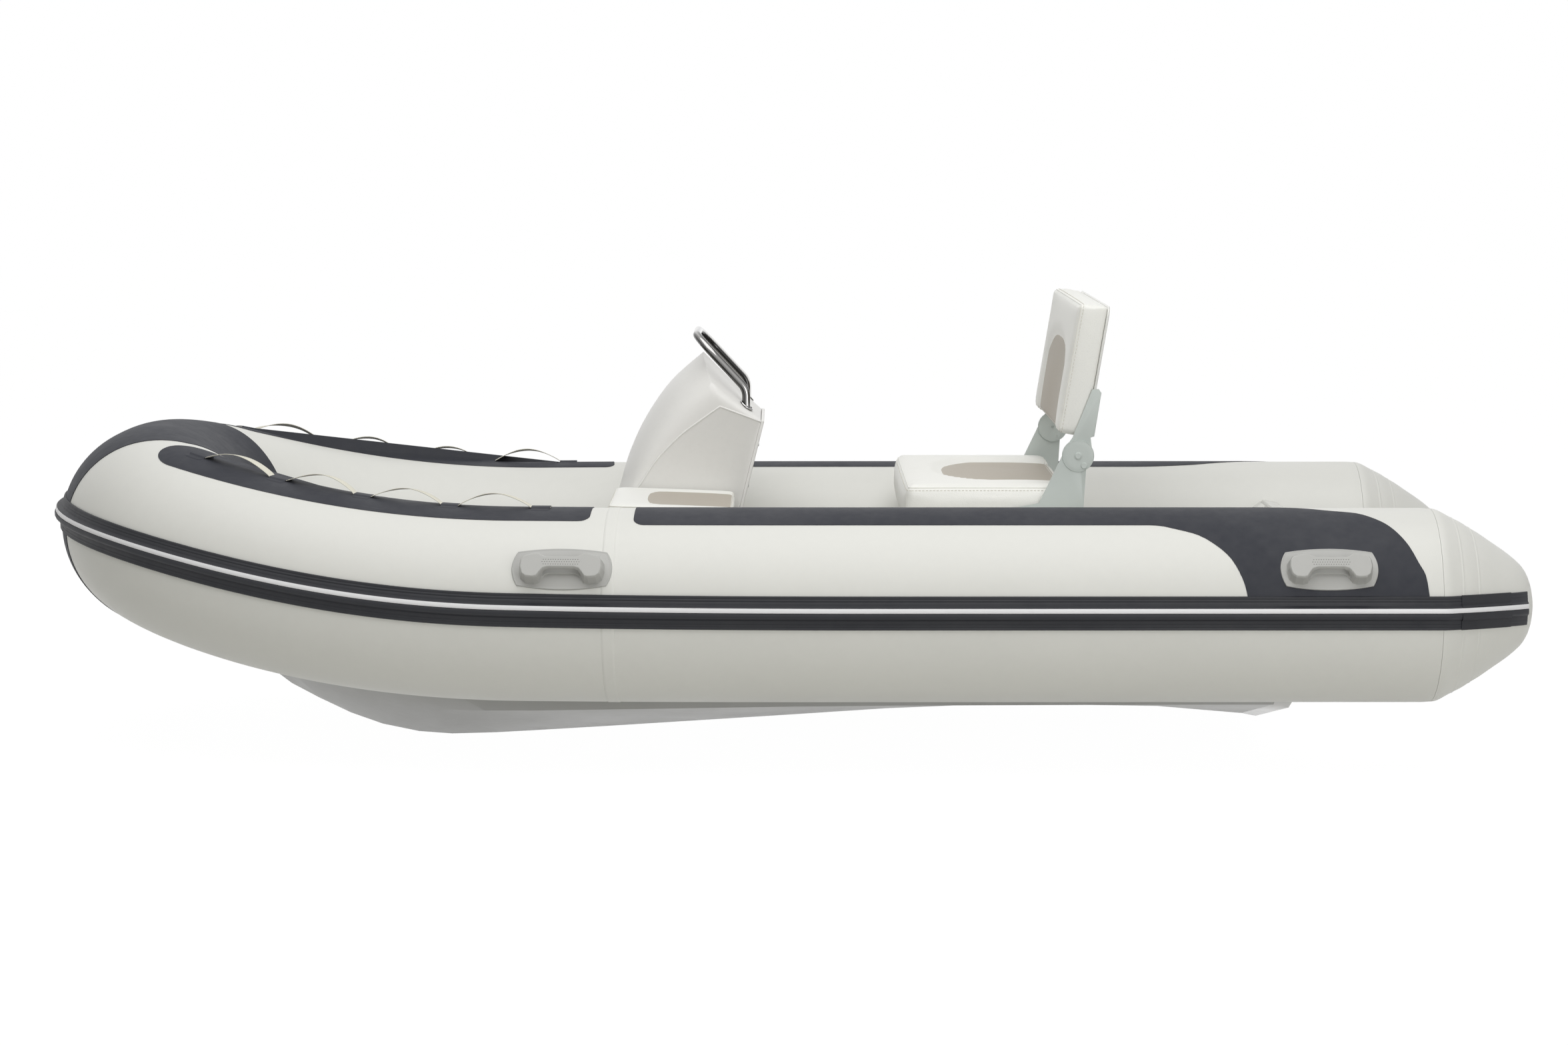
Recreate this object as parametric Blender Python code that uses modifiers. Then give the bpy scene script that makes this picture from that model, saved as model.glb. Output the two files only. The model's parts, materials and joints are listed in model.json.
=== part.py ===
# A rigid inflatable boat of the 3.5 metre class, in metres.
# The bow points along -X, port is -Y, and Z is zero at the lowest point of the keel.
import math

import bmesh
import bpy
from mathutils import Matrix, Vector

# Working clearances
SEAT_GAP = 0.0003
RUNNING_GAP = 0.0003
OVERRUN = 0.05

# Overall size
OVERALL_LENGTH = 3.51
STRAKE_PROUD = 0.0205

# Buoyancy tube
TUBE_RADIUS = 0.225
TUBE_OFFSET = 0.6275
TUBE_HEIGHT = 0.397
TUBE_SIDES_SHARE = 12
CONE_LENGTH = 0.239
BOW_CURVE_LENGTH = 1.756
BOW_FULLNESS = 3.05
BOW_STEPS = 17
BOW_STEP_EASING = 1.2
SHEER_START = -0.59
SHEER_RISE = 0.149
SHEER_POWER = 2.09
CHAMBER_SEAM_X = -0.37
CONE_PROFILE_SHARES = ((0.0, 1.0), (0.16, 0.931), (0.335, 0.831), (0.544, 0.687), (0.866, 0.429),
                       (0.93, 0.33), (0.98, 0.17), (1.0, 0.0))

# Fabric panels on the tube
PANEL_LIFT = 0.0003
PANEL_THICKNESS = 0.0012
NOSE_HALF_WIDTH = 0.30
NOSE_THROAT_HALF_WIDTH = 0.20
NOSE_INNER_X = -1.20
NOSE_SHOULDER_X = -1.40
STRIP_OUTER = 0.095
STRIP_INNER = 0.058
STRIP_CORNER = 0.025
FORE_STRIP_TIP = 0.325
FORE_STRIP_END_X = -0.4205
AFT_STRIP_START_X = -0.3205
AFT_STRIP_OUTER = 0.109
AFT_TAPER_X = 0.93
AFT_CREST_X = 1.20
SWEEP_START_X = 0.8585
SWEEP_FOOT_X = 1.0745
AFT_PANEL_END_X = 1.487

# Rub strake
STRAKE_HALF_WIDTH = 0.0385
STRAKE_BAND = 0.0042
STRAKE_LIFT = 0.0012
STRAKE_BEAD_HALF = 0.0165
STRAKE_CLEARANCE = 0.0008
STRAKE_ENVELOPE_DEPTH = 0.004
STRAKE_ANGLE_AFT = math.radians(2.0)
STRAKE_ANGLE_BOW = math.radians(8.0)
STRIPE_WIDTH = 0.0108
STRIPE_DEPTH = 0.0014
STRIPE_SET_BACK = 0.0028
STRAKE_END_SHARE = 0.89

# Hull
HULL_TOP = 0.25
TRANSOM_FOOT_X = 1.155
TRANSOM_FOOT_Z = 0.051
STEM_HEAD_X = -1.44
CHINE_HALF_WIDTH = 0.50
BOW_RAMP_SLOPE = 0.16
SIDE_INSET = 0.0275
SIDE_LIFT = 0.028
LOCKER_SHARE = 0.7534
LOCKER_AFT_X = TRANSOM_FOOT_X - (TRANSOM_FOOT_X - STEM_HEAD_X) * LOCKER_SHARE
HULL_STATION_SHARES = (-0.06, 0.0, 0.08, 0.16, 0.25, 0.34, 0.43, 0.52, 0.60, 0.66, 0.71, LOCKER_SHARE, 0.785,
                       0.82, 0.85, 0.88, 0.905, 0.93, 0.955, 0.98, 1.0)
KEEL_SHARES = ((-0.06, 0.20), (0.0, 0.204), (0.1226, 0.30), (0.2375, 0.292), (0.493, 0.148),
               (0.678, 0.032), (0.748, 0.0), (0.765, 0.004), (0.797, 0.044), (0.829, 0.128),
               (0.861, 0.262), (0.887, 0.40), (0.916, 0.58), (0.946, 0.83), (0.977, 1.08), (1.0, 1.30))
CHINE_WIDTH_SHARES = ((-0.06, 1.0), (0.0, 1.0), (0.35, 1.0), (0.49, 1.0), (0.62, 0.96), (0.727, 0.84),
                      (0.781, 0.70), (0.835, 0.48), (0.887, 0.10), (0.916, 0.04), (1.0, 0.04))
CHINE_HEIGHT_SHARES = ((-0.06, 0.58), (0.0, 0.58), (0.35, 0.57), (0.49, 0.552), (0.62, 0.52),
                       (0.727, 0.48), (0.781, 0.468), (0.835, 0.452), (0.887, 0.44), (0.916, 0.60),
                       (0.946, 0.85), (0.977, 1.10), (1.0, 1.32))

# Transom
TRANSOM_RAKE = math.radians(11.0)
TRANSOM_THICKNESS = 0.038
TRANSOM_TOP = 0.545
TRANSOM_HALF_WIDTH = 0.43
TRANSOM_CORNER = 0.03
KNEE_LENGTH = 0.29
KNEE_INNER = 0.33
KNEE_DROP = 0.20
KNEE_TOP_SHARE = 0.32
PAD_WIDTH = 0.30
OUTER_PAD_HEIGHT = 0.27
INNER_PAD_HEIGHT = 0.18
OUTER_PAD_THICKNESS = 0.010
INNER_PAD_THICKNESS = 0.006
PAD_TOP_MARGIN = 0.012
PAD_CORNER = 0.02
DRAIN_Y = -0.12
DRAIN_Z = 0.215
DRAIN_RADIUS = 0.013
DRAIN_FLANGE_RADIUS = 0.026
DRAIN_FLANGE_THICKNESS = 0.005
DRAIN_PLUG_LENGTH = 0.030
DRAIN_GRIP_LENGTH = 0.012
DRAIN_GRIP_WIDTH = 0.006
EYE_ROD = 0.004
EYE_SPAN = 0.050
EYE_REACH = 0.030
EYE_PLATE = 0.005
EYE_SINK = 0.012
EYE_PLATE_MARGIN = 0.010

# Deck and bow locker
DECK_THICKNESS = 0.012
DECK_HALF_WIDTH = 0.50
LOCKER_FORE_X = -1.40
LOCKER_TOP = 0.47
LOCKER_HALF_WIDTH = 0.55
LOCKER_WELL_AFT_X = -0.84
LOCKER_WELL_LENGTH = 0.30
LOCKER_WELL_WIDTH = 0.38
LOCKER_WELL_FLOOR = 0.345
LID_MARGIN = 0.022
LID_THICKNESS = 0.016
LID_CORNER = 0.03
HINGE_WIDTH = 0.30
HINGE_PIN_RADIUS = 0.0025
HINGE_KNUCKLE_RADIUS = 0.0055
HINGE_KNUCKLE_SHARE = 0.76
HINGE_OFFSET = 0.008
LEAF_THICKNESS = 0.002
LEAF_LENGTH = 0.026

# Console
CONSOLE_CENTRE_Y = 0.19
CONSOLE_HALF_WIDTH = 0.205
CONSOLE_FOOT_X = -0.162
CONSOLE_LENGTH = 0.268
CONSOLE_HEIGHT = 0.6764
CONSOLE_BLEND_POWER = 2.4
CONSOLE_STATION_SHARES = (-1.0, -0.94, -0.8, -0.55, -0.2, 0.2, 0.55, 0.8, 0.94, 1.0)
CONSOLE_SIDE_SHARES = ((0.0, 0.0), (0.925, 0.0), (0.91, 0.17), (0.87, 0.31), (0.78, 0.44), (0.62, 0.539),
                       (0.478, 0.623), (0.272, 0.707), (0.09, 0.762), (-0.10, 0.815), (-0.287, 0.788),
                       (-0.474, 0.76))
CONSOLE_MIDDLE_SHARES = ((0.0, 0.0), (1.0, 0.0), (0.98, 0.17), (0.945, 0.31), (0.89, 0.44), (0.83, 0.525),
                         (0.75, 0.63), (0.60, 0.757), (0.365, 0.89), (0.067, 0.995), (-0.20, 0.885),
                         (-0.474, 0.772))
SIDE_RECESS = 0.002
SIDE_RECESS_SHARE = 0.90
AFT_PANEL_THICKNESS = 0.008
AFT_PANEL_MARGIN = 0.004
RAIL_ROD = 0.010
RAIL_HALF_WIDTH = 0.172
RAIL_FOOT_SHARE = (-0.34, 0.795)
RAIL_BEND_SHARE = (-0.34, 0.875)
RAIL_TOP_SHARE = (0.115, 1.068)
RAIL_BEND_RADIUS = 0.045
RAIL_TOP_RADIUS = 0.07
FLANGE_RADIUS = 0.019
FLANGE_THICKNESS = 0.006

# Port side seat beside the console
SIDE_SEAT_FORE_X = -0.395
SIDE_SEAT_AFT_X = -0.098
SIDE_SEAT_TOP = 0.5635
SIDE_SEAT_OUTER = 0.50
SIDE_CUSHION_THICKNESS = 0.052
SIDE_CUSHION_FALL = 0.010
SIDE_CUSHION_LEAN = 0.045

# Helm bench
BENCH_FORE_X = 0.36
BENCH_AFT_X = 0.70
BENCH_HALF_WIDTH = 0.47
BENCH_TOP = 0.535
BENCH_TOE = 0.04
BENCH_BOARD_THICKNESS = 0.016
BENCH_BOARD_FORE_X = 0.325
BENCH_BOARD_AFT_X = 0.735
CUSHION_FORE_X = 0.307
CUSHION_AFT_X = 0.700
CUSHION_HALF_WIDTH = 0.439
CUSHION_THICKNESS = 0.110
CUSHION_CROWN = 0.006
CUSHION_BULGE = 0.004
CUSHION_EDGE = 0.017
BACK_EDGE = 0.014
CUSHION_CUTS = 7
INSERT_DEPTH = 0.020
INSERT_GAP = 0.001
INSERT_SET_DOWN = 0.010
FLUSH_INSERT_DEPTH = 0.012
FLUSH_INSERT_SET_DOWN = 0.003
INSERT_FORE_MARGIN = 0.105
INSERT_SIDE_MARGIN = 0.16
INSERT_BOW_SHARE = 0.20

# Folding seat back
BACK_LEAN = math.radians(9.5)
BACK_HEIGHT = 0.315
BACK_THICKNESS = 0.070
BACK_BOARD_THICKNESS = 0.006
BACK_INSERT_SHARE = 0.66
BACK_FOOT_LIFT = 0.052
BACK_FACE_REACH = 0.052
PIVOT_X = 0.714
PIVOT_Z = 0.729
BRACKET_THICKNESS = 0.004
BRACKET_HEAD_RADIUS = 0.0377
PIVOT_RADIUS = 0.006
RIVET_HEAD_RADIUS = 0.0095
RIVET_HEAD_HEIGHT = 0.003
STOP_REACH = 0.0269
STOP_ANGLE = math.radians(-58.7)
STOP_RADIUS = 0.0045
STOP_SLACK = 0.0006
FOLD_ANGLE = math.radians(99.5)
FOOT_FORE_X = 0.47
FOOT_TOE_Z = 0.60
UPPER_PLATE_Y = 0.4403
LOWER_PLATE_Y = 0.4448
UPPER_HEAD_RADIUS = 0.0355
ARM_AFT = 0.029
STOP_HEAD_RADIUS = 0.0075
LOWER_PLATE_SHARES = ((0.26, 0.37), (0.615, 0.29), (1.0, 0.20))

# Carry handles
HANDLE_X = (-0.4775, 1.2575)
HANDLE_ANGLE = math.radians(28.0)
HANDLE_BASE_LENGTH = 0.222
HANDLE_BASE_WIDTH = 0.104
HANDLE_BASE_THICKNESS = 0.003
HANDLE_LENGTH = 0.194
HANDLE_WIDTH = 0.068
HANDLE_HEIGHT = 0.036
HANDLE_SEAT_SINK = 0.0035
HANDLE_BAR_WIDTH = 0.026
HANDLE_BAR_LENGTH = 0.085
HANDLE_BAR_SHIFT = 0.012
HANDLE_TUNNEL_LENGTH = 0.096
HANDLE_TUNNEL_FLOOR = 0.005
HANDLE_TUNNEL_HEIGHT = 0.021
HANDLE_EDGE = 0.004

# Grab webbing
WEBBING_WIDTH = 0.025
WEBBING_THICKNESS = 0.0018
WEBBING_LIFT = 0.0026
WEBBING_START = 0.392
LOOP_SPAN = 0.180
PATCH_SPAN = 0.044
LOOP_RISES = (0.026, 0.030, 0.028, 0.030)
LOOP_LEANS = (1.0, 1.15, 1.1, 1.05)
LOOP_TWIST = math.radians(28.0)
LOOP_STEPS = 9
WEBBING_ANGLE = math.radians(87.0)
PATCH_WIDTH = 0.062
PATCH_TOP = 0.0014

# Inflation valves
VALVE_PLACES = (("port", 0.90, -1.0), ("starboard", 0.90, 1.0), ("bow", -0.62, -1.0))
VALVE_ANGLE = math.radians(165.0)
VALVE_FLANGE_RADIUS = 0.027
VALVE_FLANGE_THICKNESS = 0.0035
VALVE_BODY_RADIUS = 0.019
VALVE_BODY_DEPTH = 0.022
VALVE_SPIGOT_RADIUS = 0.015
VALVE_SPIGOT_HEIGHT = 0.008
VALVE_CAP_RADIUS = 0.020
VALVE_CAP_HEIGHT = 0.012
VALVE_CAP_ROOF = 0.003

# Bow eye
BOW_EYE_X = -1.30

# Finishes as colour, roughness and metallic value
FINISHES = {
    "tube": ((0.70, 0.69, 0.64, 1.0), 0.55, 0.0),
    "grey_panel": ((0.070, 0.075, 0.085, 1.0), 0.50, 0.0),
    "strake": ((0.040, 0.043, 0.052, 1.0), 0.45, 0.0),
    "white": ((0.82, 0.82, 0.83, 1.0), 0.45, 0.0),
    "gelcoat": ((0.66, 0.66, 0.65, 1.0), 0.22, 0.0),
    "hull": ((0.42, 0.42, 0.41, 1.0), 0.18, 0.0),
    "vinyl": ((0.84, 0.85, 0.82, 1.0), 0.50, 0.0),
    "insert": ((0.36, 0.32, 0.27, 1.0), 0.55, 0.0),
    "steel": ((0.60, 0.60, 0.60, 1.0), 0.12, 1.0),
    "bracket": ((0.50, 0.55, 0.53, 1.0), 0.45, 0.2),
    "rubber": ((0.60, 0.60, 0.58, 1.0), 0.60, 0.0),
    "webbing": ((0.72, 0.71, 0.66, 1.0), 0.80, 0.0),
    "dark": ((0.05, 0.05, 0.055, 1.0), 0.55, 0.0),
}

HALF_LENGTH = OVERALL_LENGTH / 2
CONE_START_X = HALF_LENGTH - CONE_LENGTH
BOW_CENTRE_X = -HALF_LENGTH + STRAKE_PROUD + TUBE_RADIUS
BOW_CURVE_START = BOW_CENTRE_X + BOW_CURVE_LENGTH
DECK_TOP = HULL_TOP + SEAT_GAP + DECK_THICKNESS
FLOOR = DECK_TOP + SEAT_GAP
HULL_LENGTH = TRANSOM_FOOT_X - STEM_HEAD_X


# Scene and collections
for item in list(bpy.data.objects):
    bpy.data.objects.remove(item)

PARTS = bpy.data.collections.new("rigid_inflatable_boat")
CUTTERS = bpy.data.collections.new("cutters")
for group in (PARTS, CUTTERS):
    bpy.context.scene.collection.children.link(group)


def make_material(name, finish):
    colour, roughness, metallic = FINISHES[finish]
    made = bpy.data.materials.new(name)
    made.use_nodes = True
    shader = made.node_tree.nodes["Principled BSDF"]
    shader.inputs["Base Color"].default_value = colour
    shader.inputs["Roughness"].default_value = roughness
    shader.inputs["Metallic"].default_value = metallic
    made.diffuse_color = colour
    return made


def place(name, mesh, finish):
    """Put a mesh in the boat's collection as a finished part."""
    item = bpy.data.objects.new(name, mesh)
    PARTS.objects.link(item)
    item.data.materials.clear()
    item.data.materials.append(make_material(name + "_finish", finish))
    item.data.shade_smooth()
    item.data.set_sharp_from_angle(angle=math.radians(32))
    return item


def as_cutter(name, mesh):
    """Put a mesh in the cutters' collection, unrendered and drawn as wire."""
    item = bpy.data.objects.new(name, mesh)
    CUTTERS.objects.link(item)
    item.hide_render = True
    item.display_type = "WIRE"
    return item


def evaluated_mesh(item):
    bpy.context.view_layer.update()
    graph = bpy.context.evaluated_depsgraph_get()
    mesh = bpy.data.meshes.new_from_object(item.evaluated_get(graph), depsgraph=graph)
    mesh.transform(item.matrix_world)
    return mesh


# Meshes from Blender's tools
def finish_bmesh(work, name):
    bmesh.ops.recalc_face_normals(work, faces=work.faces)
    if work.calc_volume(signed=True) < 0:
        bmesh.ops.reverse_faces(work, faces=work.faces)
    mesh = bpy.data.meshes.new(name)
    work.to_mesh(mesh)
    work.free()
    return mesh


def curve_mesh(name, curve):
    """Turn a curve with its caps welded into one closed mesh."""
    carrier = bpy.data.objects.new(name, curve)
    bpy.context.scene.collection.objects.link(carrier)
    mesh = evaluated_mesh(carrier)
    bpy.data.objects.remove(carrier)
    work = bmesh.new()
    work.from_mesh(mesh)
    bmesh.ops.remove_doubles(work, verts=work.verts, dist=SEAT_GAP / 30)
    return finish_bmesh(work, name)


def poly_spline(curve, points, tilts=None, cyclic=False):
    spline = curve.splines.new("POLY")
    spline.points.add(len(points) - 1)
    for index, point in enumerate(points):
        spline.points[index].co = (*point, 1.0)
        if tilts:
            spline.points[index].tilt = tilts[index]
    spline.use_cyclic_u = cyclic


def rod_mesh(name, points, radius, resolution=2):
    """A round rod or tube along a list of points."""
    curve = bpy.data.curves.new(name, "CURVE")
    curve.dimensions = "3D"
    curve.twist_mode = "Z_UP"
    curve.bevel_depth = radius
    curve.bevel_resolution = resolution
    curve.use_fill_caps = True
    poly_spline(curve, points)
    return curve_mesh(name, curve)


def swept_mesh(name, points, section, tilts):
    """A section swept along points, its x to the right of travel and its y up."""
    outline = bpy.data.curves.new(name + "_section", "CURVE")
    outline.dimensions = "2D"
    poly_spline(outline, [(x, y, 0.0) for x, y in section], cyclic=True)
    guide = bpy.data.objects.new(name + "_section", outline)
    bpy.context.scene.collection.objects.link(guide)
    curve = bpy.data.curves.new(name, "CURVE")
    curve.dimensions = "3D"
    curve.twist_mode = "Z_UP"
    curve.bevel_mode = "OBJECT"
    curve.bevel_object = guide
    curve.use_fill_caps = True
    poly_spline(curve, points, tilts)
    mesh = curve_mesh(name, curve)
    bpy.data.objects.remove(guide)
    return mesh


PLANES = {
    "plan": Matrix.Identity(4),
    "side": Matrix(((1, 0, 0, 0), (0, 0, -1, 0), (0, 1, 0, 0), (0, 0, 0, 1))),
    "end": Matrix(((0, 0, 1, 0), (1, 0, 0, 0), (0, 1, 0, 0), (0, 0, 0, 1))),
}


def prism_mesh(name, outline, plane, near, far):
    """A flat outline given thickness between two distances from its plane."""
    curve = bpy.data.curves.new(name, "CURVE")
    curve.dimensions = "2D"
    curve.fill_mode = "BOTH"
    curve.extrude = abs(far - near) / 2
    poly_spline(curve, [(x, y, 0.0) for x, y in outline], cyclic=True)
    mesh = curve_mesh(name, curve)
    centre = (near + far) / 2
    sign = -1.0 if plane == "side" else 1.0
    mesh.transform(PLANES[plane] @ Matrix.Translation((0.0, 0.0, sign * centre)))
    return mesh


def box_mesh(name, low, high):
    low, high = Vector(low), Vector(high)
    work = bmesh.new()
    matrix = Matrix.Translation((low + high) / 2) @ Matrix.Diagonal((*(high - low), 1.0))
    bmesh.ops.create_cube(work, size=1.0, matrix=matrix)
    return finish_bmesh(work, name)


def cylinder_mesh(name, radius, start, end, sides=24, top_radius=None):
    start, end = Vector(start), Vector(end)
    axis = end - start
    turn = axis.to_track_quat("Z", "Y").to_matrix().to_4x4()
    work = bmesh.new()
    bmesh.ops.create_cone(work, cap_ends=True, segments=sides, radius1=radius,
                          radius2=radius if top_radius is None else top_radius, depth=axis.length,
                          matrix=Matrix.Translation((start + end) / 2) @ turn)
    return finish_bmesh(work, name)


def loft_mesh(name, rings):
    """A closed body through rings of equally many points."""
    work = bmesh.new()
    made = [[work.verts.new(point) for point in ring] for ring in rings]
    count = len(rings[0])
    for first, second in zip(made, made[1:]):
        for index in range(count):
            after = (index + 1) % count
            work.faces.new((first[index], first[after], second[after], second[index]))
    bmesh.ops.triangulate(work, faces=work.faces, quad_method="FIXED")
    work.faces.new(made[0])
    work.faces.new(list(reversed(made[-1])))
    bmesh.ops.remove_doubles(work, verts=work.verts, dist=SEAT_GAP / 10)
    return finish_bmesh(work, name)


def turned_mesh(name, profile, sides):
    """A profile of radius and height turned round Z with a Screw modifier."""
    mesh = bpy.data.meshes.new(name)
    edges = [(index, index + 1) for index in range(len(profile) - 1)]
    mesh.from_pydata([(radius, 0.0, height) for radius, height in profile], edges, [])
    carrier = bpy.data.objects.new(name, mesh)
    bpy.context.scene.collection.objects.link(carrier)
    screw = carrier.modifiers.new("turn", "SCREW")
    screw.steps = sides
    screw.render_steps = sides
    screw.use_merge_vertices = True
    screw.merge_threshold = SEAT_GAP / 30
    result = evaluated_mesh(carrier)
    bpy.data.objects.remove(carrier)
    work = bmesh.new()
    work.from_mesh(result)
    bmesh.ops.remove_doubles(work, verts=work.verts, dist=SEAT_GAP / 30)
    return finish_bmesh(work, name)


def arc_points(centre, radius, start, end, steps):
    span = end - start
    return [(centre[0] + radius * math.cos(start + span * step / steps),
             centre[1] + radius * math.sin(start + span * step / steps)) for step in range(steps + 1)]


def rounded(corners, radius, steps=4):
    """An outline whose corners are arcs of one radius, or of one radius each."""
    radii = radius if isinstance(radius, (list, tuple)) else [radius] * len(corners)
    result = []
    count = len(corners)
    for index, corner in enumerate(corners):
        here = Vector(corner)
        before = (Vector(corners[index - 1]) - here).normalized()
        after = (Vector(corners[(index + 1) % count]) - here).normalized()
        half = before.angle(after) / 2
        if radii[index] <= 0 or half > math.radians(89):
            result.append(tuple(here))
            continue
        reach = radii[index] / math.tan(half)
        centre = here + (before + after).normalized() * (radii[index] / math.sin(half))
        first, last = here + before * reach - centre, here + after * reach - centre
        for step in range(steps + 1):
            share = step / steps
            spoke = first.lerp(last, share).normalized() * radii[index]
            result.append(tuple(centre + spoke))
    return result


def boolean(target, cutter, operation="DIFFERENCE"):
    change = target.modifiers.new(cutter.name, "BOOLEAN")
    change.operation = operation
    change.solver = "EXACT"
    change.object = cutter
    return change


def bevel(target, width, segments=1, angle=math.radians(35)):
    change = target.modifiers.new("bevel", "BEVEL")
    change.width = width
    change.segments = segments
    change.limit_method = "ANGLE"
    change.angle_limit = angle
    return change


def mesh_union(name, meshes):
    """Join overlapping meshes into one closed body."""
    base = as_cutter(name + "_base", meshes[0])
    for index, mesh in enumerate(meshes[1:]):
        boolean(base, as_cutter(f"{name}_add_{index}", mesh), "UNION")
    result = evaluated_mesh(base)
    for item in [base] + [change.object for change in base.modifiers]:
        bpy.data.objects.remove(item)
    return result


def table_value(table, share):
    """Read a table of shares with a smooth curve through its points."""
    places = [entry[0] for entry in table]
    values = [entry[1] for entry in table]
    if share <= places[0]:
        return values[0]
    if share >= places[-1]:
        return values[-1]
    index = max(k for k in range(len(places) - 1) if places[k] <= share)
    span = places[index + 1] - places[index]
    part = (share - places[index]) / span

    def slope(k):
        if k <= 0 or k >= len(places) - 1:
            return 0.0
        left = (values[k] - values[k - 1]) / (places[k] - places[k - 1])
        right = (values[k + 1] - values[k]) / (places[k + 1] - places[k])
        return 0.0 if left * right <= 0 else 2 * left * right / (left + right)

    a, b = values[index], values[index + 1]
    m, n = slope(index) * span, slope(index + 1) * span
    return (a * (2 * part**3 - 3 * part**2 + 1) + m * (part**3 - 2 * part**2 + part)
            + b * (3 * part**2 - 2 * part**3) + n * (part**3 - part**2))


# The tube's centre line
def sheer_rise(x):
    reach = (SHEER_START - x) / (SHEER_START - BOW_CENTRE_X)
    return SHEER_RISE * max(0.0, reach) ** SHEER_POWER


def plan_half_width(x):
    """Distance of the tube's centre line from the middle at a place along the boat."""
    reach = min(1.0, max(0.0, (BOW_CURVE_START - x) / BOW_CURVE_LENGTH))
    return TUBE_OFFSET * (1 - reach ** BOW_FULLNESS) ** (1 / BOW_FULLNESS)


def bow_quarter():
    """Starboard centre line points from the start of the curve to the bow, with their lengths."""
    fine = 600
    points = []
    for step in range(fine + 1):
        turn = math.pi / 2 * step / fine
        x = BOW_CURVE_START - BOW_CURVE_LENGTH * math.sin(turn) ** (2 / BOW_FULLNESS)
        y = TUBE_OFFSET * max(0.0, math.cos(turn)) ** (2 / BOW_FULLNESS)
        points.append((x, y))
    lengths = [0.0]
    for first, second in zip(points, points[1:]):
        climb = sheer_rise(second[0]) - sheer_rise(first[0])
        lengths.append(lengths[-1] + math.hypot(math.dist(first, second), climb))
    return points, lengths


BOW_POINTS, BOW_LENGTHS = bow_quarter()
BOW_ARC = BOW_LENGTHS[-1]


def along_bow(distance):
    """Plan point at a distance from the bow along the starboard centre line."""
    wanted = BOW_ARC - distance
    if wanted <= 0:
        return BOW_CURVE_START - wanted, TUBE_OFFSET
    index = max(k for k in range(len(BOW_LENGTHS)) if BOW_LENGTHS[k] <= wanted)
    if index >= len(BOW_POINTS) - 1:
        return BOW_POINTS[-1]
    share = (wanted - BOW_LENGTHS[index]) / (BOW_LENGTHS[index + 1] - BOW_LENGTHS[index])
    a, b = BOW_POINTS[index], BOW_POINTS[index + 1]
    return a[0] + (b[0] - a[0]) * share, a[1] + (b[1] - a[1]) * share


def station_distances():
    """Distances from the bow of the rings round the curved part."""
    return [BOW_ARC * (step / BOW_STEPS) ** BOW_STEP_EASING for step in range(BOW_STEPS + 1)]


def centre_point(distance):
    """Centre of the tube at a distance from the bow, positive to starboard."""
    x, y = along_bow(abs(distance))
    return Vector((x, y if distance >= 0 else -y, TUBE_HEIGHT + sheer_rise(x)))


def stern_distance():
    return BOW_ARC + CONE_START_X - BOW_CURVE_START


def full_line():
    """Distances of all the rings, from the starboard stern round the bow to the port stern."""
    side = station_distances() + [stern_distance()]
    return sorted({-value for value in side} | set(side), reverse=True)


def tube_frame(distance):
    """Directions towards the port end, away from the cockpit, and up across the tube."""
    step = BOW_ARC / 2000
    travel = (centre_point(distance - step) - centre_point(distance + step)).normalized()
    out = Vector((travel.y, -travel.x, 0.0)).normalized()
    return travel, out, out.cross(travel)


def outward(distance):
    return tube_frame(distance)[1]


def ring_point(distance, angle, lift):
    travel, out, rise = tube_frame(distance)
    reach = TUBE_RADIUS + lift
    return centre_point(distance) + out * (reach * math.cos(angle)) + rise * (reach * math.sin(angle))


def tube_point(distance, angle, lift=0.0):
    """Point on the tube between its rings, its angle measured up from the outward side."""
    if distance not in RING_DISTANCES:
        for first, second in zip(RING_DISTANCES, RING_DISTANCES[1:]):
            if first > distance > second:
                share = (distance - first) / (second - first)
                return ring_point(first, angle, lift).lerp(ring_point(second, angle, lift), share)
    return ring_point(distance, angle, lift)


RING_DISTANCES = full_line()


def tube_mesh(name, lift=0.0, extra=0.0):
    points = [centre_point(value) for value in RING_DISTANCES]
    if extra:
        points[0] = points[0] + Vector((extra, 0, 0))
        points[-1] = points[-1] + Vector((extra, 0, 0))
    mesh = rod_mesh(name, [tuple(point) for point in points], TUBE_RADIUS + lift, TUBE_SIDES_SHARE)
    work = bmesh.new()
    work.from_mesh(mesh)
    bmesh.ops.triangulate(work, faces=work.faces, quad_method="FIXED")
    return finish_bmesh(work, name)


def distance_at_x(x):
    """Distance from the bow of the starboard centre line's point at x."""
    if x >= BOW_CURVE_START:
        return BOW_ARC + x - BOW_CURVE_START
    index = max(k for k in range(len(BOW_POINTS)) if BOW_POINTS[k][0] >= x)
    return BOW_ARC - BOW_LENGTHS[index]


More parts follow.
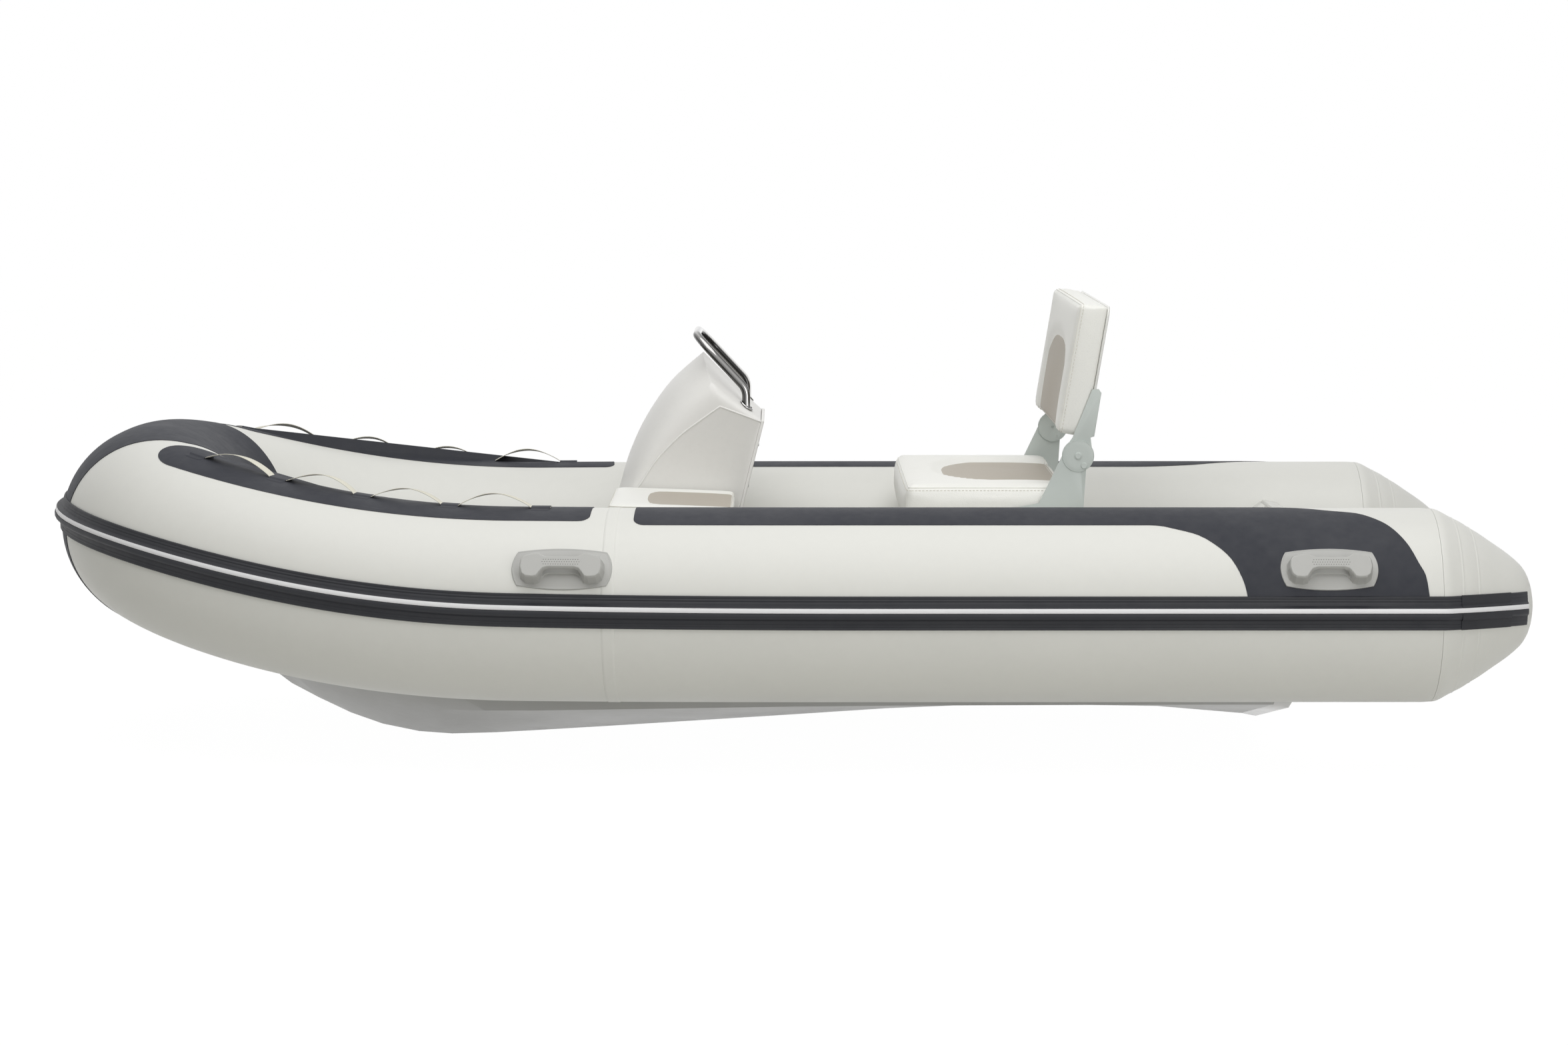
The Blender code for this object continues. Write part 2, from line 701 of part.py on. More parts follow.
# Tubes and cones
def build_tubes():
    half_gap = SEAT_GAP / 2
    far = HALF_LENGTH + OVERRUN
    wide = TUBE_OFFSET + TUBE_RADIUS + OVERRUN
    tall = TUBE_HEIGHT + SHEER_RISE + TUBE_RADIUS + OVERRUN
    chambers = (
        ("bow_tube_chamber", (-far, -wide, 0.0), (CHAMBER_SEAM_X - half_gap, wide, tall)),
        ("port_tube_chamber", (CHAMBER_SEAM_X + half_gap, -wide, 0.0), (far, 0.0, tall)),
        ("starboard_tube_chamber", (CHAMBER_SEAM_X + half_gap, 0.0, 0.0), (far, wide, tall)),
    )
    made = {}
    for name, low, high in chambers:
        chamber = place(name, tube_mesh(name), "tube")
        boolean(chamber, as_cutter(name + "_bounds", box_mesh(name, low, high)), "INTERSECT")
        made[name] = chamber
    for side, sign in (("port", -1.0), ("starboard", 1.0)):
        name = side + "_stern_cone"
        profile = [(radius * TUBE_RADIUS, share * (CONE_LENGTH - SEAT_GAP)) for share, radius in
                   reversed(CONE_PROFILE_SHARES)]
        mesh = turned_mesh(name, profile + [(0.0, 0.0)], 4 + 2 * TUBE_SIDES_SHARE)
        cone = place(name, mesh, "tube")
        cone.rotation_euler = (0.0, math.pi / 2, 0.0)
        cone.location = (CONE_START_X + SEAT_GAP, sign * TUBE_OFFSET, TUBE_HEIGHT)
        made[name] = cone
    return made


# Fabric panels
def offset_line(start, end, offset, steps):
    """Plan points beside the starboard centre line, offset outward."""
    result = []
    for step in range(steps + 1):
        distance = start + (end - start) * step / steps
        point = centre_point(distance) + outward(distance) * offset
        result.append((point.x, point.y))
    return result


def mirror_outline(outline, sign):
    return [(x, y * sign) for x, y in outline] if sign > 0 else [(x, -y) for x, y in reversed(outline)]


def fore_strip_outline():
    end = distance_at_x(FORE_STRIP_END_X)
    tip = FORE_STRIP_TIP + (STRIP_OUTER + STRIP_INNER) / 2
    outer = offset_line(tip, end, STRIP_OUTER, 9)
    inner = offset_line(end, tip, -STRIP_INNER, 9)
    middle = (STRIP_OUTER - STRIP_INNER) / 2
    centre = centre_point(tip) + outward(tip) * middle
    ahead = (centre_point(tip - BOW_ARC / 2000) - centre_point(tip)).normalized()
    out = outward(tip)
    radius = (STRIP_OUTER + STRIP_INNER) / 2
    nose = []
    for step in range(1, 6):
        turn = math.pi * step / 6
        point = centre + ahead * (radius * math.sin(turn)) - out * (radius * math.cos(turn))
        nose.append((point.x, point.y))
    corners = len(outer)
    radii = [0.0] * (corners - 1) + [STRIP_CORNER, STRIP_CORNER] + [0.0] * (corners - 1) + [0.0] * len(nose)
    return rounded(outer + inner + nose, radii)


def aft_strip_outline():
    """Plan outline of the top of the aft panel on the starboard tube."""
    start = distance_at_x(AFT_STRIP_START_X)
    end = distance_at_x(BOW_CURVE_START)
    outer = offset_line(start, end, STRIP_OUTER, 4)
    inner = offset_line(end, start, -STRIP_INNER, 4)
    edge = AFT_PANEL_END_X
    rear_shares = ((0.30, 1.0), (0.39, 0.77), (0.525, 0.50), (0.745, 0.32), (1.0, 0.0), (1.45, -0.35),
                   (1.95, -0.70))
    rear = [(edge - (edge - AFT_CREST_X) * back, TUBE_OFFSET + AFT_STRIP_OUTER * out) for back, out in rear_shares]
    rear[-2] = ((AFT_CREST_X + AFT_TAPER_X) / 2, TUBE_OFFSET - STRIP_INNER * 0.8)
    rear[-1] = (AFT_TAPER_X, TUBE_OFFSET - STRIP_INNER)
    front = [(SWEEP_START_X, TUBE_OFFSET + AFT_STRIP_OUTER)]
    radii = [STRIP_CORNER] + [0.0] * (len(outer) - 1) + [0.0] * (len(front) + len(rear))
    radii += [0.0] * (len(inner) - 1) + [STRIP_CORNER]
    return rounded(outer + front + rear + inner, radii)


def aft_sweep_outline():
    """Side outline of the part of the aft panel that comes down to the strake."""
    top = TUBE_HEIGHT + TUBE_RADIUS * math.sin(math.acos(AFT_STRIP_OUTER / TUBE_RADIUS)) + OVERRUN / 20
    drop = top - TUBE_HEIGHT
    fore = SWEEP_FOOT_X - SWEEP_START_X
    front_shares = ((0.0, 1.0), (0.25, 0.965), (0.486, 0.905), (0.68, 0.79), (0.82, 0.655), (0.903, 0.505),
                    (0.958, 0.353), (0.986, 0.207), (1.0, 0.0))
    rear = AFT_PANEL_END_X - AFT_CREST_X
    rear_shares = ((0.0, 0.0), (0.016, 0.237), (0.037, 0.449), (0.089, 0.596), (0.162, 0.793),
                   (0.277, 0.945), (0.31, 1.0))
    outline = [(SWEEP_START_X + fore * a, TUBE_HEIGHT + drop * b) for a, b in front_shares]
    outline += [(AFT_PANEL_END_X - rear * a, TUBE_HEIGHT + drop * b) for a, b in rear_shares]
    return outline


def panel(name, cutter, inner, envelope):
    """A fabric panel cut from an offset copy of the tube."""
    mesh = tube_mesh(name, PANEL_LIFT + PANEL_THICKNESS)
    skin = place(name, mesh, "grey_panel")
    boolean(skin, cutter, "INTERSECT")
    boolean(skin, inner)
    boolean(skin, envelope)
    return skin


def build_nose_panels(inner, envelope):
    """The dark nose of the bow: one panel over the tube and one under it, parted by the strake."""
    high = TUBE_HEIGHT + SHEER_RISE + TUBE_RADIUS + OVERRUN
    reach = -HALF_LENGTH - OVERRUN
    parting = TUBE_HEIGHT + SHEER_RISE + TUBE_RADIUS * math.sin(STRAKE_ANGLE_BOW)
    shoulder = [(NOSE_SHOULDER_X, -NOSE_HALF_WIDTH), (NOSE_INNER_X, -NOSE_THROAT_HALF_WIDTH),
                (NOSE_INNER_X, NOSE_THROAT_HALF_WIDTH), (NOSE_SHOULDER_X, NOSE_HALF_WIDTH)]
    outline = [(reach, -NOSE_HALF_WIDTH), *shoulder, (reach, NOSE_HALF_WIDTH)]
    above = prism_mesh("above", outline, "plan", parting, high)
    inside = prism_mesh("inside", shoulder, "plan", LOCKER_TOP + SEAT_GAP, parting + OVERRUN)
    cutter = as_cutter("nose_outline", mesh_union("nose_outline", [above, inside]))
    panel("bow_nose_panel", cutter, inner, envelope)
    low = (reach, -NOSE_HALF_WIDTH, 0.0)
    below = box_mesh("below", low, (STEM_HEAD_X - SEAT_GAP, NOSE_HALF_WIDTH, parting))
    panel("bow_underside_panel", as_cutter("underside_outline", below), inner, envelope)


def build_side_panels(inner, envelope):
    high = TUBE_HEIGHT + SHEER_RISE + TUBE_RADIUS + OVERRUN
    middle = TUBE_HEIGHT + TUBE_RADIUS / 2
    for side, sign in (("port", -1.0), ("starboard", 1.0)):
        outline = mirror_outline(fore_strip_outline(), sign)
        mesh = prism_mesh(side + "_fore_outline", outline, "plan", middle, high)
        panel(side + "_fore_top_strip", as_cutter(side + "_fore_outline", mesh), inner, envelope)
        top = prism_mesh(side + "_aft_outline", mirror_outline(aft_strip_outline(), sign), "plan", middle, high)
        limits = sorted((sign * TUBE_OFFSET, sign * (TUBE_OFFSET + TUBE_RADIUS + OVERRUN)))
        sweep = prism_mesh(side + "_sweep_outline", aft_sweep_outline(), "side", *limits)
        cutter = as_cutter(side + "_aft_outline", mesh_union(side + "_aft_outline", [top, sweep]))
        panel(side + "_aft_side_panel", cutter, inner, envelope)


# Rub strake
def strake_angle(x):
    reach = min(1.0, max(0.0, (BOW_CURVE_START - x) / BOW_CURVE_LENGTH))
    return STRAKE_ANGLE_AFT + (STRAKE_ANGLE_BOW - STRAKE_ANGLE_AFT) * reach**2


def strake_line():
    """Points and tilts of the strake's foot on the tube, from starboard round to port."""
    points, tilts = [], []
    cone = []
    for share, radius in CONE_PROFILE_SHARES[1:]:
        if share > STRAKE_END_SHARE:
            break
        cone.append((CONE_START_X + CONE_LENGTH * share, TUBE_RADIUS * radius))
    for sign in (1.0, -1.0):
        ordered = list(reversed(cone)) if sign > 0 else cone
        ends = []
        for x, radius in ordered:
            reach = radius * math.cos(STRAKE_ANGLE_AFT)
            rise = radius * math.sin(STRAKE_ANGLE_AFT)
            ends.append((x, sign * (TUBE_OFFSET + reach), TUBE_HEIGHT + rise))
        if sign > 0:
            points += ends
            tilts += [-STRAKE_ANGLE_AFT] * len(ends)
            for distance in RING_DISTANCES:
                angle = strake_angle(centre_point(distance).x)
                points.append(tuple(tube_point(distance, angle)))
                tilts.append(-angle)
        else:
            points += ends
            tilts += [-STRAKE_ANGLE_AFT] * len(ends)
    return points, tilts


def band_drop(y):
    """How far the tube falls away behind a point across the strake."""
    return TUBE_RADIUS - math.sqrt(TUBE_RADIUS**2 - y**2)


def strake_section():
    w, bead, band = STRAKE_HALF_WIDTH, STRAKE_BEAD_HALF, STRAKE_LIFT + STRAKE_BAND
    face = STRAKE_PROUD - STRIPE_SET_BACK
    outer = [(band - band_drop(w), w), (band - band_drop(bead), bead), (face * 0.86, bead * 0.84),
             (face, bead * 0.74), (face, bead * 0.06), (STRAKE_PROUD, -bead * 0.05),
             (STRAKE_PROUD, -bead * 0.40), (STRAKE_PROUD * 0.90, -bead * 0.66),
             (STRAKE_PROUD * 0.68, -bead * 0.84), (band - band_drop(bead), -bead), (band - band_drop(w), -w)]
    back = [(STRAKE_LIFT - band_drop(w * share), w * share) for share in (-1.0, -0.5, 0.0, 0.5, 1.0)]
    return outer + back


def stripe_section():
    bead = STRAKE_BEAD_HALF
    low = bead * 0.06 + SEAT_GAP
    near = STRAKE_PROUD - STRIPE_SET_BACK + SEAT_GAP
    return [(near, low), (near + STRIPE_DEPTH, low), (near + STRIPE_DEPTH, low + STRIPE_WIDTH),
            (near, low + STRIPE_WIDTH)]


def envelope_section():
    w = STRAKE_HALF_WIDTH + STRAKE_CLEARANCE
    far = STRAKE_PROUD + STRAKE_CLEARANCE
    near = -STRAKE_ENVELOPE_DEPTH
    return [(near - band_drop(w), w), (far, w), (far, -w), (near - band_drop(w), -w), (near - band_drop(w / 2), -w / 2),
            (near, 0.0), (near - band_drop(w / 2), w / 2)]


def build_strake():
    points, tilts = strake_line()
    place("rub_strake", swept_mesh("rub_strake", points, strake_section(), tilts), "strake")
    place("strake_stripe", swept_mesh("strake_stripe", points, stripe_section(), tilts), "white")


# Hull, transom and deck
def tube_bottom(x):
    return TUBE_HEIGHT + sheer_rise(x) - TUBE_RADIUS


def hull_top(x):
    return HULL_TOP + max(0.0, LOCKER_AFT_X - x) * BOW_RAMP_SLOPE


def hull_ring(share, grow=0.0):
    x = TRANSOM_FOOT_X - HULL_LENGTH * share
    keel = HULL_TOP * table_value(KEEL_SHARES, share) - grow
    chine_y = CHINE_HALF_WIDTH * table_value(CHINE_WIDTH_SHARES, share)
    chine_z = HULL_TOP * table_value(CHINE_HEIGHT_SHARES, share) - grow
    side_y = plan_half_width(x) - SIDE_INSET + grow
    side_z = tube_bottom(x) + SIDE_LIFT - grow
    half = [(chine_y, chine_z), (side_y, side_z), (side_y, max(hull_top(x), side_z + SIDE_LIFT))]
    middle_top = hull_top(x)
    port = [(x, -y, z) for y, z in half]
    starboard = [(x, y, z) for y, z in reversed(half)]
    shoulder = min(side_y, DECK_HALF_WIDTH - SIDE_INSET)
    top = [(x, -shoulder, middle_top), (x, shoulder, middle_top)]
    return [(x, 0.0, keel)] + port + top + starboard


def raked(mesh, lift=0.0):
    """Carry a mesh built in the end plane onto the raked transom."""
    turn = Matrix.Rotation(TRANSOM_RAKE, 4, "Y")
    mesh.transform(Matrix.Translation((TRANSOM_FOOT_X + lift, 0.0, TRANSOM_FOOT_Z)) @ turn)
    return mesh


def raked_height(z):
    return (z - TRANSOM_FOOT_Z) / math.cos(TRANSOM_RAKE)


def raked_point(y, z, depth):
    """World place of a point on the transom at a depth behind its front face."""
    height = raked_height(z)
    return Vector((TRANSOM_FOOT_X + height * math.sin(TRANSOM_RAKE) + depth * math.cos(TRANSOM_RAKE), y,
                   TRANSOM_FOOT_Z + height * math.cos(TRANSOM_RAKE) - depth * math.sin(TRANSOM_RAKE)))


def build_hull(tube_clearance, stern_cut):
    hull = place("hull", loft_mesh("hull", [hull_ring(share) for share in HULL_STATION_SHARES]), "hull")
    boolean(hull, tube_clearance)
    boolean(hull, stern_cut)


def knee_mesh(sign):
    """A gusset between the transom and the tube, standing on the deck."""
    inside = TRANSOM_THICKNESS / 2
    top = raked_point(0.0, TRANSOM_TOP - TRANSOM_CORNER / 3, 0.0)
    foot = raked_point(0.0, FLOOR, 0.0)
    deep_top = raked_point(0.0, TRANSOM_TOP - TRANSOM_CORNER / 3, inside)
    deep_foot = raked_point(0.0, FLOOR, inside)
    fore = foot.x - KNEE_LENGTH
    outline = [(deep_foot.x, FLOOR), (deep_top.x, top.z), (top.x, top.z),
               (top.x - KNEE_LENGTH * KNEE_TOP_SHARE, top.z - KNEE_DROP * KNEE_TOP_SHARE),
               (fore, FLOOR + KNEE_DROP * KNEE_TOP_SHARE), (fore, FLOOR)]
    return prism_mesh("knee", outline, "side", *sorted((sign * KNEE_INNER, sign * (TUBE_OFFSET - SIDE_INSET))))


def build_transom(tube_clearance):
    """The raked board across the stern with a knee on each side of it."""
    chine_z = HULL_TOP * CHINE_HEIGHT_SHARES[1][1]
    wide = TUBE_OFFSET - SIDE_INSET
    half = [(CHINE_HALF_WIDTH, chine_z), (wide, tube_bottom(TRANSOM_FOOT_X) + SIDE_LIFT), (wide, TUBE_HEIGHT)]
    half += arc_points((TRANSOM_HALF_WIDTH - TRANSOM_CORNER, TRANSOM_TOP - TRANSOM_CORNER), TRANSOM_CORNER,
                       0.0, math.pi / 2, 4)
    outline = [(0.0, TRANSOM_FOOT_Z)] + half + [(-y, z) for y, z in reversed(half)]
    outline = [(y, raked_height(z)) for y, z in outline]
    board = raked(prism_mesh("transom", outline, "end", 0.0, TRANSOM_THICKNESS))
    transom = place("transom", mesh_union("transom", [board, knee_mesh(-1.0), knee_mesh(1.0)]), "gelcoat")
    boolean(transom, tube_clearance)
    start, end = raked_point(DRAIN_Y, DRAIN_Z, -OVERRUN), raked_point(DRAIN_Y, DRAIN_Z, OVERRUN * 2)
    bore = cylinder_mesh("drain_bore", DRAIN_RADIUS + RUNNING_GAP, start, end, 16)
    boolean(transom, as_cutter("drain_bore", bore))


def pad_mesh(name, height, thickness, near):
    top = raked_height(TRANSOM_TOP) - PAD_TOP_MARGIN
    half = PAD_WIDTH / 2
    corners = [(-half, top - height), (half, top - height), (half, top), (-half, top)]
    return raked(prism_mesh(name, rounded(corners, PAD_CORNER, 3), "end", near, near + thickness))


def build_transom_fittings():
    outer = TRANSOM_THICKNESS + SEAT_GAP
    place("outer_motor_pad", pad_mesh("outer_motor_pad", OUTER_PAD_HEIGHT, OUTER_PAD_THICKNESS, outer), "dark")
    inner = -INNER_PAD_THICKNESS - SEAT_GAP
    place("inner_motor_pad", pad_mesh("inner_motor_pad", INNER_PAD_HEIGHT, INNER_PAD_THICKNESS, inner), "dark")
    build_drain()


def build_drain():
    base = TRANSOM_THICKNESS + SEAT_GAP
    ring = cylinder_mesh("ring", DRAIN_FLANGE_RADIUS, raked_point(DRAIN_Y, DRAIN_Z, base),
                         raked_point(DRAIN_Y, DRAIN_Z, base + DRAIN_FLANGE_THICKNESS), 20)
    flange = place("drain_flange", ring, "white")
    bore = cylinder_mesh("flange_bore", DRAIN_RADIUS + RUNNING_GAP, raked_point(DRAIN_Y, DRAIN_Z, 0.0),
                         raked_point(DRAIN_Y, DRAIN_Z, base + OVERRUN), 16)
    boolean(flange, as_cutter("flange_bore", bore))
    lip = base + DRAIN_FLANGE_THICKNESS + SEAT_GAP
    stem = cylinder_mesh("stem", DRAIN_RADIUS - RUNNING_GAP, raked_point(DRAIN_Y, DRAIN_Z, lip - DRAIN_PLUG_LENGTH),
                         raked_point(DRAIN_Y, DRAIN_Z, lip + SEAT_GAP), 16)
    head_radius = (DRAIN_RADIUS + DRAIN_FLANGE_RADIUS) / 2
    head = cylinder_mesh("head", head_radius, raked_point(DRAIN_Y, DRAIN_Z, lip),
                         raked_point(DRAIN_Y, DRAIN_Z, lip + DRAIN_GRIP_WIDTH), 16)
    half = DRAIN_GRIP_WIDTH / 2
    middle = raked_height(DRAIN_Z)
    grip_outline = [(DRAIN_Y - DRAIN_RADIUS, middle - half), (DRAIN_Y + DRAIN_RADIUS, middle - half),
                    (DRAIN_Y + DRAIN_RADIUS, middle + half), (DRAIN_Y - DRAIN_RADIUS, middle + half)]
    grip = raked(prism_mesh("grip", grip_outline, "end", lip + half, lip + DRAIN_GRIP_WIDTH + DRAIN_GRIP_LENGTH))
    plug = place("drain_plug", mesh_union("drain_plug", [stem, head, grip]), "dark")
    set_origin(plug, raked_point(DRAIN_Y, DRAIN_Z, 0.0))


def build_deck(tube_clearance, stern_cut):
    fore = LOCKER_AFT_X + SEAT_GAP
    low = (fore, -DECK_HALF_WIDTH, HULL_TOP + SEAT_GAP)
    high = (TRANSOM_FOOT_X + OVERRUN * 3, DECK_HALF_WIDTH, DECK_TOP)
    deck = place("deck", box_mesh("deck", low, high), "gelcoat")
    boolean(deck, tube_clearance)
    boolean(deck, stern_cut)


# Bow locker
def build_locker(tube_clearance):
    rings = []
    steps = 8
    for step in range(steps + 1):
        x = LOCKER_AFT_X + (LOCKER_FORE_X - LOCKER_AFT_X) * step / steps
        low = hull_top(x) + SEAT_GAP
        rings.append([(x, -LOCKER_HALF_WIDTH, low), (x, LOCKER_HALF_WIDTH, low), (x, LOCKER_HALF_WIDTH, LOCKER_TOP),
                      (x, -LOCKER_HALF_WIDTH, LOCKER_TOP)])
    locker = place("bow_locker", loft_mesh("bow_locker", rings), "gelcoat")
    boolean(locker, tube_clearance)
    half = LOCKER_WELL_WIDTH / 2
    well_fore = LOCKER_WELL_AFT_X - LOCKER_WELL_LENGTH
    aft = LOCKER_WELL_AFT_X
    well = prism_mesh("locker_well", rounded([(well_fore, -half), (aft, -half), (aft, half),
                                              (well_fore, half)], LID_CORNER, 3), "plan", LOCKER_WELL_FLOOR,
                      LOCKER_TOP + OVERRUN)
    boolean(locker, as_cutter("locker_well", well))
    margin = LID_MARGIN
    lid_fore, lid_aft = well_fore - margin, LOCKER_WELL_AFT_X + margin
    base = LOCKER_TOP + SEAT_GAP
    outline = rounded([(lid_fore, -half - margin), (lid_aft, -half - margin), (lid_aft, half + margin),
                       (lid_fore, half + margin)], LID_CORNER, 3)
    lid = place("bow_locker_lid", prism_mesh("bow_locker_lid", outline, "plan", base, base + LID_THICKNESS), "gelcoat")
    bevel(lid, LID_THICKNESS / 5)
    build_locker_hinge(lid_fore, base)


def build_locker_hinge(lid_fore, base):
    """A long hinge: the fixed leaf holds the pin, and the lid carries the middle knuckle."""
    axis_x = lid_fore - HINGE_OFFSET
    axis_z = base + HINGE_KNUCKLE_RADIUS
    half, inner = HINGE_WIDTH / 2, HINGE_WIDTH * HINGE_KNUCKLE_SHARE / 2

    def rod(radius, low, high, sides=12):
        return cylinder_mesh("rod", radius, (axis_x, low, axis_z), (axis_x, high, axis_z), sides)

    leaf_high = (axis_x, half, base + LEAF_THICKNESS)
    leaf = as_cutter("leaf", box_mesh("leaf", (axis_x - LEAF_LENGTH, -half, base), leaf_high))
    slot_low = (axis_x - HINGE_KNUCKLE_RADIUS - RUNNING_GAP * 3, -inner - RUNNING_GAP, 0.0)
    boolean(leaf, as_cutter("leaf_slot", box_mesh("slot", slot_low, (axis_x + OVERRUN, inner + RUNNING_GAP, axis_z))))
    near_knuckle = rod(HINGE_KNUCKLE_RADIUS, -half, -inner - RUNNING_GAP, 16)
    far_knuckle = rod(HINGE_KNUCKLE_RADIUS, inner + RUNNING_GAP, half, 16)
    ends = [near_knuckle, far_knuckle]
    fixed = mesh_union("fixed_hinge", [evaluated_mesh(leaf), *ends, rod(HINGE_PIN_RADIUS, -half, half)])
    bpy.data.objects.remove(leaf)
    place("locker_hinge_leaf", fixed, "steel")
    arm_low = (axis_x, -inner, axis_z)
    arm = box_mesh("arm", arm_low, (lid_fore - SEAT_GAP, inner, base + LID_THICKNESS * 0.85))
    knuckle = mesh_union("lid_hinge_knuckle", [rod(HINGE_KNUCKLE_RADIUS, -inner, inner, 16), arm])
    moving = place("lid_hinge_knuckle", knuckle, "steel")
    boolean(moving, as_cutter("pin_bore", rod(HINGE_PIN_RADIUS + RUNNING_GAP, -half, half)))
    for name in ("bow_locker_lid", "lid_hinge_knuckle"):
        set_origin(bpy.data.objects[name], (axis_x, 0.0, axis_z))
    print("lid hinge", round(axis_x, 5), round(axis_z, 5))


# Console
def console_blend(share):
    return (1 - abs(share) ** CONSOLE_BLEND_POWER) ** (1 / CONSOLE_BLEND_POWER)


def console_outline(blend):
    """Side outline in world x and z, from the side panel's shape to the middle's."""
    outline = []
    for side, middle in zip(CONSOLE_SIDE_SHARES, CONSOLE_MIDDLE_SHARES):
        reach = side[0] + (middle[0] - side[0]) * blend
        rise = side[1] + (middle[1] - side[1]) * blend
        outline.append((CONSOLE_FOOT_X - CONSOLE_LENGTH * reach, FLOOR + CONSOLE_HEIGHT * rise))
    return outline


def console_rings():
    rings = []
    for share in CONSOLE_STATION_SHARES:
        y = CONSOLE_CENTRE_Y + CONSOLE_HALF_WIDTH * share
        rings.append([(x, y, z) for x, z in console_outline(console_blend(share))])
    return rings


def build_console(tube_clearance):
    shell = place("console_shell", loft_mesh("console_shell", console_rings()), "gelcoat")
    side = console_outline(0.0)
    middle_x = sum(x for x, _ in side) / len(side)
    middle_z = sum(z for _, z in side) / len(side)
    recess = [(middle_x + (x - middle_x) * SIDE_RECESS_SHARE, middle_z + (z - middle_z) * SIDE_RECESS_SHARE)
              for x, z in side]
    for name, sign in (("port", -1.0), ("starboard", 1.0)):
        face = CONSOLE_CENTRE_Y + sign * CONSOLE_HALF_WIDTH
        limits = sorted((face - sign * SIDE_RECESS, face + sign * OVERRUN))
        boolean(shell, as_cutter(name + "_console_recess", prism_mesh("recess", recess, "side", *limits)))
    boolean(shell, tube_clearance)
    build_console_panel(side)
    build_handrail()


def build_console_panel(side):
    """The closing panel behind the console, a little larger than the opening."""
    foot, top = Vector(side[0]), Vector(side[-1])
    along = (top - foot).normalized()
    back = Vector((along.y, -along.x))
    level = along * ((FLOOR - foot.y) / along.y)
    crest = top + along * AFT_PANEL_MARGIN
    rise = along * (AFT_PANEL_THICKNESS * along.x / along.y)
    near, far = back * SEAT_GAP, back * (SEAT_GAP + AFT_PANEL_THICKNESS)
    outline = [foot + level + near, crest + near, crest + far, foot + level + far + rise]
    low = CONSOLE_CENTRE_Y - CONSOLE_HALF_WIDTH - AFT_PANEL_MARGIN
    high = CONSOLE_CENTRE_Y + CONSOLE_HALF_WIDTH + AFT_PANEL_MARGIN
    mesh = prism_mesh("console_aft_panel", [tuple(point) for point in outline], "side", low, high)
    closing = place("console_aft_panel", mesh, "gelcoat")
    bevel(closing, AFT_PANEL_THICKNESS / 5)


def console_surface(x, y):
    """Height of the console's top at a place, and the direction it faces."""
    def height(px, py):
        blend = console_blend((py - CONSOLE_CENTRE_Y) / CONSOLE_HALF_WIDTH)
        top = console_outline(blend)[len(CONSOLE_SIDE_SHARES) // 2:]
        for first, second in zip(top, top[1:]):
            if first[0] <= px <= second[0]:
                share = (px - first[0]) / (second[0] - first[0])
                return first[1] + (second[1] - first[1]) * share
        return top[-1][1]

    step = CONSOLE_HALF_WIDTH / 50
    slope_x = (height(x + step, y) - height(x - step, y)) / (2 * step)
    slope_y = (height(x, y + step) - height(x, y - step)) / (2 * step)
    return Vector((x, y, height(x, y))), Vector((-slope_x, -slope_y, 1.0)).normalized()


def fillet_path(corners, radii, steps=5):
    """A path whose corners are round, as for a bent pipe."""
    path = [corners[0]]
    for index in range(1, len(corners) - 1):
        here = corners[index]
        before = (corners[index - 1] - here).normalized()
        after = (corners[index + 1] - here).normalized()
        half = before.angle(after) / 2
        radius = radii[index - 1]
        reach = radius / math.tan(half)
        centre = here + (before + after).normalized() * (radius / math.sin(half))
        first, last = here + before * reach - centre, here + after * reach - centre
        for step in range(steps + 1):
            path.append(centre + first.slerp(last, step / steps).normalized() * radius)
    path.append(corners[-1])
    return path


def rail_corners(y):
    """Foot, bend and top of one leg of the rail."""
    places = []
    for reach, rise in (RAIL_FOOT_SHARE, RAIL_BEND_SHARE, RAIL_TOP_SHARE):
        places.append(Vector((CONSOLE_FOOT_X - CONSOLE_LENGTH * reach, y, FLOOR + CONSOLE_HEIGHT * rise)))
    return places


def build_handrail():
    left = rail_corners(CONSOLE_CENTRE_Y - RAIL_HALF_WIDTH)
    right = rail_corners(CONSOLE_CENTRE_Y + RAIL_HALF_WIDTH)
    radii = [RAIL_BEND_RADIUS, RAIL_TOP_RADIUS, RAIL_TOP_RADIUS, RAIL_BEND_RADIUS]
    path = fillet_path(left + list(reversed(right)), radii)
    pieces = [rod_mesh("console_handrail", [tuple(point) for point in path], RAIL_ROD, 3)]
    for leg in (left, right):
        seat, facing = console_surface(leg[0].x, leg[0].y)
        crest = seat + facing * FLANGE_THICKNESS
        pieces.append(cylinder_mesh("disc", FLANGE_RADIUS, seat - facing * FLANGE_RADIUS / 2, crest, 16))
    rail = place("console_handrail", mesh_union("console_handrail", pieces), "steel")
    rings = [[(x, y, z + SEAT_GAP * 1.3) for x, y, z in ring] for ring in console_rings()]
    boolean(rail, as_cutter("console_clearance", loft_mesh("console_clearance", rings)))


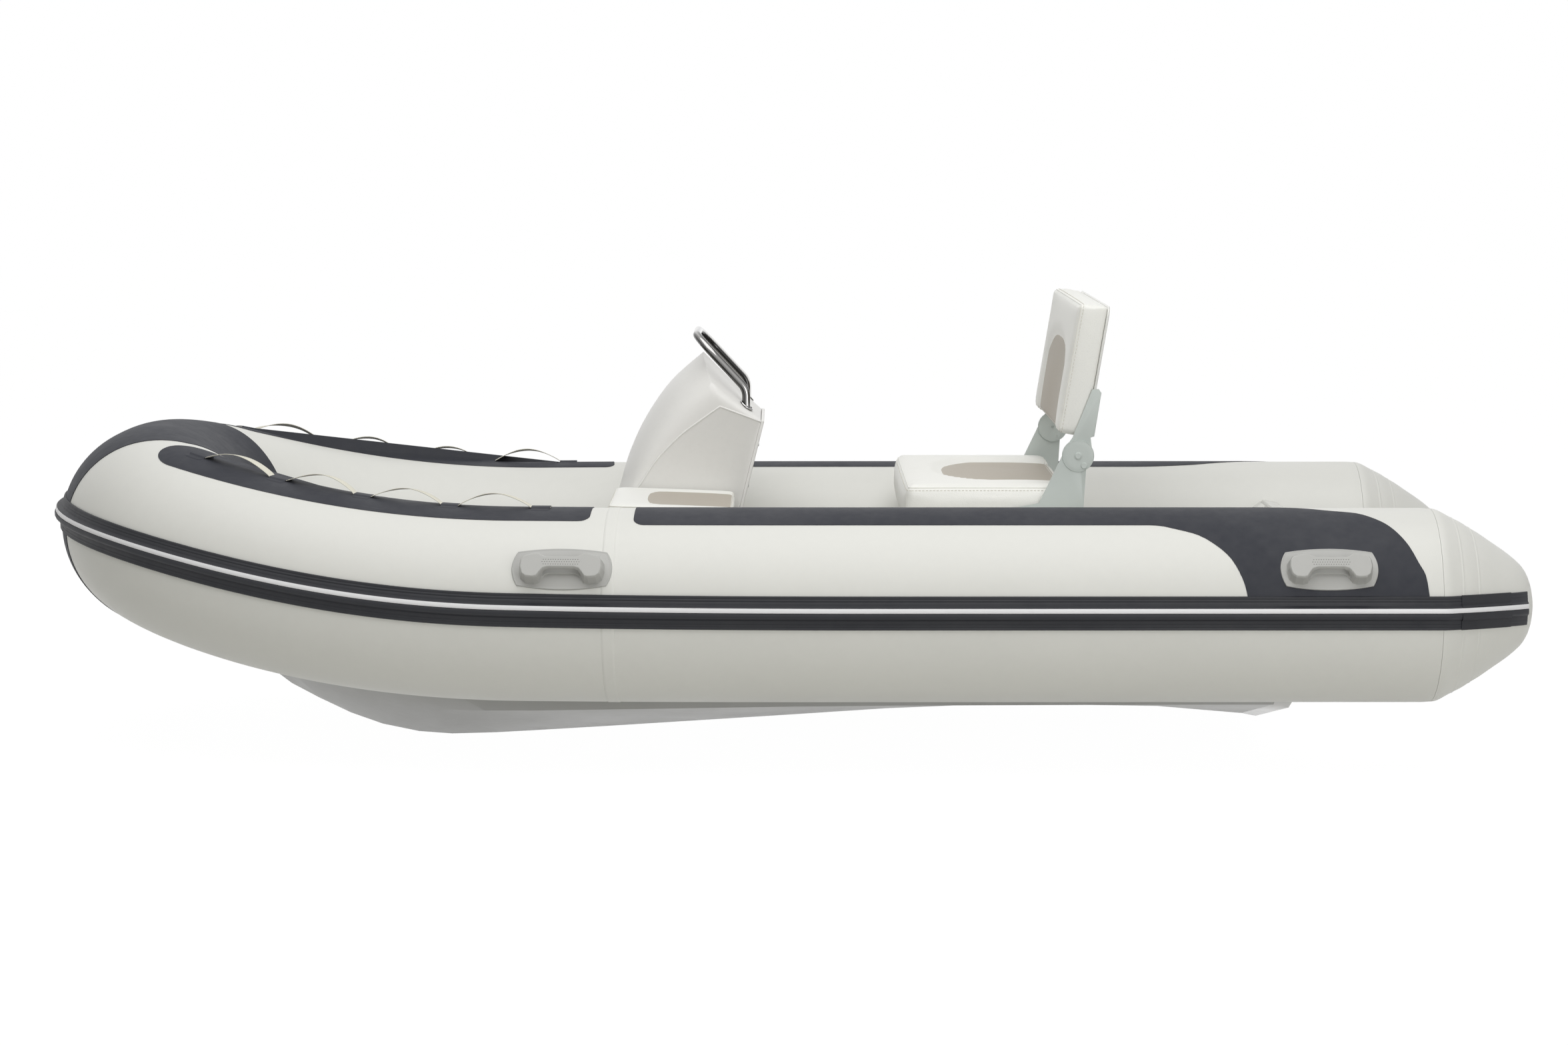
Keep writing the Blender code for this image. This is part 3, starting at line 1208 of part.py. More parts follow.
# Soft parts
def cushion_mesh(name, low, high, edge, crown, bulge):
    """A filled cushion: rounded edges, a crowned top and sides drawn in at the seams."""
    low, high = Vector(low), Vector(high)
    half = (high - low) / 2 - Vector((bulge, bulge, 0.0))
    middle = (high + low) / 2
    work = bmesh.new()
    bmesh.ops.create_cube(work, size=2.0)
    bmesh.ops.subdivide_edges(work, edges=work.edges, cuts=CUSHION_CUTS, use_grid_fill=True)
    for vert in work.verts:
        unit = vert.co.copy()
        point = Vector((0.0, 0.0, 0.0))
        for axis in range(3):
            flat = half[axis] - edge
            size = abs(unit[axis])
            reach = flat * size * 2 if size < 0.5 else flat + edge * (size - 0.5) * 2
            point[axis] = math.copysign(reach, unit[axis])
        inner = Vector([max(-(half[axis] - edge), min(half[axis] - edge, point[axis])) for axis in range(3)])
        rest = point - inner
        if rest.length > 0:
            point = inner + rest * (edge * max(abs(value) for value in rest) / edge / rest.length)
        u, v, w = (point[axis] / half[axis] for axis in range(3))
        side = bulge * max(0.0, 1 - w**2)
        point.x += side * u * abs(u) ** 3 * (1 - v**4)
        point.y += side * v * abs(v) ** 3 * (1 - u**4)
        if w > 0:
            point.z += crown * (1 - u**4) * (1 - v**4)
        vert.co = middle + point
    return finish_bmesh(work, name)


def fit_insert(name, cushion, outline, warp=None, depth=INSERT_DEPTH, set_down=INSERT_SET_DOWN):
    """Let a contrasting insert into the top of a cushion: cut its pocket and make the insert."""
    top = max(vert.co.z for vert in cushion.data.vertices)
    floor = top - depth
    pocket = prism_mesh(name + "_pocket", outline, "plan", floor, top + OVERRUN)
    insert_mesh = cushion.data.copy()
    insert_mesh.transform(Matrix.Translation((0.0, 0.0, -set_down)))
    boolean(cushion, as_cutter(name + "_pocket", pocket))
    xs, ys = [x for x, _ in outline], [y for _, y in outline]
    middle = ((min(xs) + max(xs)) / 2, (min(ys) + max(ys)) / 2)
    reach = ((max(xs) - min(xs)) / 2, (max(ys) - min(ys)) / 2)
    inset = [(middle[0] + (x - middle[0]) * (1 - INSERT_GAP / reach[0]),
              middle[1] + (y - middle[1]) * (1 - INSERT_GAP / reach[1])) for x, y in outline]
    insert = place(name, insert_mesh, "insert")
    keep = prism_mesh(name + "_outline", inset, "plan", floor + SEAT_GAP, top + OVERRUN)
    boolean(insert, as_cutter(name + "_outline", keep), "INTERSECT")
    if warp:
        for item in (cushion, insert):
            item.data = evaluated_mesh(item)
            item.modifiers.clear()
            warp(item.data)
            colour = "vinyl" if item == cushion else "insert"
            item.data.materials.append(make_material(item.name + "_finish", colour))
    return insert


def bowed_front(front, depth, half_width, back):
    """Outline of an insert with a bowed front edge at low x and a straight back edge."""
    steps = 8
    bow = []
    for step in range(steps + 1):
        share = 2 * step / steps - 1
        bow.append((front + depth * abs(share) ** 3, -half_width * share))
    return [(back, half_width), *bow, (back, -half_width)]


def build_side_seat(tube_clearance):
    inner = CONSOLE_CENTRE_Y - CONSOLE_HALF_WIDTH - AFT_PANEL_MARGIN - SEAT_GAP
    low = (SIDE_SEAT_FORE_X, -SIDE_SEAT_OUTER, FLOOR)
    high = (SIDE_SEAT_AFT_X, inner, SIDE_SEAT_TOP)
    base = place("side_seat_base", box_mesh("side_seat_base", low, high), "gelcoat")
    boolean(base, tube_clearance)
    bottom = SIDE_SEAT_TOP + SEAT_GAP
    top = bottom + SIDE_CUSHION_THICKNESS
    mesh = cushion_mesh("side_seat_cushion", (SIDE_SEAT_FORE_X, -SIDE_SEAT_OUTER + SIDE_CUSHION_LEAN, bottom),
                        (SIDE_SEAT_AFT_X, inner, top), SIDE_CUSHION_THICKNESS * 0.28, CUSHION_CROWN / 2,
                        CUSHION_BULGE / 2)
    cushion = place("side_seat_cushion", mesh, "vinyl")
    length = SIDE_SEAT_AFT_X - SIDE_SEAT_FORE_X
    width = inner + SIDE_SEAT_OUTER
    middle = inner - width / 2 + SIDE_CUSHION_LEAN * 0.2
    outline = bowed_front(SIDE_SEAT_FORE_X + length * 0.28, length * 0.20, width * 0.30, SIDE_SEAT_AFT_X + OVERRUN)
    outline = [(x, y + middle) for x, y in outline]

    def slope(target):
        for vert in target.vertices:
            share = (vert.co.z - bottom) / SIDE_CUSHION_THICKNESS
            along = (vert.co.x - SIDE_SEAT_FORE_X) / length
            across = (inner - vert.co.y) / width
            vert.co.z -= SIDE_CUSHION_FALL * along * share
            vert.co.y -= SIDE_CUSHION_LEAN * share * across**3

    fit_insert("side_seat_insert", cushion, outline, slope, FLUSH_INSERT_DEPTH, FLUSH_INSERT_SET_DOWN)


def build_bench(tube_clearance):
    toe = BENCH_FORE_X + BENCH_TOE
    outline = [(toe, FLOOR), (BENCH_AFT_X, FLOOR), (BENCH_AFT_X, BENCH_TOP), (BENCH_FORE_X, BENCH_TOP),
               (BENCH_FORE_X, (FLOOR + BENCH_TOP) / 2)]
    mesh = prism_mesh("bench_box", outline, "side", -BENCH_HALF_WIDTH, BENCH_HALF_WIDTH)
    box = place("bench_box", mesh, "gelcoat")
    boolean(box, tube_clearance)
    base = BENCH_TOP + SEAT_GAP
    half = LOWER_PLATE_Y - SEAT_GAP
    corners = [(BENCH_BOARD_FORE_X, -half), (BENCH_BOARD_AFT_X, -half), (BENCH_BOARD_AFT_X, half),
               (BENCH_BOARD_FORE_X, half)]
    board = prism_mesh("bench_board", rounded(corners, [PAD_CORNER, 0, 0, PAD_CORNER], 3), "plan", base,
                       base + BENCH_BOARD_THICKNESS)
    place("bench_board", board, "gelcoat")
    bottom = base + BENCH_BOARD_THICKNESS + SEAT_GAP
    mesh = cushion_mesh("bench_cushion", (CUSHION_FORE_X, -CUSHION_HALF_WIDTH, bottom),
                        (CUSHION_AFT_X, CUSHION_HALF_WIDTH, bottom + CUSHION_THICKNESS - CUSHION_CROWN),
                        CUSHION_EDGE, CUSHION_CROWN, CUSHION_BULGE)
    cushion = place("bench_cushion", mesh, "vinyl")
    length = CUSHION_AFT_X - CUSHION_FORE_X
    outline = bowed_front(CUSHION_FORE_X + INSERT_FORE_MARGIN, length * INSERT_BOW_SHARE,
                          CUSHION_HALF_WIDTH - INSERT_SIDE_MARGIN, CUSHION_AFT_X + OVERRUN)
    fit_insert("bench_insert", cushion, outline)


def lean_back(target):
    """Stand a seat back that was made lying on its board up at its leaning angle."""
    foot = Vector((PIVOT_X - BACK_FACE_REACH + BACK_THICKNESS * math.cos(BACK_LEAN), 0.0,
                   PIVOT_Z + BACK_FOOT_LIFT + BACK_THICKNESS * math.sin(-BACK_LEAN) + SEAT_GAP))
    turn = Matrix.Rotation(BACK_LEAN - math.pi / 2, 4, "Y")
    target.transform(Matrix.Translation(foot) @ turn)


def build_seat_back():
    """The back lies in plan first: x up the back, z out of its face."""
    mesh = cushion_mesh("back_cushion", (0.0, -CUSHION_HALF_WIDTH, 0.0),
                        (BACK_HEIGHT, CUSHION_HALF_WIDTH, BACK_THICKNESS), BACK_EDGE, CUSHION_CROWN / 2,
                        CUSHION_BULGE)
    cushion = place("back_cushion", mesh, "vinyl")
    half = CUSHION_HALF_WIDTH - INSERT_SIDE_MARGIN
    outline = bowed_front(-BACK_HEIGHT * BACK_INSERT_SHARE, BACK_HEIGHT * INSERT_BOW_SHARE, half, OVERRUN)
    outline = [(-x, -y) for x, y in outline]
    fit_insert("back_insert", cushion, outline, lean_back)
    near = -SEAT_GAP - BACK_BOARD_THICKNESS
    edge = UPPER_PLATE_Y - SEAT_GAP
    corners = [(0.0, -edge), (BACK_HEIGHT, -edge), (BACK_HEIGHT, edge), (0.0, edge)]
    outline = rounded(corners, [0, LID_CORNER, LID_CORNER, 0], 4)
    board = prism_mesh("back_board", outline, "plan", near, -SEAT_GAP)
    lean_back(board)
    return [cushion, bpy.data.objects["back_insert"], place("back_board", board, "gelcoat")]


# Seat back brackets
def bracket_point(angle, radius):
    return PIVOT_X + radius * math.cos(angle), PIVOT_Z + radius * math.sin(angle)


def lower_plate_outline():
    """Side outline of the fixed plate: a foot along the bench board and a round head."""
    head = [bracket_point(math.radians(angle), BRACKET_HEAD_RADIUS) for angle in range(-60, 181, 20)]
    foot_top = BENCH_TOP + SEAT_GAP + BENCH_BOARD_THICKNESS
    neck = PIVOT_X - BRACKET_HEAD_RADIUS
    fore = [(neck - (neck - FOOT_FORE_X) * share, foot_top + (PIVOT_Z - foot_top) * rise)
            for share, rise in LOWER_PLATE_SHARES]
    aft = [(BENCH_BOARD_AFT_X - BRACKET_THICKNESS, BENCH_TOP + SEAT_GAP),
           (BENCH_BOARD_AFT_X - BRACKET_THICKNESS * 2, FOOT_TOE_Z)]
    return head + fore + [(FOOT_FORE_X, BENCH_TOP + SEAT_GAP)] + aft


def upper_plate_outline():
    """Side outline of the folding plate: a round head and an arm up the edge of the back."""
    head = [bracket_point(math.radians(angle), UPPER_HEAD_RADIUS) for angle in range(140, 385, 20)]
    up = Vector((math.sin(BACK_LEAN), math.cos(BACK_LEAN)))
    out = Vector((math.cos(BACK_LEAN), -math.sin(BACK_LEAN)))
    pivot = Vector((PIVOT_X, PIVOT_Z))
    arm = [(0.047, 0.022), (0.051, 0.030), (0.155, ARM_AFT), (0.163, ARM_AFT - 0.008), (0.160, ARM_AFT - 0.022),
           (0.040, -0.020)]
    return head + [tuple(pivot + up * rise + out * reach) for rise, reach in arm]


def arc_slot():
    """Outline of the slot that the stop rivet runs in while the back folds."""
    half = STOP_RADIUS + STOP_SLACK
    spare = STOP_SLACK / STOP_REACH
    start, end = STOP_ANGLE + spare, STOP_ANGLE - FOLD_ANGLE - spare
    steps = 8
    outer = [bracket_point(start + (end - start) * k / steps, STOP_REACH + half) for k in range(steps + 1)]
    inner = [bracket_point(end + (start - end) * k / steps, STOP_REACH - half) for k in range(steps + 1)]
    far_tip = [(Vector(bracket_point(end, STOP_REACH)) + Vector((math.cos(end - turn), math.sin(end - turn))) * half)
               for turn in (math.pi / 4, math.pi / 2, 3 * math.pi / 4)]
    near_tip = [(Vector(bracket_point(start, STOP_REACH))
                 + Vector((math.cos(start + turn), math.sin(start + turn))) * half)
                for turn in (3 * math.pi / 4, math.pi / 2, math.pi / 4)]
    return outer + [tuple(point) for point in far_tip] + inner + [tuple(point) for point in near_tip]


def across_limits(sign, near, far):
    return sorted((sign * near, sign * far))


def rod_across(name, radius, place_xz, sign, near, far, sides=16):
    low, high = across_limits(sign, near, far)
    return cylinder_mesh(name, radius, (place_xz[0], low, place_xz[1]), (place_xz[0], high, place_xz[1]), sides)


def rivet_mesh(name, radius, head, spot, sign):
    """A shank through both plates with a head outside."""
    outer_face = LOWER_PLATE_Y + BRACKET_THICKNESS
    shank = rod_across(name, radius, spot, sign, UPPER_PLATE_Y, outer_face + RIVET_HEAD_HEIGHT)
    cap = rod_across(name, head, spot, sign, outer_face + SEAT_GAP, outer_face + RIVET_HEAD_HEIGHT)
    return mesh_union(name, [shank, cap])


def build_brackets():
    """The fixed plates with their stop pins, the folding plates and the pivot rivets."""
    folding = []
    pivot = (PIVOT_X, PIVOT_Z)
    stop = bracket_point(STOP_ANGLE, STOP_REACH)
    outer_face = LOWER_PLATE_Y + BRACKET_THICKNESS
    for side, sign in (("port", -1.0), ("starboard", 1.0)):
        limits = across_limits(sign, LOWER_PLATE_Y, outer_face)
        plate = prism_mesh("plate", lower_plate_outline(), "side", *limits)
        pin = rod_across("pin", STOP_RADIUS, stop, sign, UPPER_PLATE_Y, outer_face + RIVET_HEAD_HEIGHT, 12)
        cap = rod_across("cap", STOP_HEAD_RADIUS, stop, sign, LOWER_PLATE_Y + SEAT_GAP, outer_face + RIVET_HEAD_HEIGHT, 12)
        lower = place(side + "_lower_bracket", mesh_union("lower", [plate, pin, cap]), "bracket")
        limits = across_limits(sign, UPPER_PLATE_Y, UPPER_PLATE_Y + BRACKET_THICKNESS)
        upper = place(side + "_upper_bracket", prism_mesh("upper", upper_plate_outline(), "side", *limits), "bracket")
        for item in (lower, upper):
            bore = rod_across("pivot_bore", PIVOT_RADIUS + RUNNING_GAP, pivot, sign, 0.0, outer_face + OVERRUN)
            boolean(item, as_cutter(item.name + "_pivot_bore", bore))
        slot = prism_mesh("slot", arc_slot(), "side", *across_limits(sign, 0.0, outer_face + OVERRUN))
        boolean(upper, as_cutter(side + "_arc_slot", slot))
        place(side + "_pivot_rivet", rivet_mesh("rivet", PIVOT_RADIUS, RIVET_HEAD_RADIUS, pivot, sign), "steel")
        folding.append(upper)
    return folding


# Carry handles
def handle_frame(x, sign):
    """Frame on the tube's surface: x along the tube, y up it, z out of it."""
    distance = distance_at_x(x) * sign
    out = outward(distance)
    along = Vector((out.y, -out.x, 0.0)) * -sign
    normal = out * math.cos(HANDLE_ANGLE) + Vector((0, 0, math.sin(HANDLE_ANGLE)))
    up = normal.cross(along) if sign < 0 else along.cross(normal) * -1
    if up.z < 0:
        up = -up
    along = up.cross(normal)
    frame = Matrix((along, up, normal)).transposed().to_4x4()
    frame.translation = tube_point(distance, HANDLE_ANGLE)
    return frame


def handle_base_outline():
    half, width = HANDLE_BASE_LENGTH / 2, HANDLE_BASE_WIDTH / 2
    return [(-half, -width * 0.62), (-half * 0.82, -width * 0.93), (0.0, -width), (half * 0.82, -width * 0.93),
            (half, -width * 0.62), (half, width * 0.62), (half * 0.82, width * 0.93), (0.0, width),
            (-half * 0.82, width * 0.93), (-half, width * 0.62)]


def handle_grip_outline():
    half, width = HANDLE_LENGTH / 2, HANDLE_WIDTH / 2
    top = HANDLE_BAR_SHIFT + HANDLE_BAR_WIDTH / 2
    bottom = HANDLE_BAR_SHIFT - HANDLE_BAR_WIDTH / 2
    inner = HANDLE_BAR_LENGTH / 2
    corner = HANDLE_EDGE * 2
    slant = width - top
    deep = (bottom + width) / 4
    return [(-half, -width + corner), (-half + corner, -width), (-inner - deep, -width), (-inner, bottom - deep),
            (-inner + deep, bottom), (inner - deep, bottom), (inner, bottom - deep), (inner + deep, -width),
            (half - corner, -width), (half, -width + corner), (half, width - corner), (half - corner, width),
            (inner + slant, width), (inner, top), (-inner, top), (-inner - slant, width), (-half + corner, width),
            (-half, width - corner)]


def build_handles():
    lifts = (PANEL_LIFT, PANEL_LIFT * 2 + PANEL_THICKNESS)
    for end, x, lift in zip(("fore", "aft"), HANDLE_X, lifts):
        under = as_cutter(end + "_handle_underside", tube_mesh("under", lift))
        seat = as_cutter(end + "_handle_seat", tube_mesh("seat", lift + HANDLE_BASE_THICKNESS + SEAT_GAP))
        for side, sign in (("port", -1.0), ("starboard", 1.0)):
            frame = handle_frame(x, sign)
            name = f"{side}_{end}_handle"
            base = place(name + "_base", tube_mesh("base", lift + HANDLE_BASE_THICKNESS), "rubber")
            corners = rounded(handle_base_outline(), HANDLE_EDGE * 2, 2)
            outline = prism_mesh("outline", corners, "plan", -OVERRUN, OVERRUN)
            outline.transform(frame)
            boolean(base, as_cutter(name + "_base_outline", outline), "INTERSECT")
            boolean(base, under)
            mesh = prism_mesh(name, handle_grip_outline(), "plan", -HANDLE_SEAT_SINK, HANDLE_HEIGHT)
            mesh.transform(frame)
            grip = place(name + "_grip", mesh, "rubber")
            floor = lift + HANDLE_BASE_THICKNESS + SEAT_GAP + HANDLE_TUNNEL_FLOOR
            reach = HANDLE_TUNNEL_LENGTH / 2
            tunnel_high = (reach, HANDLE_WIDTH, floor + HANDLE_TUNNEL_HEIGHT)
            tunnel = box_mesh("tunnel", (-reach, -HANDLE_WIDTH, floor), tunnel_high)
            tunnel.transform(frame)
            boolean(grip, seat)
            boolean(grip, as_cutter(name + "_tunnel", tunnel))
            bevel(grip, HANDLE_EDGE / 2, 1, math.radians(50))


# Grab webbing
def webbing_patch_section():
    """Section of a patch with the strap under it, from one edge over to the other."""
    half, width = WEBBING_WIDTH / 2, PATCH_WIDTH / 2
    low = PANEL_LIFT * 3 + PANEL_THICKNESS
    roof = WEBBING_LIFT + WEBBING_THICKNESS + PATCH_TOP
    shoulder = half + PATCH_TOP
    edge = low + PATCH_TOP - band_drop(width)
    back = [(low - band_drop(width * share), width * share) for share in (1.0, 0.5, 0.0, -0.5, -1.0)]
    return [(edge, -width), (roof - band_drop(shoulder), -shoulder), (roof, 0.0),
            (roof - band_drop(shoulder), shoulder), (edge, width), *back]


def loop_rise(index, share):
    """How far a loop of the webbing stands off the tube along its length."""
    lean = LOOP_LEANS[index]
    return LOOP_RISES[index] * math.sin(math.pi * share ** lean) ** 1.3


def build_webbing(side, sign):
    pitch = LOOP_SPAN + PATCH_SPAN
    spans = [WEBBING_START + pitch * index for index in range(len(LOOP_RISES) + 1)]
    points, tilts, patches = [], [], []
    half = WEBBING_THICKNESS / 2
    for index, start in enumerate(spans):
        ends = [start + PATCH_SPAN * share for share in (0.0, 0.5, 1.0)]
        for distance in ends:
            points.append(tube_point(sign * distance, WEBBING_ANGLE, WEBBING_LIFT + half))
            tilts.append(0.0)
        path = [tuple(tube_point(sign * value, WEBBING_ANGLE)) for value in ends]
        if sign > 0:
            path.reverse()
        patches.append(swept_mesh("patch", path, webbing_patch_section(), [-WEBBING_ANGLE] * len(path)))
        if index < len(LOOP_RISES):
            for step in range(1, LOOP_STEPS):
                share = step / LOOP_STEPS
                distance = start + PATCH_SPAN + LOOP_SPAN * share
                rise = loop_rise(index, share)
                points.append(tube_point(sign * distance, WEBBING_ANGLE, WEBBING_LIFT + half + rise))
                tilts.append(LOOP_TWIST * math.sin(math.pi * share) ** 2 * (1 - share) * 2)
    if sign > 0:
        points.reverse()
        tilts.reverse()
    section = [(-half, -WEBBING_WIDTH / 2), (half, -WEBBING_WIDTH / 2), (half, WEBBING_WIDTH / 2),
               (-half, WEBBING_WIDTH / 2)]
    turns = [-WEBBING_ANGLE + sign * tilt for tilt in tilts]
    strap = swept_mesh("strap", [tuple(point) for point in points], section, turns)
    place(side + "_grab_webbing", mesh_union("webbing", [strap, *patches]), "webbing")


# Inflation valves
def build_valves(chambers):
    caps = []
    for side, x, sign in VALVE_PLACES:
        distance = distance_at_x(x) * sign
        normal = tube_point(distance, VALVE_ANGLE) - centre_point(distance)
        normal.normalize()
        seat = tube_point(distance, VALVE_ANGLE)

        def along(height):
            return seat + normal * height

        base = PANEL_LIFT * 2
        chamber = chambers[side + "_tube_chamber"]
        recess = cylinder_mesh("recess", VALVE_BODY_RADIUS + RUNNING_GAP, along(-VALVE_BODY_DEPTH - RUNNING_GAP),
                               along(OVERRUN), 20)
        boolean(chamber, as_cutter(side + "_valve_recess", recess))
        flange = cylinder_mesh("flange", VALVE_FLANGE_RADIUS, along(base), along(base + VALVE_FLANGE_THICKNESS), 24)
        seated = along(base + VALVE_FLANGE_THICKNESS / 2)
        body = cylinder_mesh("body", VALVE_BODY_RADIUS, along(-VALVE_BODY_DEPTH), seated, 20)
        crown = base + VALVE_FLANGE_THICKNESS
        spigot = cylinder_mesh("spigot", VALVE_SPIGOT_RADIUS, along(crown - VALVE_FLANGE_THICKNESS / 2),
                               along(crown + VALVE_SPIGOT_HEIGHT), 20)
        place(side + "_valve_body", mesh_union("valve_body", [flange, body, spigot]), "white")
        foot = crown + SEAT_GAP
        cap_mesh = cylinder_mesh("cap", VALVE_CAP_RADIUS, along(foot), along(foot + VALVE_CAP_HEIGHT), 20)
        cap = place(side + "_valve_cap", cap_mesh, "dark")
        roof = foot + VALVE_CAP_HEIGHT - VALVE_CAP_ROOF
        hollow = cylinder_mesh("hollow", VALVE_SPIGOT_RADIUS + RUNNING_GAP * 2, along(foot - OVERRUN), along(roof), 20)
        boolean(cap, as_cutter(side + "_cap_hollow", hollow))
        caps.append((cap, along(foot)))
        print(side, "valve", [round(value, 5) for value in (*along(foot), *normal)])
    return caps


# Bow eye
def keel_point(share):
    return Vector((TRANSOM_FOOT_X - HULL_LENGTH * share, 0.0, HULL_TOP * table_value(KEEL_SHARES, share)))


def build_bow_eye():
    """A U-shaped towing eye on a small plate, on the stem."""
    share = (TRANSOM_FOOT_X - BOW_EYE_X) / HULL_LENGTH
    ahead, behind = keel_point(share + EYE_SPAN / HULL_LENGTH / 2), keel_point(share - EYE_SPAN / HULL_LENGTH / 2)
    along = (ahead - behind).normalized()
    down = Vector((along.z, 0.0, -along.x))
    if down.z > 0:
        down = -down
    seat = (ahead + behind) / 2
    half = EYE_SPAN / 2 - EYE_ROD
    points = [seat - along * half - down * EYE_SINK]
    for step in range(7):
        turn = math.pi * step / 6
        points.append(seat + down * (EYE_REACH - half + half * math.sin(turn)) - along * (half * math.cos(turn)))
    points.append(seat + along * half - down * EYE_SINK)
    rod = rod_mesh("bow_eye", [tuple(point) for point in points], EYE_ROD, 1)
    plate = cylinder_mesh("plate", half + EYE_PLATE_MARGIN, seat - down * EYE_SINK, seat + down * EYE_PLATE, 16)
    eye = place("bow_eye", mesh_union("bow_eye", [plate, rod]), "steel")
    rings = [hull_ring(value, SEAT_GAP * 1.5) for value in HULL_STATION_SHARES]
    boolean(eye, as_cutter("hull_clearance", loft_mesh("hull_clearance", rings)))


def set_origin(item, point):
    """Put a moving part's origin on its joint axis."""
    item.data.transform(Matrix.Translation(-Vector(point)))
    item.location = point


def main():
    clearance = as_cutter("tube_clearance", tube_mesh("tube_clearance", SEAT_GAP, OVERRUN * 2))
    inner = as_cutter("panel_underside", tube_mesh("panel_underside", PANEL_LIFT))
    points, tilts = strake_line()
    envelope = as_cutter("strake_envelope", swept_mesh("strake_envelope", points, envelope_section(), tilts))
    foot = raked_point(0.0, -OVERRUN, -SEAT_GAP)
    head = raked_point(0.0, OVERALL_LENGTH / 4, -SEAT_GAP)
    stern = [(foot.x, foot.z), (OVERALL_LENGTH, foot.z), (OVERALL_LENGTH, head.z), (head.x, head.z)]
    behind_transom = prism_mesh("stern_cut", stern, "side", -OVERALL_LENGTH / 4, OVERALL_LENGTH / 4)
    stern_cut = as_cutter("stern_cut", behind_transom)
    chambers = build_tubes()
    build_nose_panels(inner, envelope)
    build_side_panels(inner, envelope)
    build_strake()
    build_hull(clearance, stern_cut)
    build_deck(clearance, stern_cut)
    build_locker(clearance)
    build_transom(clearance)
    build_transom_fittings()
    build_console(clearance)
    build_side_seat(clearance)
    build_bench(clearance)
    back = build_seat_back()
    back += build_brackets()
    build_handles()
    build_webbing("port", -1.0)
    build_webbing("starboard", 1.0)
    caps = build_valves(chambers)
    build_bow_eye()
    for item in back:
        set_origin(item, (PIVOT_X, 0.0, PIVOT_Z))
    for cap, seat in caps:
        set_origin(cap, seat)


if __name__ == "__main__":
    main()
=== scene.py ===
"""The looks of a rigid inflatable boat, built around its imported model.

The bow points along -X, port is -Y, and the keel's lowest point is at Z zero. Lengths are metres.
"""

import json
import logging
import math
from collections.abc import Callable, Iterable, Iterator, Sequence
from contextlib import contextmanager
from dataclasses import dataclass, field
from enum import Enum

import bmesh
import bpy
from mathutils import Matrix, Vector

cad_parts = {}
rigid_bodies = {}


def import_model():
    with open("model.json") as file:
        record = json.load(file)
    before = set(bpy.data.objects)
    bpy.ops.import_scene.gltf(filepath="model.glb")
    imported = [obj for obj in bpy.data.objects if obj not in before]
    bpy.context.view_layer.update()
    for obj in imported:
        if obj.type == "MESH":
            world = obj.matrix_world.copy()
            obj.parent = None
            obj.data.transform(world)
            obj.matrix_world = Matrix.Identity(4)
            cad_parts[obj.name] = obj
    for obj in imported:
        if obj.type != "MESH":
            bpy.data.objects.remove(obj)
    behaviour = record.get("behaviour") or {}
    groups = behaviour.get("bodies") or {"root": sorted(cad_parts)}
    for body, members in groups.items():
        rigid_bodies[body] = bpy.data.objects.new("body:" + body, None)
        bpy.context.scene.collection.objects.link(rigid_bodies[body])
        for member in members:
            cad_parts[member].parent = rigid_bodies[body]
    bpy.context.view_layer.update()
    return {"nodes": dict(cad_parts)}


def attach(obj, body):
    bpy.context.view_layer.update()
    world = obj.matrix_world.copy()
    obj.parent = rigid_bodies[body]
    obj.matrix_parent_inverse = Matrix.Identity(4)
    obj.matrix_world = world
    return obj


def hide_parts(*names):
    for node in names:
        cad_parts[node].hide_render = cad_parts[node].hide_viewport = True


LOG = logging.getLogger("boat")
Point2 = tuple[float, float]
DOWN = Vector((0.0, 0.0, -1.0))

# Distances under which points are one, and the angle under which the CAD's facets are one face
SEAM_MERGE = 2e-6
FACET_MERGE = 1e-5
FACET_ANGLE = math.radians(0.6)

# How far a rounded corner stays smooth past the angle that was rounded, in degrees
SMOOTH_MARGIN = 15.0

# How far off a piece a ray starts that is cast at it
RAY_START = 0.2

# Shallow dish in the top of a button, as shares of its radius and height
DISH_INSET = 0.35
DISH_DEPTH = 0.08


class Side(Enum):
    """The two sides of the boat, with the sign of Y on each."""

    PORT = -1.0
    STARBOARD = 1.0

    @property
    def word(self) -> str:
        """The side's name as node names spell it."""
        return self.name.lower()


class Grain(Enum):
    """The fine surface that a finish shows up close."""

    COATED_CLOTH = "coated cloth"
    VINYL = "vinyl"
    MOULDED = "moulded"
    GELCOAT = "gelcoat"
    NONSKID = "nonskid"
    WEBBING = "webbing"
    RIBBED = "ribbed"
    METAL = "metal"
    POLISHED = "polished"


class Body(Enum):
    """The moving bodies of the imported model."""

    BOAT = "boat"
    SEAT_BACK = "seat_back"
    LOCKER_LID = "locker_lid"
    PORT_CAP = "port_cap"
    STARBOARD_CAP = "starboard_cap"
    BOW_CAP = "bow_cap"
    PLUG = "plug"


# Small geometry helpers
def lerp(low: float, high: float, share: float) -> float:
    """Value a share of the way from low to high."""
    return low + (high - low) * share


def within(value: float, low: float = 0.0, high: float = 1.0) -> float:
    """A value held between two limits."""
    return max(low, min(high, value))


def soft_step(share: float) -> float:
    """A share held from 0 to 1 that starts and ends level."""
    share = within(share)
    return share * share * (3 - 2 * share)


def arc_height(radius: float, ahead: float) -> float:
    """Height of a circle at a distance from its middle, and zero past its end."""
    return math.sqrt(max(0.0, radius**2 - ahead**2))


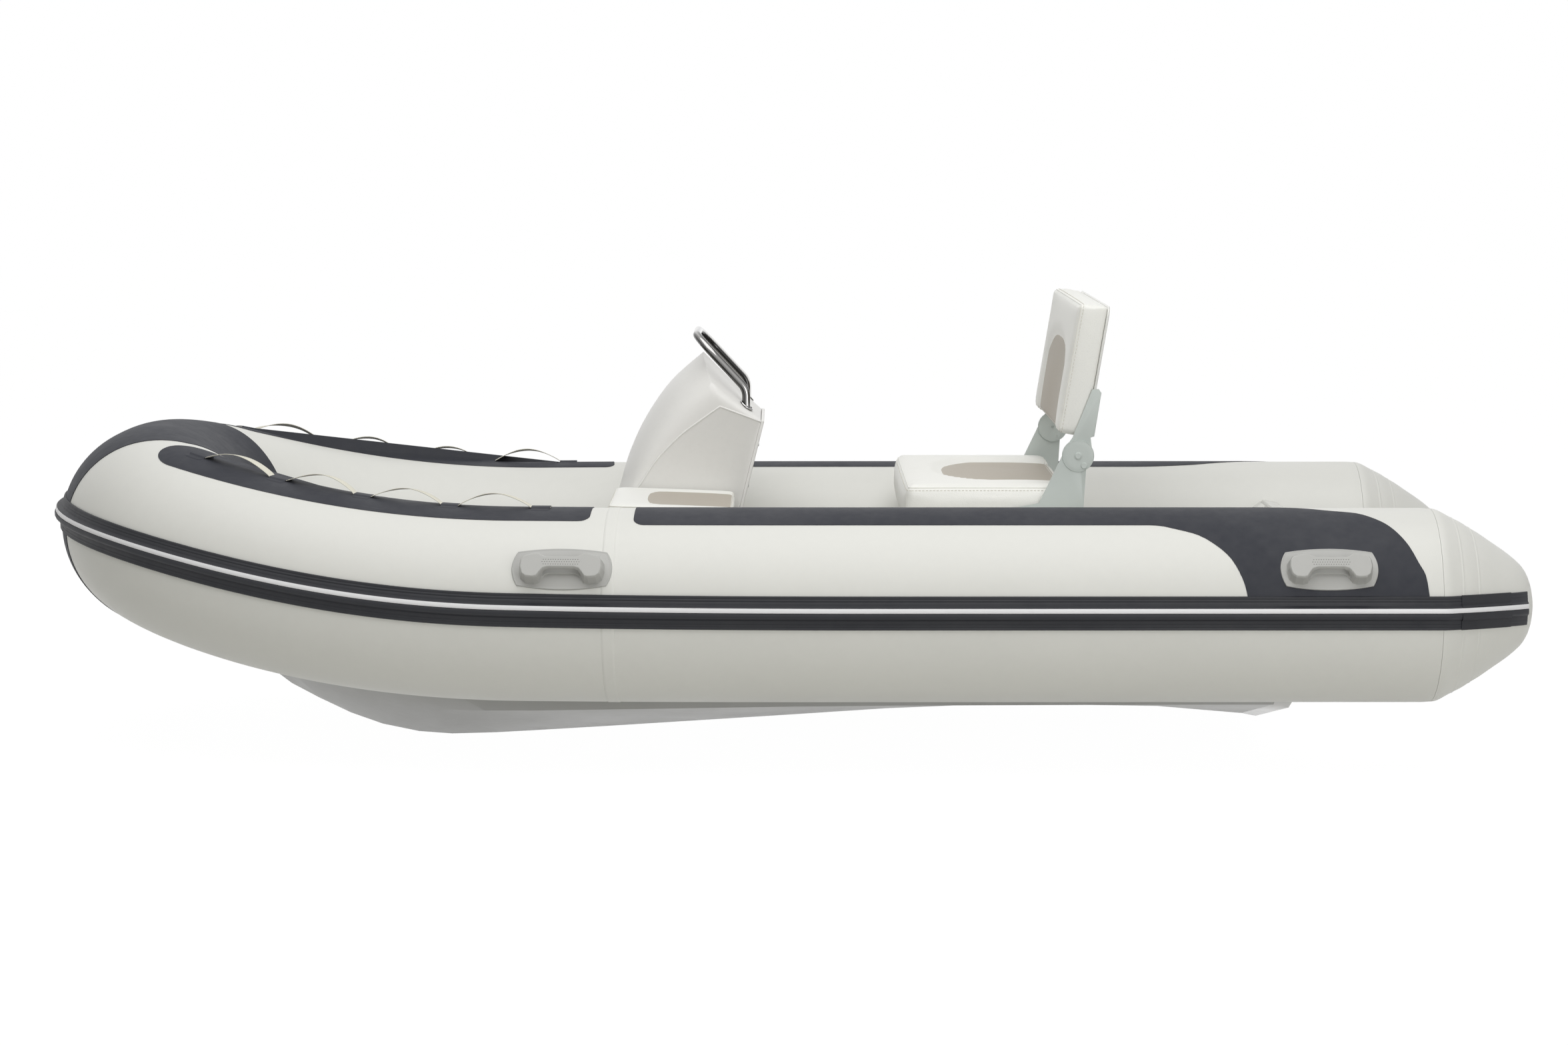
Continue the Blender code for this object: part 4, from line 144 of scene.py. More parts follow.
def smooth_table(table: Sequence[Point2], place: float) -> float:
    """Read a table with a smooth curve that never overshoots its points.

    Args:
        table: places and values, the places rising.
        place: where to read it.

    Returns:
        The value there, held at the ends.
    """
    places = [entry[0] for entry in table]
    values = [entry[1] for entry in table]
    if place <= places[0]:
        return values[0]
    if place >= places[-1]:
        return values[-1]
    index = max(k for k in range(len(places) - 1) if places[k] <= place)
    span = places[index + 1] - places[index]
    part = (place - places[index]) / span

    def slope(k: int) -> float:
        """Slope at a point of the table, level where the values turn."""
        if k <= 0 or k >= len(places) - 1:
            return 0.0
        left = (values[k] - values[k - 1]) / (places[k] - places[k - 1])
        right = (values[k + 1] - values[k]) / (places[k + 1] - places[k])
        return 0.0 if left * right <= 0 else 2 * left * right / (left + right)

    first, last = values[index], values[index + 1]
    rise, fall = slope(index) * span, slope(index + 1) * span
    return (first * (2 * part**3 - 3 * part**2 + 1) + rise * (part**3 - 2 * part**2 + part)
            + last * (3 * part**2 - 2 * part**3) + fall * (part**3 - part**2))


def spread(low: float, high: float, count: int) -> list[float]:
    """Evenly spaced values from low to high, both included."""
    return [lerp(low, high, step / (count - 1)) for step in range(count)]


def eased(low: float, high: float, count: int) -> list[float]:
    """Values from low to high that crowd towards both ends."""
    return [lerp(low, high, (1 - math.cos(math.pi * step / (count - 1))) / 2) for step in range(count)]


def deselect_all() -> None:
    """Leave object mode with nothing selected."""
    if bpy.context.object and bpy.context.object.mode != "OBJECT":
        bpy.ops.object.mode_set(mode="OBJECT")
    bpy.ops.object.select_all(action="DESELECT")


def make_active(item: bpy.types.Object) -> None:
    """Select one object alone and make it active."""
    deselect_all()
    item.select_set(True)
    bpy.context.view_layer.objects.active = item


def apply_all(item: bpy.types.Object) -> None:
    """Apply every modifier of an object, in order."""
    make_active(item)
    for modifier in list(item.modifiers):
        bpy.ops.object.modifier_apply(modifier=modifier.name)


def settle(item: bpy.types.Object) -> bpy.types.Object:
    """Carry an object's place into its mesh, so that it sits at the origin."""
    item.data.transform(item.matrix_basis)
    item.matrix_basis = Matrix.Identity(4)
    return item


def smooth_by_angle(item: bpy.types.Object, degrees: float) -> None:
    """Shade an object smooth, with its edges over an angle kept sharp."""
    make_active(item)
    bpy.ops.object.shade_smooth_by_angle(angle=math.radians(degrees))


def round_edges(item: bpy.types.Object, width: float, segments: int = 2, degrees: float = 30.0) -> None:
    """Round an object's sharp edges and shade it so that flat faces stay flat.

    Args:
        item: the mesh object.
        width: width of the rounding.
        segments: faces across the rounding.
        degrees: edges sharper than this are rounded.
    """
    bevel = item.modifiers.new("round", "BEVEL")
    bevel.width = width
    bevel.segments = segments
    bevel.limit_method = "ANGLE"
    bevel.angle_limit = math.radians(degrees)
    apply_all(item)
    smooth_by_angle(item, degrees + SMOOTH_MARGIN)


@contextmanager
def editing(item: bpy.types.Object) -> Iterator[bmesh.types.BMesh]:
    """Open an object's mesh for changes and write it back afterwards."""
    work = bmesh.new()
    work.from_mesh(item.data)
    yield work
    work.to_mesh(item.data)
    work.free()


def fill_holes(work: bmesh.types.BMesh) -> None:
    """Cap every open rim of a mesh."""
    bmesh.ops.holes_fill(work, edges=[edge for edge in work.edges if edge.is_boundary], sides=0)


def seal(item: bpy.types.Object, degrees: float, merged: bool = False, capped: bool = True,
         ) -> bpy.types.Object:
    """Close a mesh, turn its faces outwards and shade it smooth.

    Args:
        item: the mesh object.
        degrees: edges over this angle stay sharp.
        merged: whether points in one place become one.
        capped: whether open rims are filled.

    Returns:
        The object.
    """
    with editing(item) as work:
        if merged:
            bmesh.ops.remove_doubles(work, verts=work.verts, dist=SEAM_MERGE)
        if capped:
            fill_holes(work)
        bmesh.ops.recalc_face_normals(work, faces=work.faces)
    smooth_by_angle(item, degrees)
    return item


def mesh_object(name: str, work: bmesh.types.BMesh) -> bpy.types.Object:
    """Turn a bmesh into an object of the scene and free it."""
    mesh = bpy.data.meshes.new(name)
    work.to_mesh(mesh)
    work.free()
    item = bpy.data.objects.new(name, mesh)
    bpy.context.scene.collection.objects.link(item)
    return item


def join(name: str, items: Sequence[bpy.types.Object]) -> bpy.types.Object:
    """Join objects into the first one and name it."""
    deselect_all()
    for item in items:
        item.select_set(True)
    bpy.context.view_layer.objects.active = items[0]
    if len(items) > 1:
        bpy.ops.object.join()
    items[0].name = name
    items[0].data.name = name
    return items[0]


def copy_of(item: bpy.types.Object, matrix: Matrix) -> bpy.types.Object:
    """Copy an object with its own mesh, moved by a matrix."""
    twin = item.copy()
    twin.data = item.data.copy()
    twin.data.transform(matrix)
    if matrix.determinant() < 0:
        twin.data.flip_normals()
    bpy.context.scene.collection.objects.link(twin)
    return twin


def grid_sheet(name: str, rows: Sequence[Sequence[Vector]], uvs: Sequence[Sequence[Point2]] | None = None,
               closed: bool = False) -> bpy.types.Object:
    """Join rows of points into a sheet of quads.

    Args:
        name: the object's name.
        rows: rows of equally many points.
        uvs: a UV place for each point.
        closed: whether each row closes on itself.

    Returns:
        The new object, shaded smooth.
    """
    work = bmesh.new()
    layer = work.loops.layers.uv.new("UVMap") if uvs else None
    verts = [[work.verts.new(point) for point in row] for row in rows]
    width = len(rows[0])
    for i in range(len(rows) - 1):
        for j in range(width if closed else width - 1):
            k = (j + 1) % width
            corners = ((i, j), (i + 1, j), (i + 1, k), (i, k))
            face = work.faces.new([verts[a][b] for a, b in corners])
            face.smooth = True
            if layer:
                for loop, (a, b) in zip(face.loops, corners):
                    loop[layer].uv = uvs[a][b]
                if k < j:
                    turn = uvs[i][1][1] - uvs[i][0][1]
                    face.loops[2][layer].uv = (uvs[i + 1][j][0], uvs[i + 1][j][1] + turn)
                    face.loops[3][layer].uv = (uvs[i][j][0], uvs[i][j][1] + turn)
    return mesh_object(name, work)


def close_sheet(item: bpy.types.Object, thickness: float) -> None:
    """Give an open sheet a thickness behind its face, with its rim closed."""
    solid = item.modifiers.new("thickness", "SOLIDIFY")
    solid.thickness = thickness
    solid.offset = -1.0
    solid.use_even_offset = True
    apply_all(item)


def swept_tube(name: str, path: Sequence[Vector], radius: float, cyclic: bool = False, sides: int = 2,
               ) -> bpy.types.Object:
    """A round rod along a path, made as a bevelled curve and turned into a mesh.

    Args:
        name: the object's name.
        path: points that the rod follows.
        radius: radius of the rod.
        cyclic: whether the rod closes on itself.
        sides: bevel resolution of the rod.

    Returns:
        The new mesh object, with its ends capped.
    """
    curve = bpy.data.curves.new(name, "CURVE")
    curve.dimensions = "3D"
    curve.bevel_depth = radius
    curve.bevel_resolution = sides
    curve.use_fill_caps = not cyclic
    spline = curve.splines.new("POLY")
    spline.points.add(len(path) - 1)
    for point, place in zip(spline.points, path):
        point.co = (*place, 1.0)
    spline.use_cyclic_u = cyclic
    item = bpy.data.objects.new(name, curve)
    bpy.context.scene.collection.objects.link(item)
    make_active(item)
    bpy.ops.object.convert(target="MESH")
    item = bpy.context.object
    smooth_by_angle(item, 50.0)
    return item


def disc_button(name: str, radius: float, height: float, sides: int = 20, rounding: float = 0.3,
                ) -> bpy.types.Object:
    """A round button on the plane z = 0, with a rounded rim and a slightly dished top.

    Args:
        name: the object's name.
        radius: radius of the button.
        height: height of the button.
        sides: faces round the rim.
        rounding: rounding of the rim, as a share of the height.

    Returns:
        The new object.
    """
    deselect_all()
    bpy.ops.mesh.primitive_cylinder_add(vertices=sides, radius=radius, depth=height,
                                        location=(0.0, 0.0, height / 2))
    item = bpy.context.object
    item.name = name
    settle(item)
    with editing(item) as work:
        top = [face for face in work.faces if face.normal.z > 0.9]
        bmesh.ops.inset_region(work, faces=top, thickness=radius * DISH_INSET, depth=-height * DISH_DEPTH)
    round_edges(item, height * rounding, 2, 40.0)
    return item


def button_at(place: Matrix, radius: float, height: float, sides: int, rounding: float) -> bpy.types.Object:
    """A round button carried to its place by a matrix."""
    model = disc_button("button", radius, height, sides, rounding)
    button = copy_of(model, place)
    bpy.data.objects.remove(model)
    return button


def bake_painted_reflection_uv(item: bpy.types.Object, bright: Vector) -> None:
    """Lay a UV map over a piece from how far each point faces a direction, which places the painted
    reflection bands of its finish.
    """
    layer = item.data.uv_layers.new(name="UVMap")
    normals = [vert.normal.copy() for vert in item.data.vertices]
    for loop in item.data.loops:
        layer.data[loop.index].uv = (0.0, 0.5 + 0.5 * normals[loop.vertex_index].dot(bright))


def frame_matrix(origin: Vector, along: Vector, normal: Vector) -> Matrix:
    """Matrix that carries x onto a direction and z onto a normal, at a place."""
    z = normal.normalized()
    x = (along - z * along.dot(z)).normalized()
    y = z.cross(x)
    turned = Matrix((x, y, z)).transposed().to_4x4()
    turned.translation = origin
    return turned


# Finishes
# Cells to the metre of the noises that every finish has, and what two of them count for
CLOUDS, CLOUD_SHARE = 3.2, 0.65
SPECKS, SPECK_SHARE = 38.0, 0.35
WAVES = 9.0

# Depth of the waves against the grain's, and the strengths of both
WAVE_DEPTH = 6
WAVE_STRENGTH = 0.25
GRAIN_STRENGTH = 0.9

# How far the roughness wanders, as a share
ROUGHNESS_SPAN = 0.12

# How dark the low places of the grain are, and how much of that shows in webbing and elsewhere
HOLLOW_TONE = 0.35
WEBBING_HOLLOW_DARKENING = 0.16
HOLLOW_DARKENING = 0.05

# Places and tones of the painted reflection bands along a polished pipe, which stand in for the dark and
# bright surroundings that it reflects, and their tint
PAINTED_REFLECTION_BANDS = ((0.0, 0.30), (0.15, 0.05), (0.28, 0.38), (0.40, 0.02), (0.50, 0.55), (0.56, 0.85),
              (0.63, 0.06), (0.76, 0.02), (0.84, 0.45), (0.91, 1.0), (1.0, 0.45))
PAINTED_REFLECTION_TINT = (1.0, 0.985, 0.965)


def linear(channel: float) -> float:
    """Linear value of an sRGB channel from 0 to 255."""
    share = channel / 255.0
    return share / 12.92 if share <= 0.04045 else ((share + 0.055) / 1.055) ** 2.4


def colour_of(rgb: Sequence[float], factor: float = 1.0) -> tuple[float, float, float, float]:
    """Linear colour of an sRGB triple, scaled by a factor."""
    red, green, blue = (min(1.0, linear(channel) * factor) for channel in rgb)
    return red, green, blue, 1.0


@dataclass
class NodeSheet:
    """A material's node tree, with short calls to add and join its nodes."""

    name: str
    material: bpy.types.Material = field(init=False)

    def __post_init__(self) -> None:
        """Start the material with its shader."""
        self.material = bpy.data.materials.new(self.name)
        self.material.use_nodes = True
        self.tree = self.material.node_tree
        self.shader = next(node for node in self.tree.nodes if node.type == "BSDF_PRINCIPLED")

    def add(self, kind: str, inputs: dict[str, float] | None = None, **settings: object) -> bpy.types.Node:
        """Add a node with its input values and settings."""
        node = self.tree.nodes.new(kind)
        for key, value in settings.items():
            setattr(node, key, value)
        for key, value in (inputs or {}).items():
            node.inputs[key].default_value = value
        return node

    def link(self, source: bpy.types.NodeSocket, target: bpy.types.NodeSocket) -> None:
        """Join two sockets."""
        self.tree.links.new(source, target)

    def coordinates(self, use_uv: bool) -> bpy.types.NodeSocket:
        """Object coordinates, or the piece's own UV map."""
        return self.add("ShaderNodeTexCoord").outputs["UV" if use_uv else "Object"]

    def noise(self, where: bpy.types.NodeSocket, scale: float, detail: float = 3.0) -> bpy.types.NodeSocket:
        """Noise at a number of cells to the metre."""
        node = self.add("ShaderNodeTexNoise", {"Scale": scale, "Detail": detail, "Roughness": 0.55})
        self.link(where, node.inputs["Vector"])
        return node.outputs["Fac"]

    def mapped(self, value: bpy.types.NodeSocket, low: float, high: float, to_low: float, to_high: float,
               ) -> bpy.types.NodeSocket:
        """A value carried from one range to another, held at its ends."""
        ends = {"From Min": low, "From Max": high, "To Min": to_low, "To Max": to_high}
        node = self.add("ShaderNodeMapRange", ends)
        self.link(value, node.inputs["Value"])
        return node.outputs["Result"]

    def math(self, operation: str, first: bpy.types.NodeSocket, second: bpy.types.NodeSocket | float,
             ) -> bpy.types.NodeSocket:
        """The result of an operation on two values."""
        node = self.add("ShaderNodeMath", operation=operation)
        self.link(first, node.inputs[0])
        if isinstance(second, float):
            node.inputs[1].default_value = second
        else:
            self.link(second, node.inputs[1])
        return node.outputs["Value"]

    def mix(self, share: bpy.types.NodeSocket, first: Sequence[float] | bpy.types.NodeSocket,
            second: Sequence[float]) -> bpy.types.NodeSocket:
        """A colour between two colours."""
        node = self.add("ShaderNodeMix", data_type="RGBA")
        self.link(share, node.inputs[0])
        if isinstance(first, bpy.types.NodeSocket):
            self.link(first, node.inputs[6])
        else:
            node.inputs[6].default_value = first
        node.inputs[7].default_value = second
        return node.outputs[2]

    def stripes(self, where: bpy.types.NodeSocket, period: float, direction: str) -> bpy.types.NodeSocket:
        """Soft stripes of a period in metres across X, Y or Z."""
        wave = self.add("ShaderNodeTexWave", {"Scale": 2 * math.pi / 20 / period, "Distortion": 0.0},
                        bands_direction=direction)
        self.link(where, wave.inputs["Vector"])
        return wave.outputs["Fac"]

    def bump(self, height: bpy.types.NodeSocket, distance: float, strength: float,
             before: bpy.types.NodeSocket | None = None) -> bpy.types.NodeSocket:
        """Relief of a height field, in metres, laid over an earlier one."""
        node = self.add("ShaderNodeBump", {"Distance": distance, "Strength": strength})
        self.link(height, node.inputs["Height"])
        if before:
            self.link(before, node.inputs["Normal"])
        return node.outputs["Normal"]


@dataclass(frozen=True)
class Finish:
    """One finish of the boat: its colour, its gloss and the grain that it shows up close.

    Attributes:
        name: the material's name.
        slot: the record's material slot; not used.
        rgb: the colour as sRGB from 0 to 255.
        roughness: the middle of the roughness.
        grain: the fine surface.
        grain_size: size of one cell of the grain, in metres.
        depth: height of the grain, in metres.
        mottle: how far the colour wanders, as a share.
        metallic: how far it is metal.
        coat: strength of the clear coat.
        sheen: strength of the sheen.
        uv: whether the grain follows the piece's own UV map.
    """

    name: str
    slot: str
    rgb: tuple[float, float, float]
    roughness: float
    grain: Grain
    grain_size: float = 0.001
    depth: float = 0.00005
    mottle: float = 0.03
    metallic: float = 0.0
    coat: float = 0.0
    sheen: float = 0.0
    uv: bool = False

    def material(self) -> bpy.types.Material:
        """The finish's material, made the first time that it is asked for."""
        return bpy.data.materials.get(self.name) or self.build()

    def build(self) -> bpy.types.Material:
        """Make the material from its nodes.

        Returns:
            The finished material.
        """
        sheet = NodeSheet(self.name)
        shader = sheet.shader
        where = sheet.coordinates(self.uv)
        body = sheet.coordinates(False)
        shader.inputs["Metallic"].default_value = self.metallic
        shader.inputs["Coat Weight"].default_value = self.coat
        shader.inputs["Coat Roughness"].default_value = 0.12
        shader.inputs["Sheen Weight"].default_value = self.sheen
        shader.inputs["Sheen Roughness"].default_value = 0.5
        cloudy = sheet.noise(body, CLOUDS, 4.0)
        fine = sheet.noise(body, SPECKS, 3.0)
        shade = sheet.math("ADD", sheet.math("MULTIPLY", cloudy, CLOUD_SHARE),
                           sheet.math("MULTIPLY", fine, SPECK_SHARE))
        dark, pale = colour_of(self.rgb, 1 - self.mottle), colour_of(self.rgb, 1 + self.mottle)
        spread_out = sheet.mapped(shade, 0.38, 0.62, 0.0, 1.0)
        colour = sheet.mix(spread_out, dark, pale)
        rough = sheet.mapped(shade, 0.35, 0.65, self.roughness * (1 - ROUGHNESS_SPAN),
                             min(1.0, self.roughness * (1 + ROUGHNESS_SPAN)))
        height = self.grain_height(sheet, where)
        # A polished finish takes painted reflection bands as its colour; the others have the low places of
        # their grain darkened
        colour = self.paint_reflection_bands(sheet) if self.grain is Grain.POLISHED else self.darken_grain_hollows(sheet, colour, height)
        sheet.link(colour, shader.inputs["Base Color"])
        sheet.link(rough, shader.inputs["Roughness"])
        waves = sheet.bump(sheet.noise(body, WAVES, 2.0), self.depth * WAVE_DEPTH, WAVE_STRENGTH)
        sheet.link(sheet.bump(height, self.depth, GRAIN_STRENGTH, waves), shader.inputs["Normal"])
        return sheet.material

    def darken_grain_hollows(self, sheet: NodeSheet, colour: bpy.types.NodeSocket, height: bpy.types.NodeSocket,
             ) -> bpy.types.NodeSocket:
        """Darken the low places of the grain a little."""
        low = sheet.mapped(height, 0.0, 0.5, WEBBING_HOLLOW_DARKENING if self.grain is Grain.WEBBING else HOLLOW_DARKENING, 0.0)
        return sheet.mix(low, colour, colour_of(self.rgb, HOLLOW_TONE))

    def paint_reflection_bands(self, sheet: NodeSheet) -> bpy.types.NodeSocket:
        """Painted reflection: dark and bright bands along a polished pipe, laid out by the piece's own UV map
        in place of the surroundings that it reflects.
        """
        apart = sheet.add("ShaderNodeSeparateXYZ")
        sheet.link(sheet.coordinates(True), apart.inputs[0])
        ramp = sheet.add("ShaderNodeValToRGB")
        stops = ramp.color_ramp.elements
        for place, tone in PAINTED_REFLECTION_BANDS:
            if place in (0.0, 1.0):
                stop = stops[0 if place == 0.0 else -1]
            else:
                stop = stops.new(place)
            stop.color = (*[tone * tint for tint in PAINTED_REFLECTION_TINT], 1.0)
        sheet.link(apart.outputs["Y"], ramp.inputs["Fac"])
        return ramp.outputs["Color"]

    def grain_height(self, sheet: NodeSheet, where: bpy.types.NodeSocket) -> bpy.types.NodeSocket:
        """Height field of the grain, from 0 to 1."""
        cells = 1.0 / self.grain_size
        if self.grain in (Grain.COATED_CLOTH, Grain.WEBBING):
            warp = sheet.stripes(where, self.grain_size, "X")
            weft = sheet.stripes(where, self.grain_size, "Y")
            return sheet.math("MAXIMUM", warp, weft)
        if self.grain is Grain.RIBBED:
            return sheet.stripes(where, self.grain_size, "Y")
        if self.grain is Grain.VINYL:
            cell = sheet.add("ShaderNodeTexVoronoi", {"Scale": cells, "Randomness": 1.0}, feature="SMOOTH_F1")
            sheet.link(where, cell.inputs["Vector"])
            return sheet.mapped(cell.outputs["Distance"], 0.1, 0.75, 1.0, 0.0)
        if self.grain is Grain.NONSKID:
            cell = sheet.add("ShaderNodeTexVoronoi", {"Scale": cells, "Randomness": 0.25},
                             distance="MANHATTAN")
            sheet.link(where, cell.inputs["Vector"])
            return sheet.mapped(cell.outputs["Distance"], 0.28, 0.42, 1.0, 0.0)
        return sheet.noise(where, cells, 2.0)


class Finishes:
    """Every finish of the boat."""

    IVORY = Finish("ivory coated cloth", "ivory_fabric", (220, 220, 215), 0.46, Grain.COATED_CLOTH, 0.0016,
                   0.00005, 0.012, sheen=0.05, uv=True)
    GREY = Finish("dark grey coated cloth", "grey_fabric", (19, 22, 32), 0.68, Grain.COATED_CLOTH, 0.0016,
                  0.00006, 0.05, uv=True)
    STRAKE = Finish("strake rubber", "strake_rubber", (15, 17, 24), 0.60, Grain.MOULDED, 0.003, 0.00004, 0.05)
    STRAKE_END = Finish("strake end rubber", "strake_rubber", (10, 12, 19), 0.62, Grain.MOULDED, 0.003,
                        0.00004, 0.05)
    STRIPE = Finish("stripe rubber", "white_rubber", (236, 236, 238), 0.38, Grain.MOULDED, 0.004, 0.00003,
                    0.01)
    WEBBING = Finish("woven webbing", "webbing", (226, 223, 208), 0.82, Grain.WEBBING, 0.0024, 0.00025, 0.04,
                     sheen=0.2, uv=True)
    HANDLE = Finish("handle rubber", "handle_rubber", (180, 180, 177), 0.50, Grain.MOULDED, 0.0012, 0.00004,
                    0.02)
    # Painted shade: small bumps coloured dark stand for the shade inside recessed dimples
    DIMPLE = Finish("painted dimple shade", "handle_rubber", (96, 96, 93), 0.70, Grain.MOULDED, 0.0012, 0.00004,
                    0.02)
    HULL = Finish("hull gelcoat", "hull_gelcoat", (166, 166, 161), 0.40, Grain.GELCOAT, 0.012, 0.00003, 0.01,
                  coat=0.10)
    GELCOAT = Finish("white gelcoat", "white_gelcoat", (222, 222, 218), 0.24, Grain.GELCOAT, 0.012, 0.00003,
                     0.01, coat=0.35)
    CONSOLE = Finish("console gelcoat", "white_gelcoat", (229, 228, 225), 0.42, Grain.GELCOAT, 0.012,
                     0.00003, 0.01, coat=0.08)
    DECK = Finish("non-skid gelcoat", "white_gelcoat", (214, 214, 208), 0.48, Grain.NONSKID, 0.009, 0.0005,
                  0.02)
    VINYL = Finish("white vinyl", "white_vinyl", (236, 236, 231), 0.44, Grain.VINYL, 0.0022, 0.00012, 0.012,
                   sheen=0.08)
    TAUPE = Finish("taupe vinyl", "taupe_vinyl", (170, 162, 149), 0.56, Grain.VINYL, 0.0022, 0.00016, 0.03,
                   sheen=0.10)
    THREAD = Finish("seam thread", "white_vinyl", (216, 213, 203), 0.70, Grain.MOULDED, 0.0006, 0.00003, 0.03)
    PIPING = Finish("vinyl piping", "white_vinyl", (226, 225, 218), 0.40, Grain.VINYL, 0.0022, 0.00006, 0.01)
    BRACKET = Finish("bracket paint", "bracket_paint", (194, 201, 197), 0.42, Grain.MOULDED, 0.0018,
                     0.00004, 0.015)
    # The rail's own colour is replaced by painted reflection bands
    CHROME = Finish("polished rail", "rail_chrome", (226, 227, 229), 0.07, Grain.POLISHED, 0.02, 0.00001,
                    0.01, metallic=1.0, uv=True)
    STEEL = Finish("brushed steel", "steel", (200, 200, 200), 0.28, Grain.METAL, 0.003, 0.00002, 0.03,
                   metallic=1.0)
    DARK = Finish("dark plastic", "dark_plastic", (44, 45, 48), 0.50, Grain.MOULDED, 0.0016, 0.00006, 0.04)
    PAD = Finish("ribbed motor pad", "dark_plastic", (50, 51, 54), 0.55, Grain.RIBBED, 0.008, 0.0004, 0.05)
    WHITE = Finish("white plastic", "white_plastic", (226, 226, 224), 0.40, Grain.MOULDED, 0.0016, 0.00004,
                   0.01)


def dress(item: bpy.types.Object, finish: Finish) -> None:
    """Give an object one finish all over."""
    item.data.materials.clear()
    item.data.materials.append(finish.material())


@dataclass
class Workshop:
    """Keeps the boat's pieces and puts each on its body.

    Attributes:
        nodes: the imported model's objects by name.
        made: names of the pieces made so far.
    """

    nodes: dict[str, bpy.types.Object]
    made: list[str] = field(default_factory=list)

    def fit(self, item: bpy.types.Object, finish: Finish, body: Body = Body.BOAT,
            replaces: Iterable[str] = ()) -> bpy.types.Object:
        """Dress a finished piece, put it on its body and hide what it stands for.

        Args:
            item: the finished piece, at the origin.
            finish: its finish.
            body: the body that it moves with.
            replaces: CAD nodes that it stands for.

        Returns:
            The piece.
        """
        dress(item, finish)
        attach(item, body.value)
        if replaces:
            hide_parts(*replaces)
        self.made.append(item.name)
        LOG.info("%s: %d faces on %s", item.name, len(item.data.polygons), body.value)
        return item

    def refined(self, node: str, finish: Finish, rounding: float, body: Body = Body.BOAT, segments: int = 2,
                degrees: float = 28.0) -> bpy.types.Object:
        """A copy of a CAD node with its facets merged and its edges rounded.

        Args:
            node: the CAD node.
            finish: the copy's finish.
            rounding: width of the rounded edges.
            body: the body that it moves with.
            segments: faces across each rounding.
            degrees: edges sharper than this are rounded.

        Returns:
            The copy, which replaces the node.
        """
        source = self.nodes[node]
        item = bpy.data.objects.new(node + "_dressed", source.data.copy())
        bpy.context.scene.collection.objects.link(item)
        with editing(item) as work:
            bmesh.ops.remove_doubles(work, verts=work.verts, dist=FACET_MERGE)
            bmesh.ops.dissolve_limit(work, angle_limit=FACET_ANGLE, verts=work.verts, edges=work.edges)
        round_edges(item, rounding, segments, degrees)
        return self.fit(item, finish, body, [node])


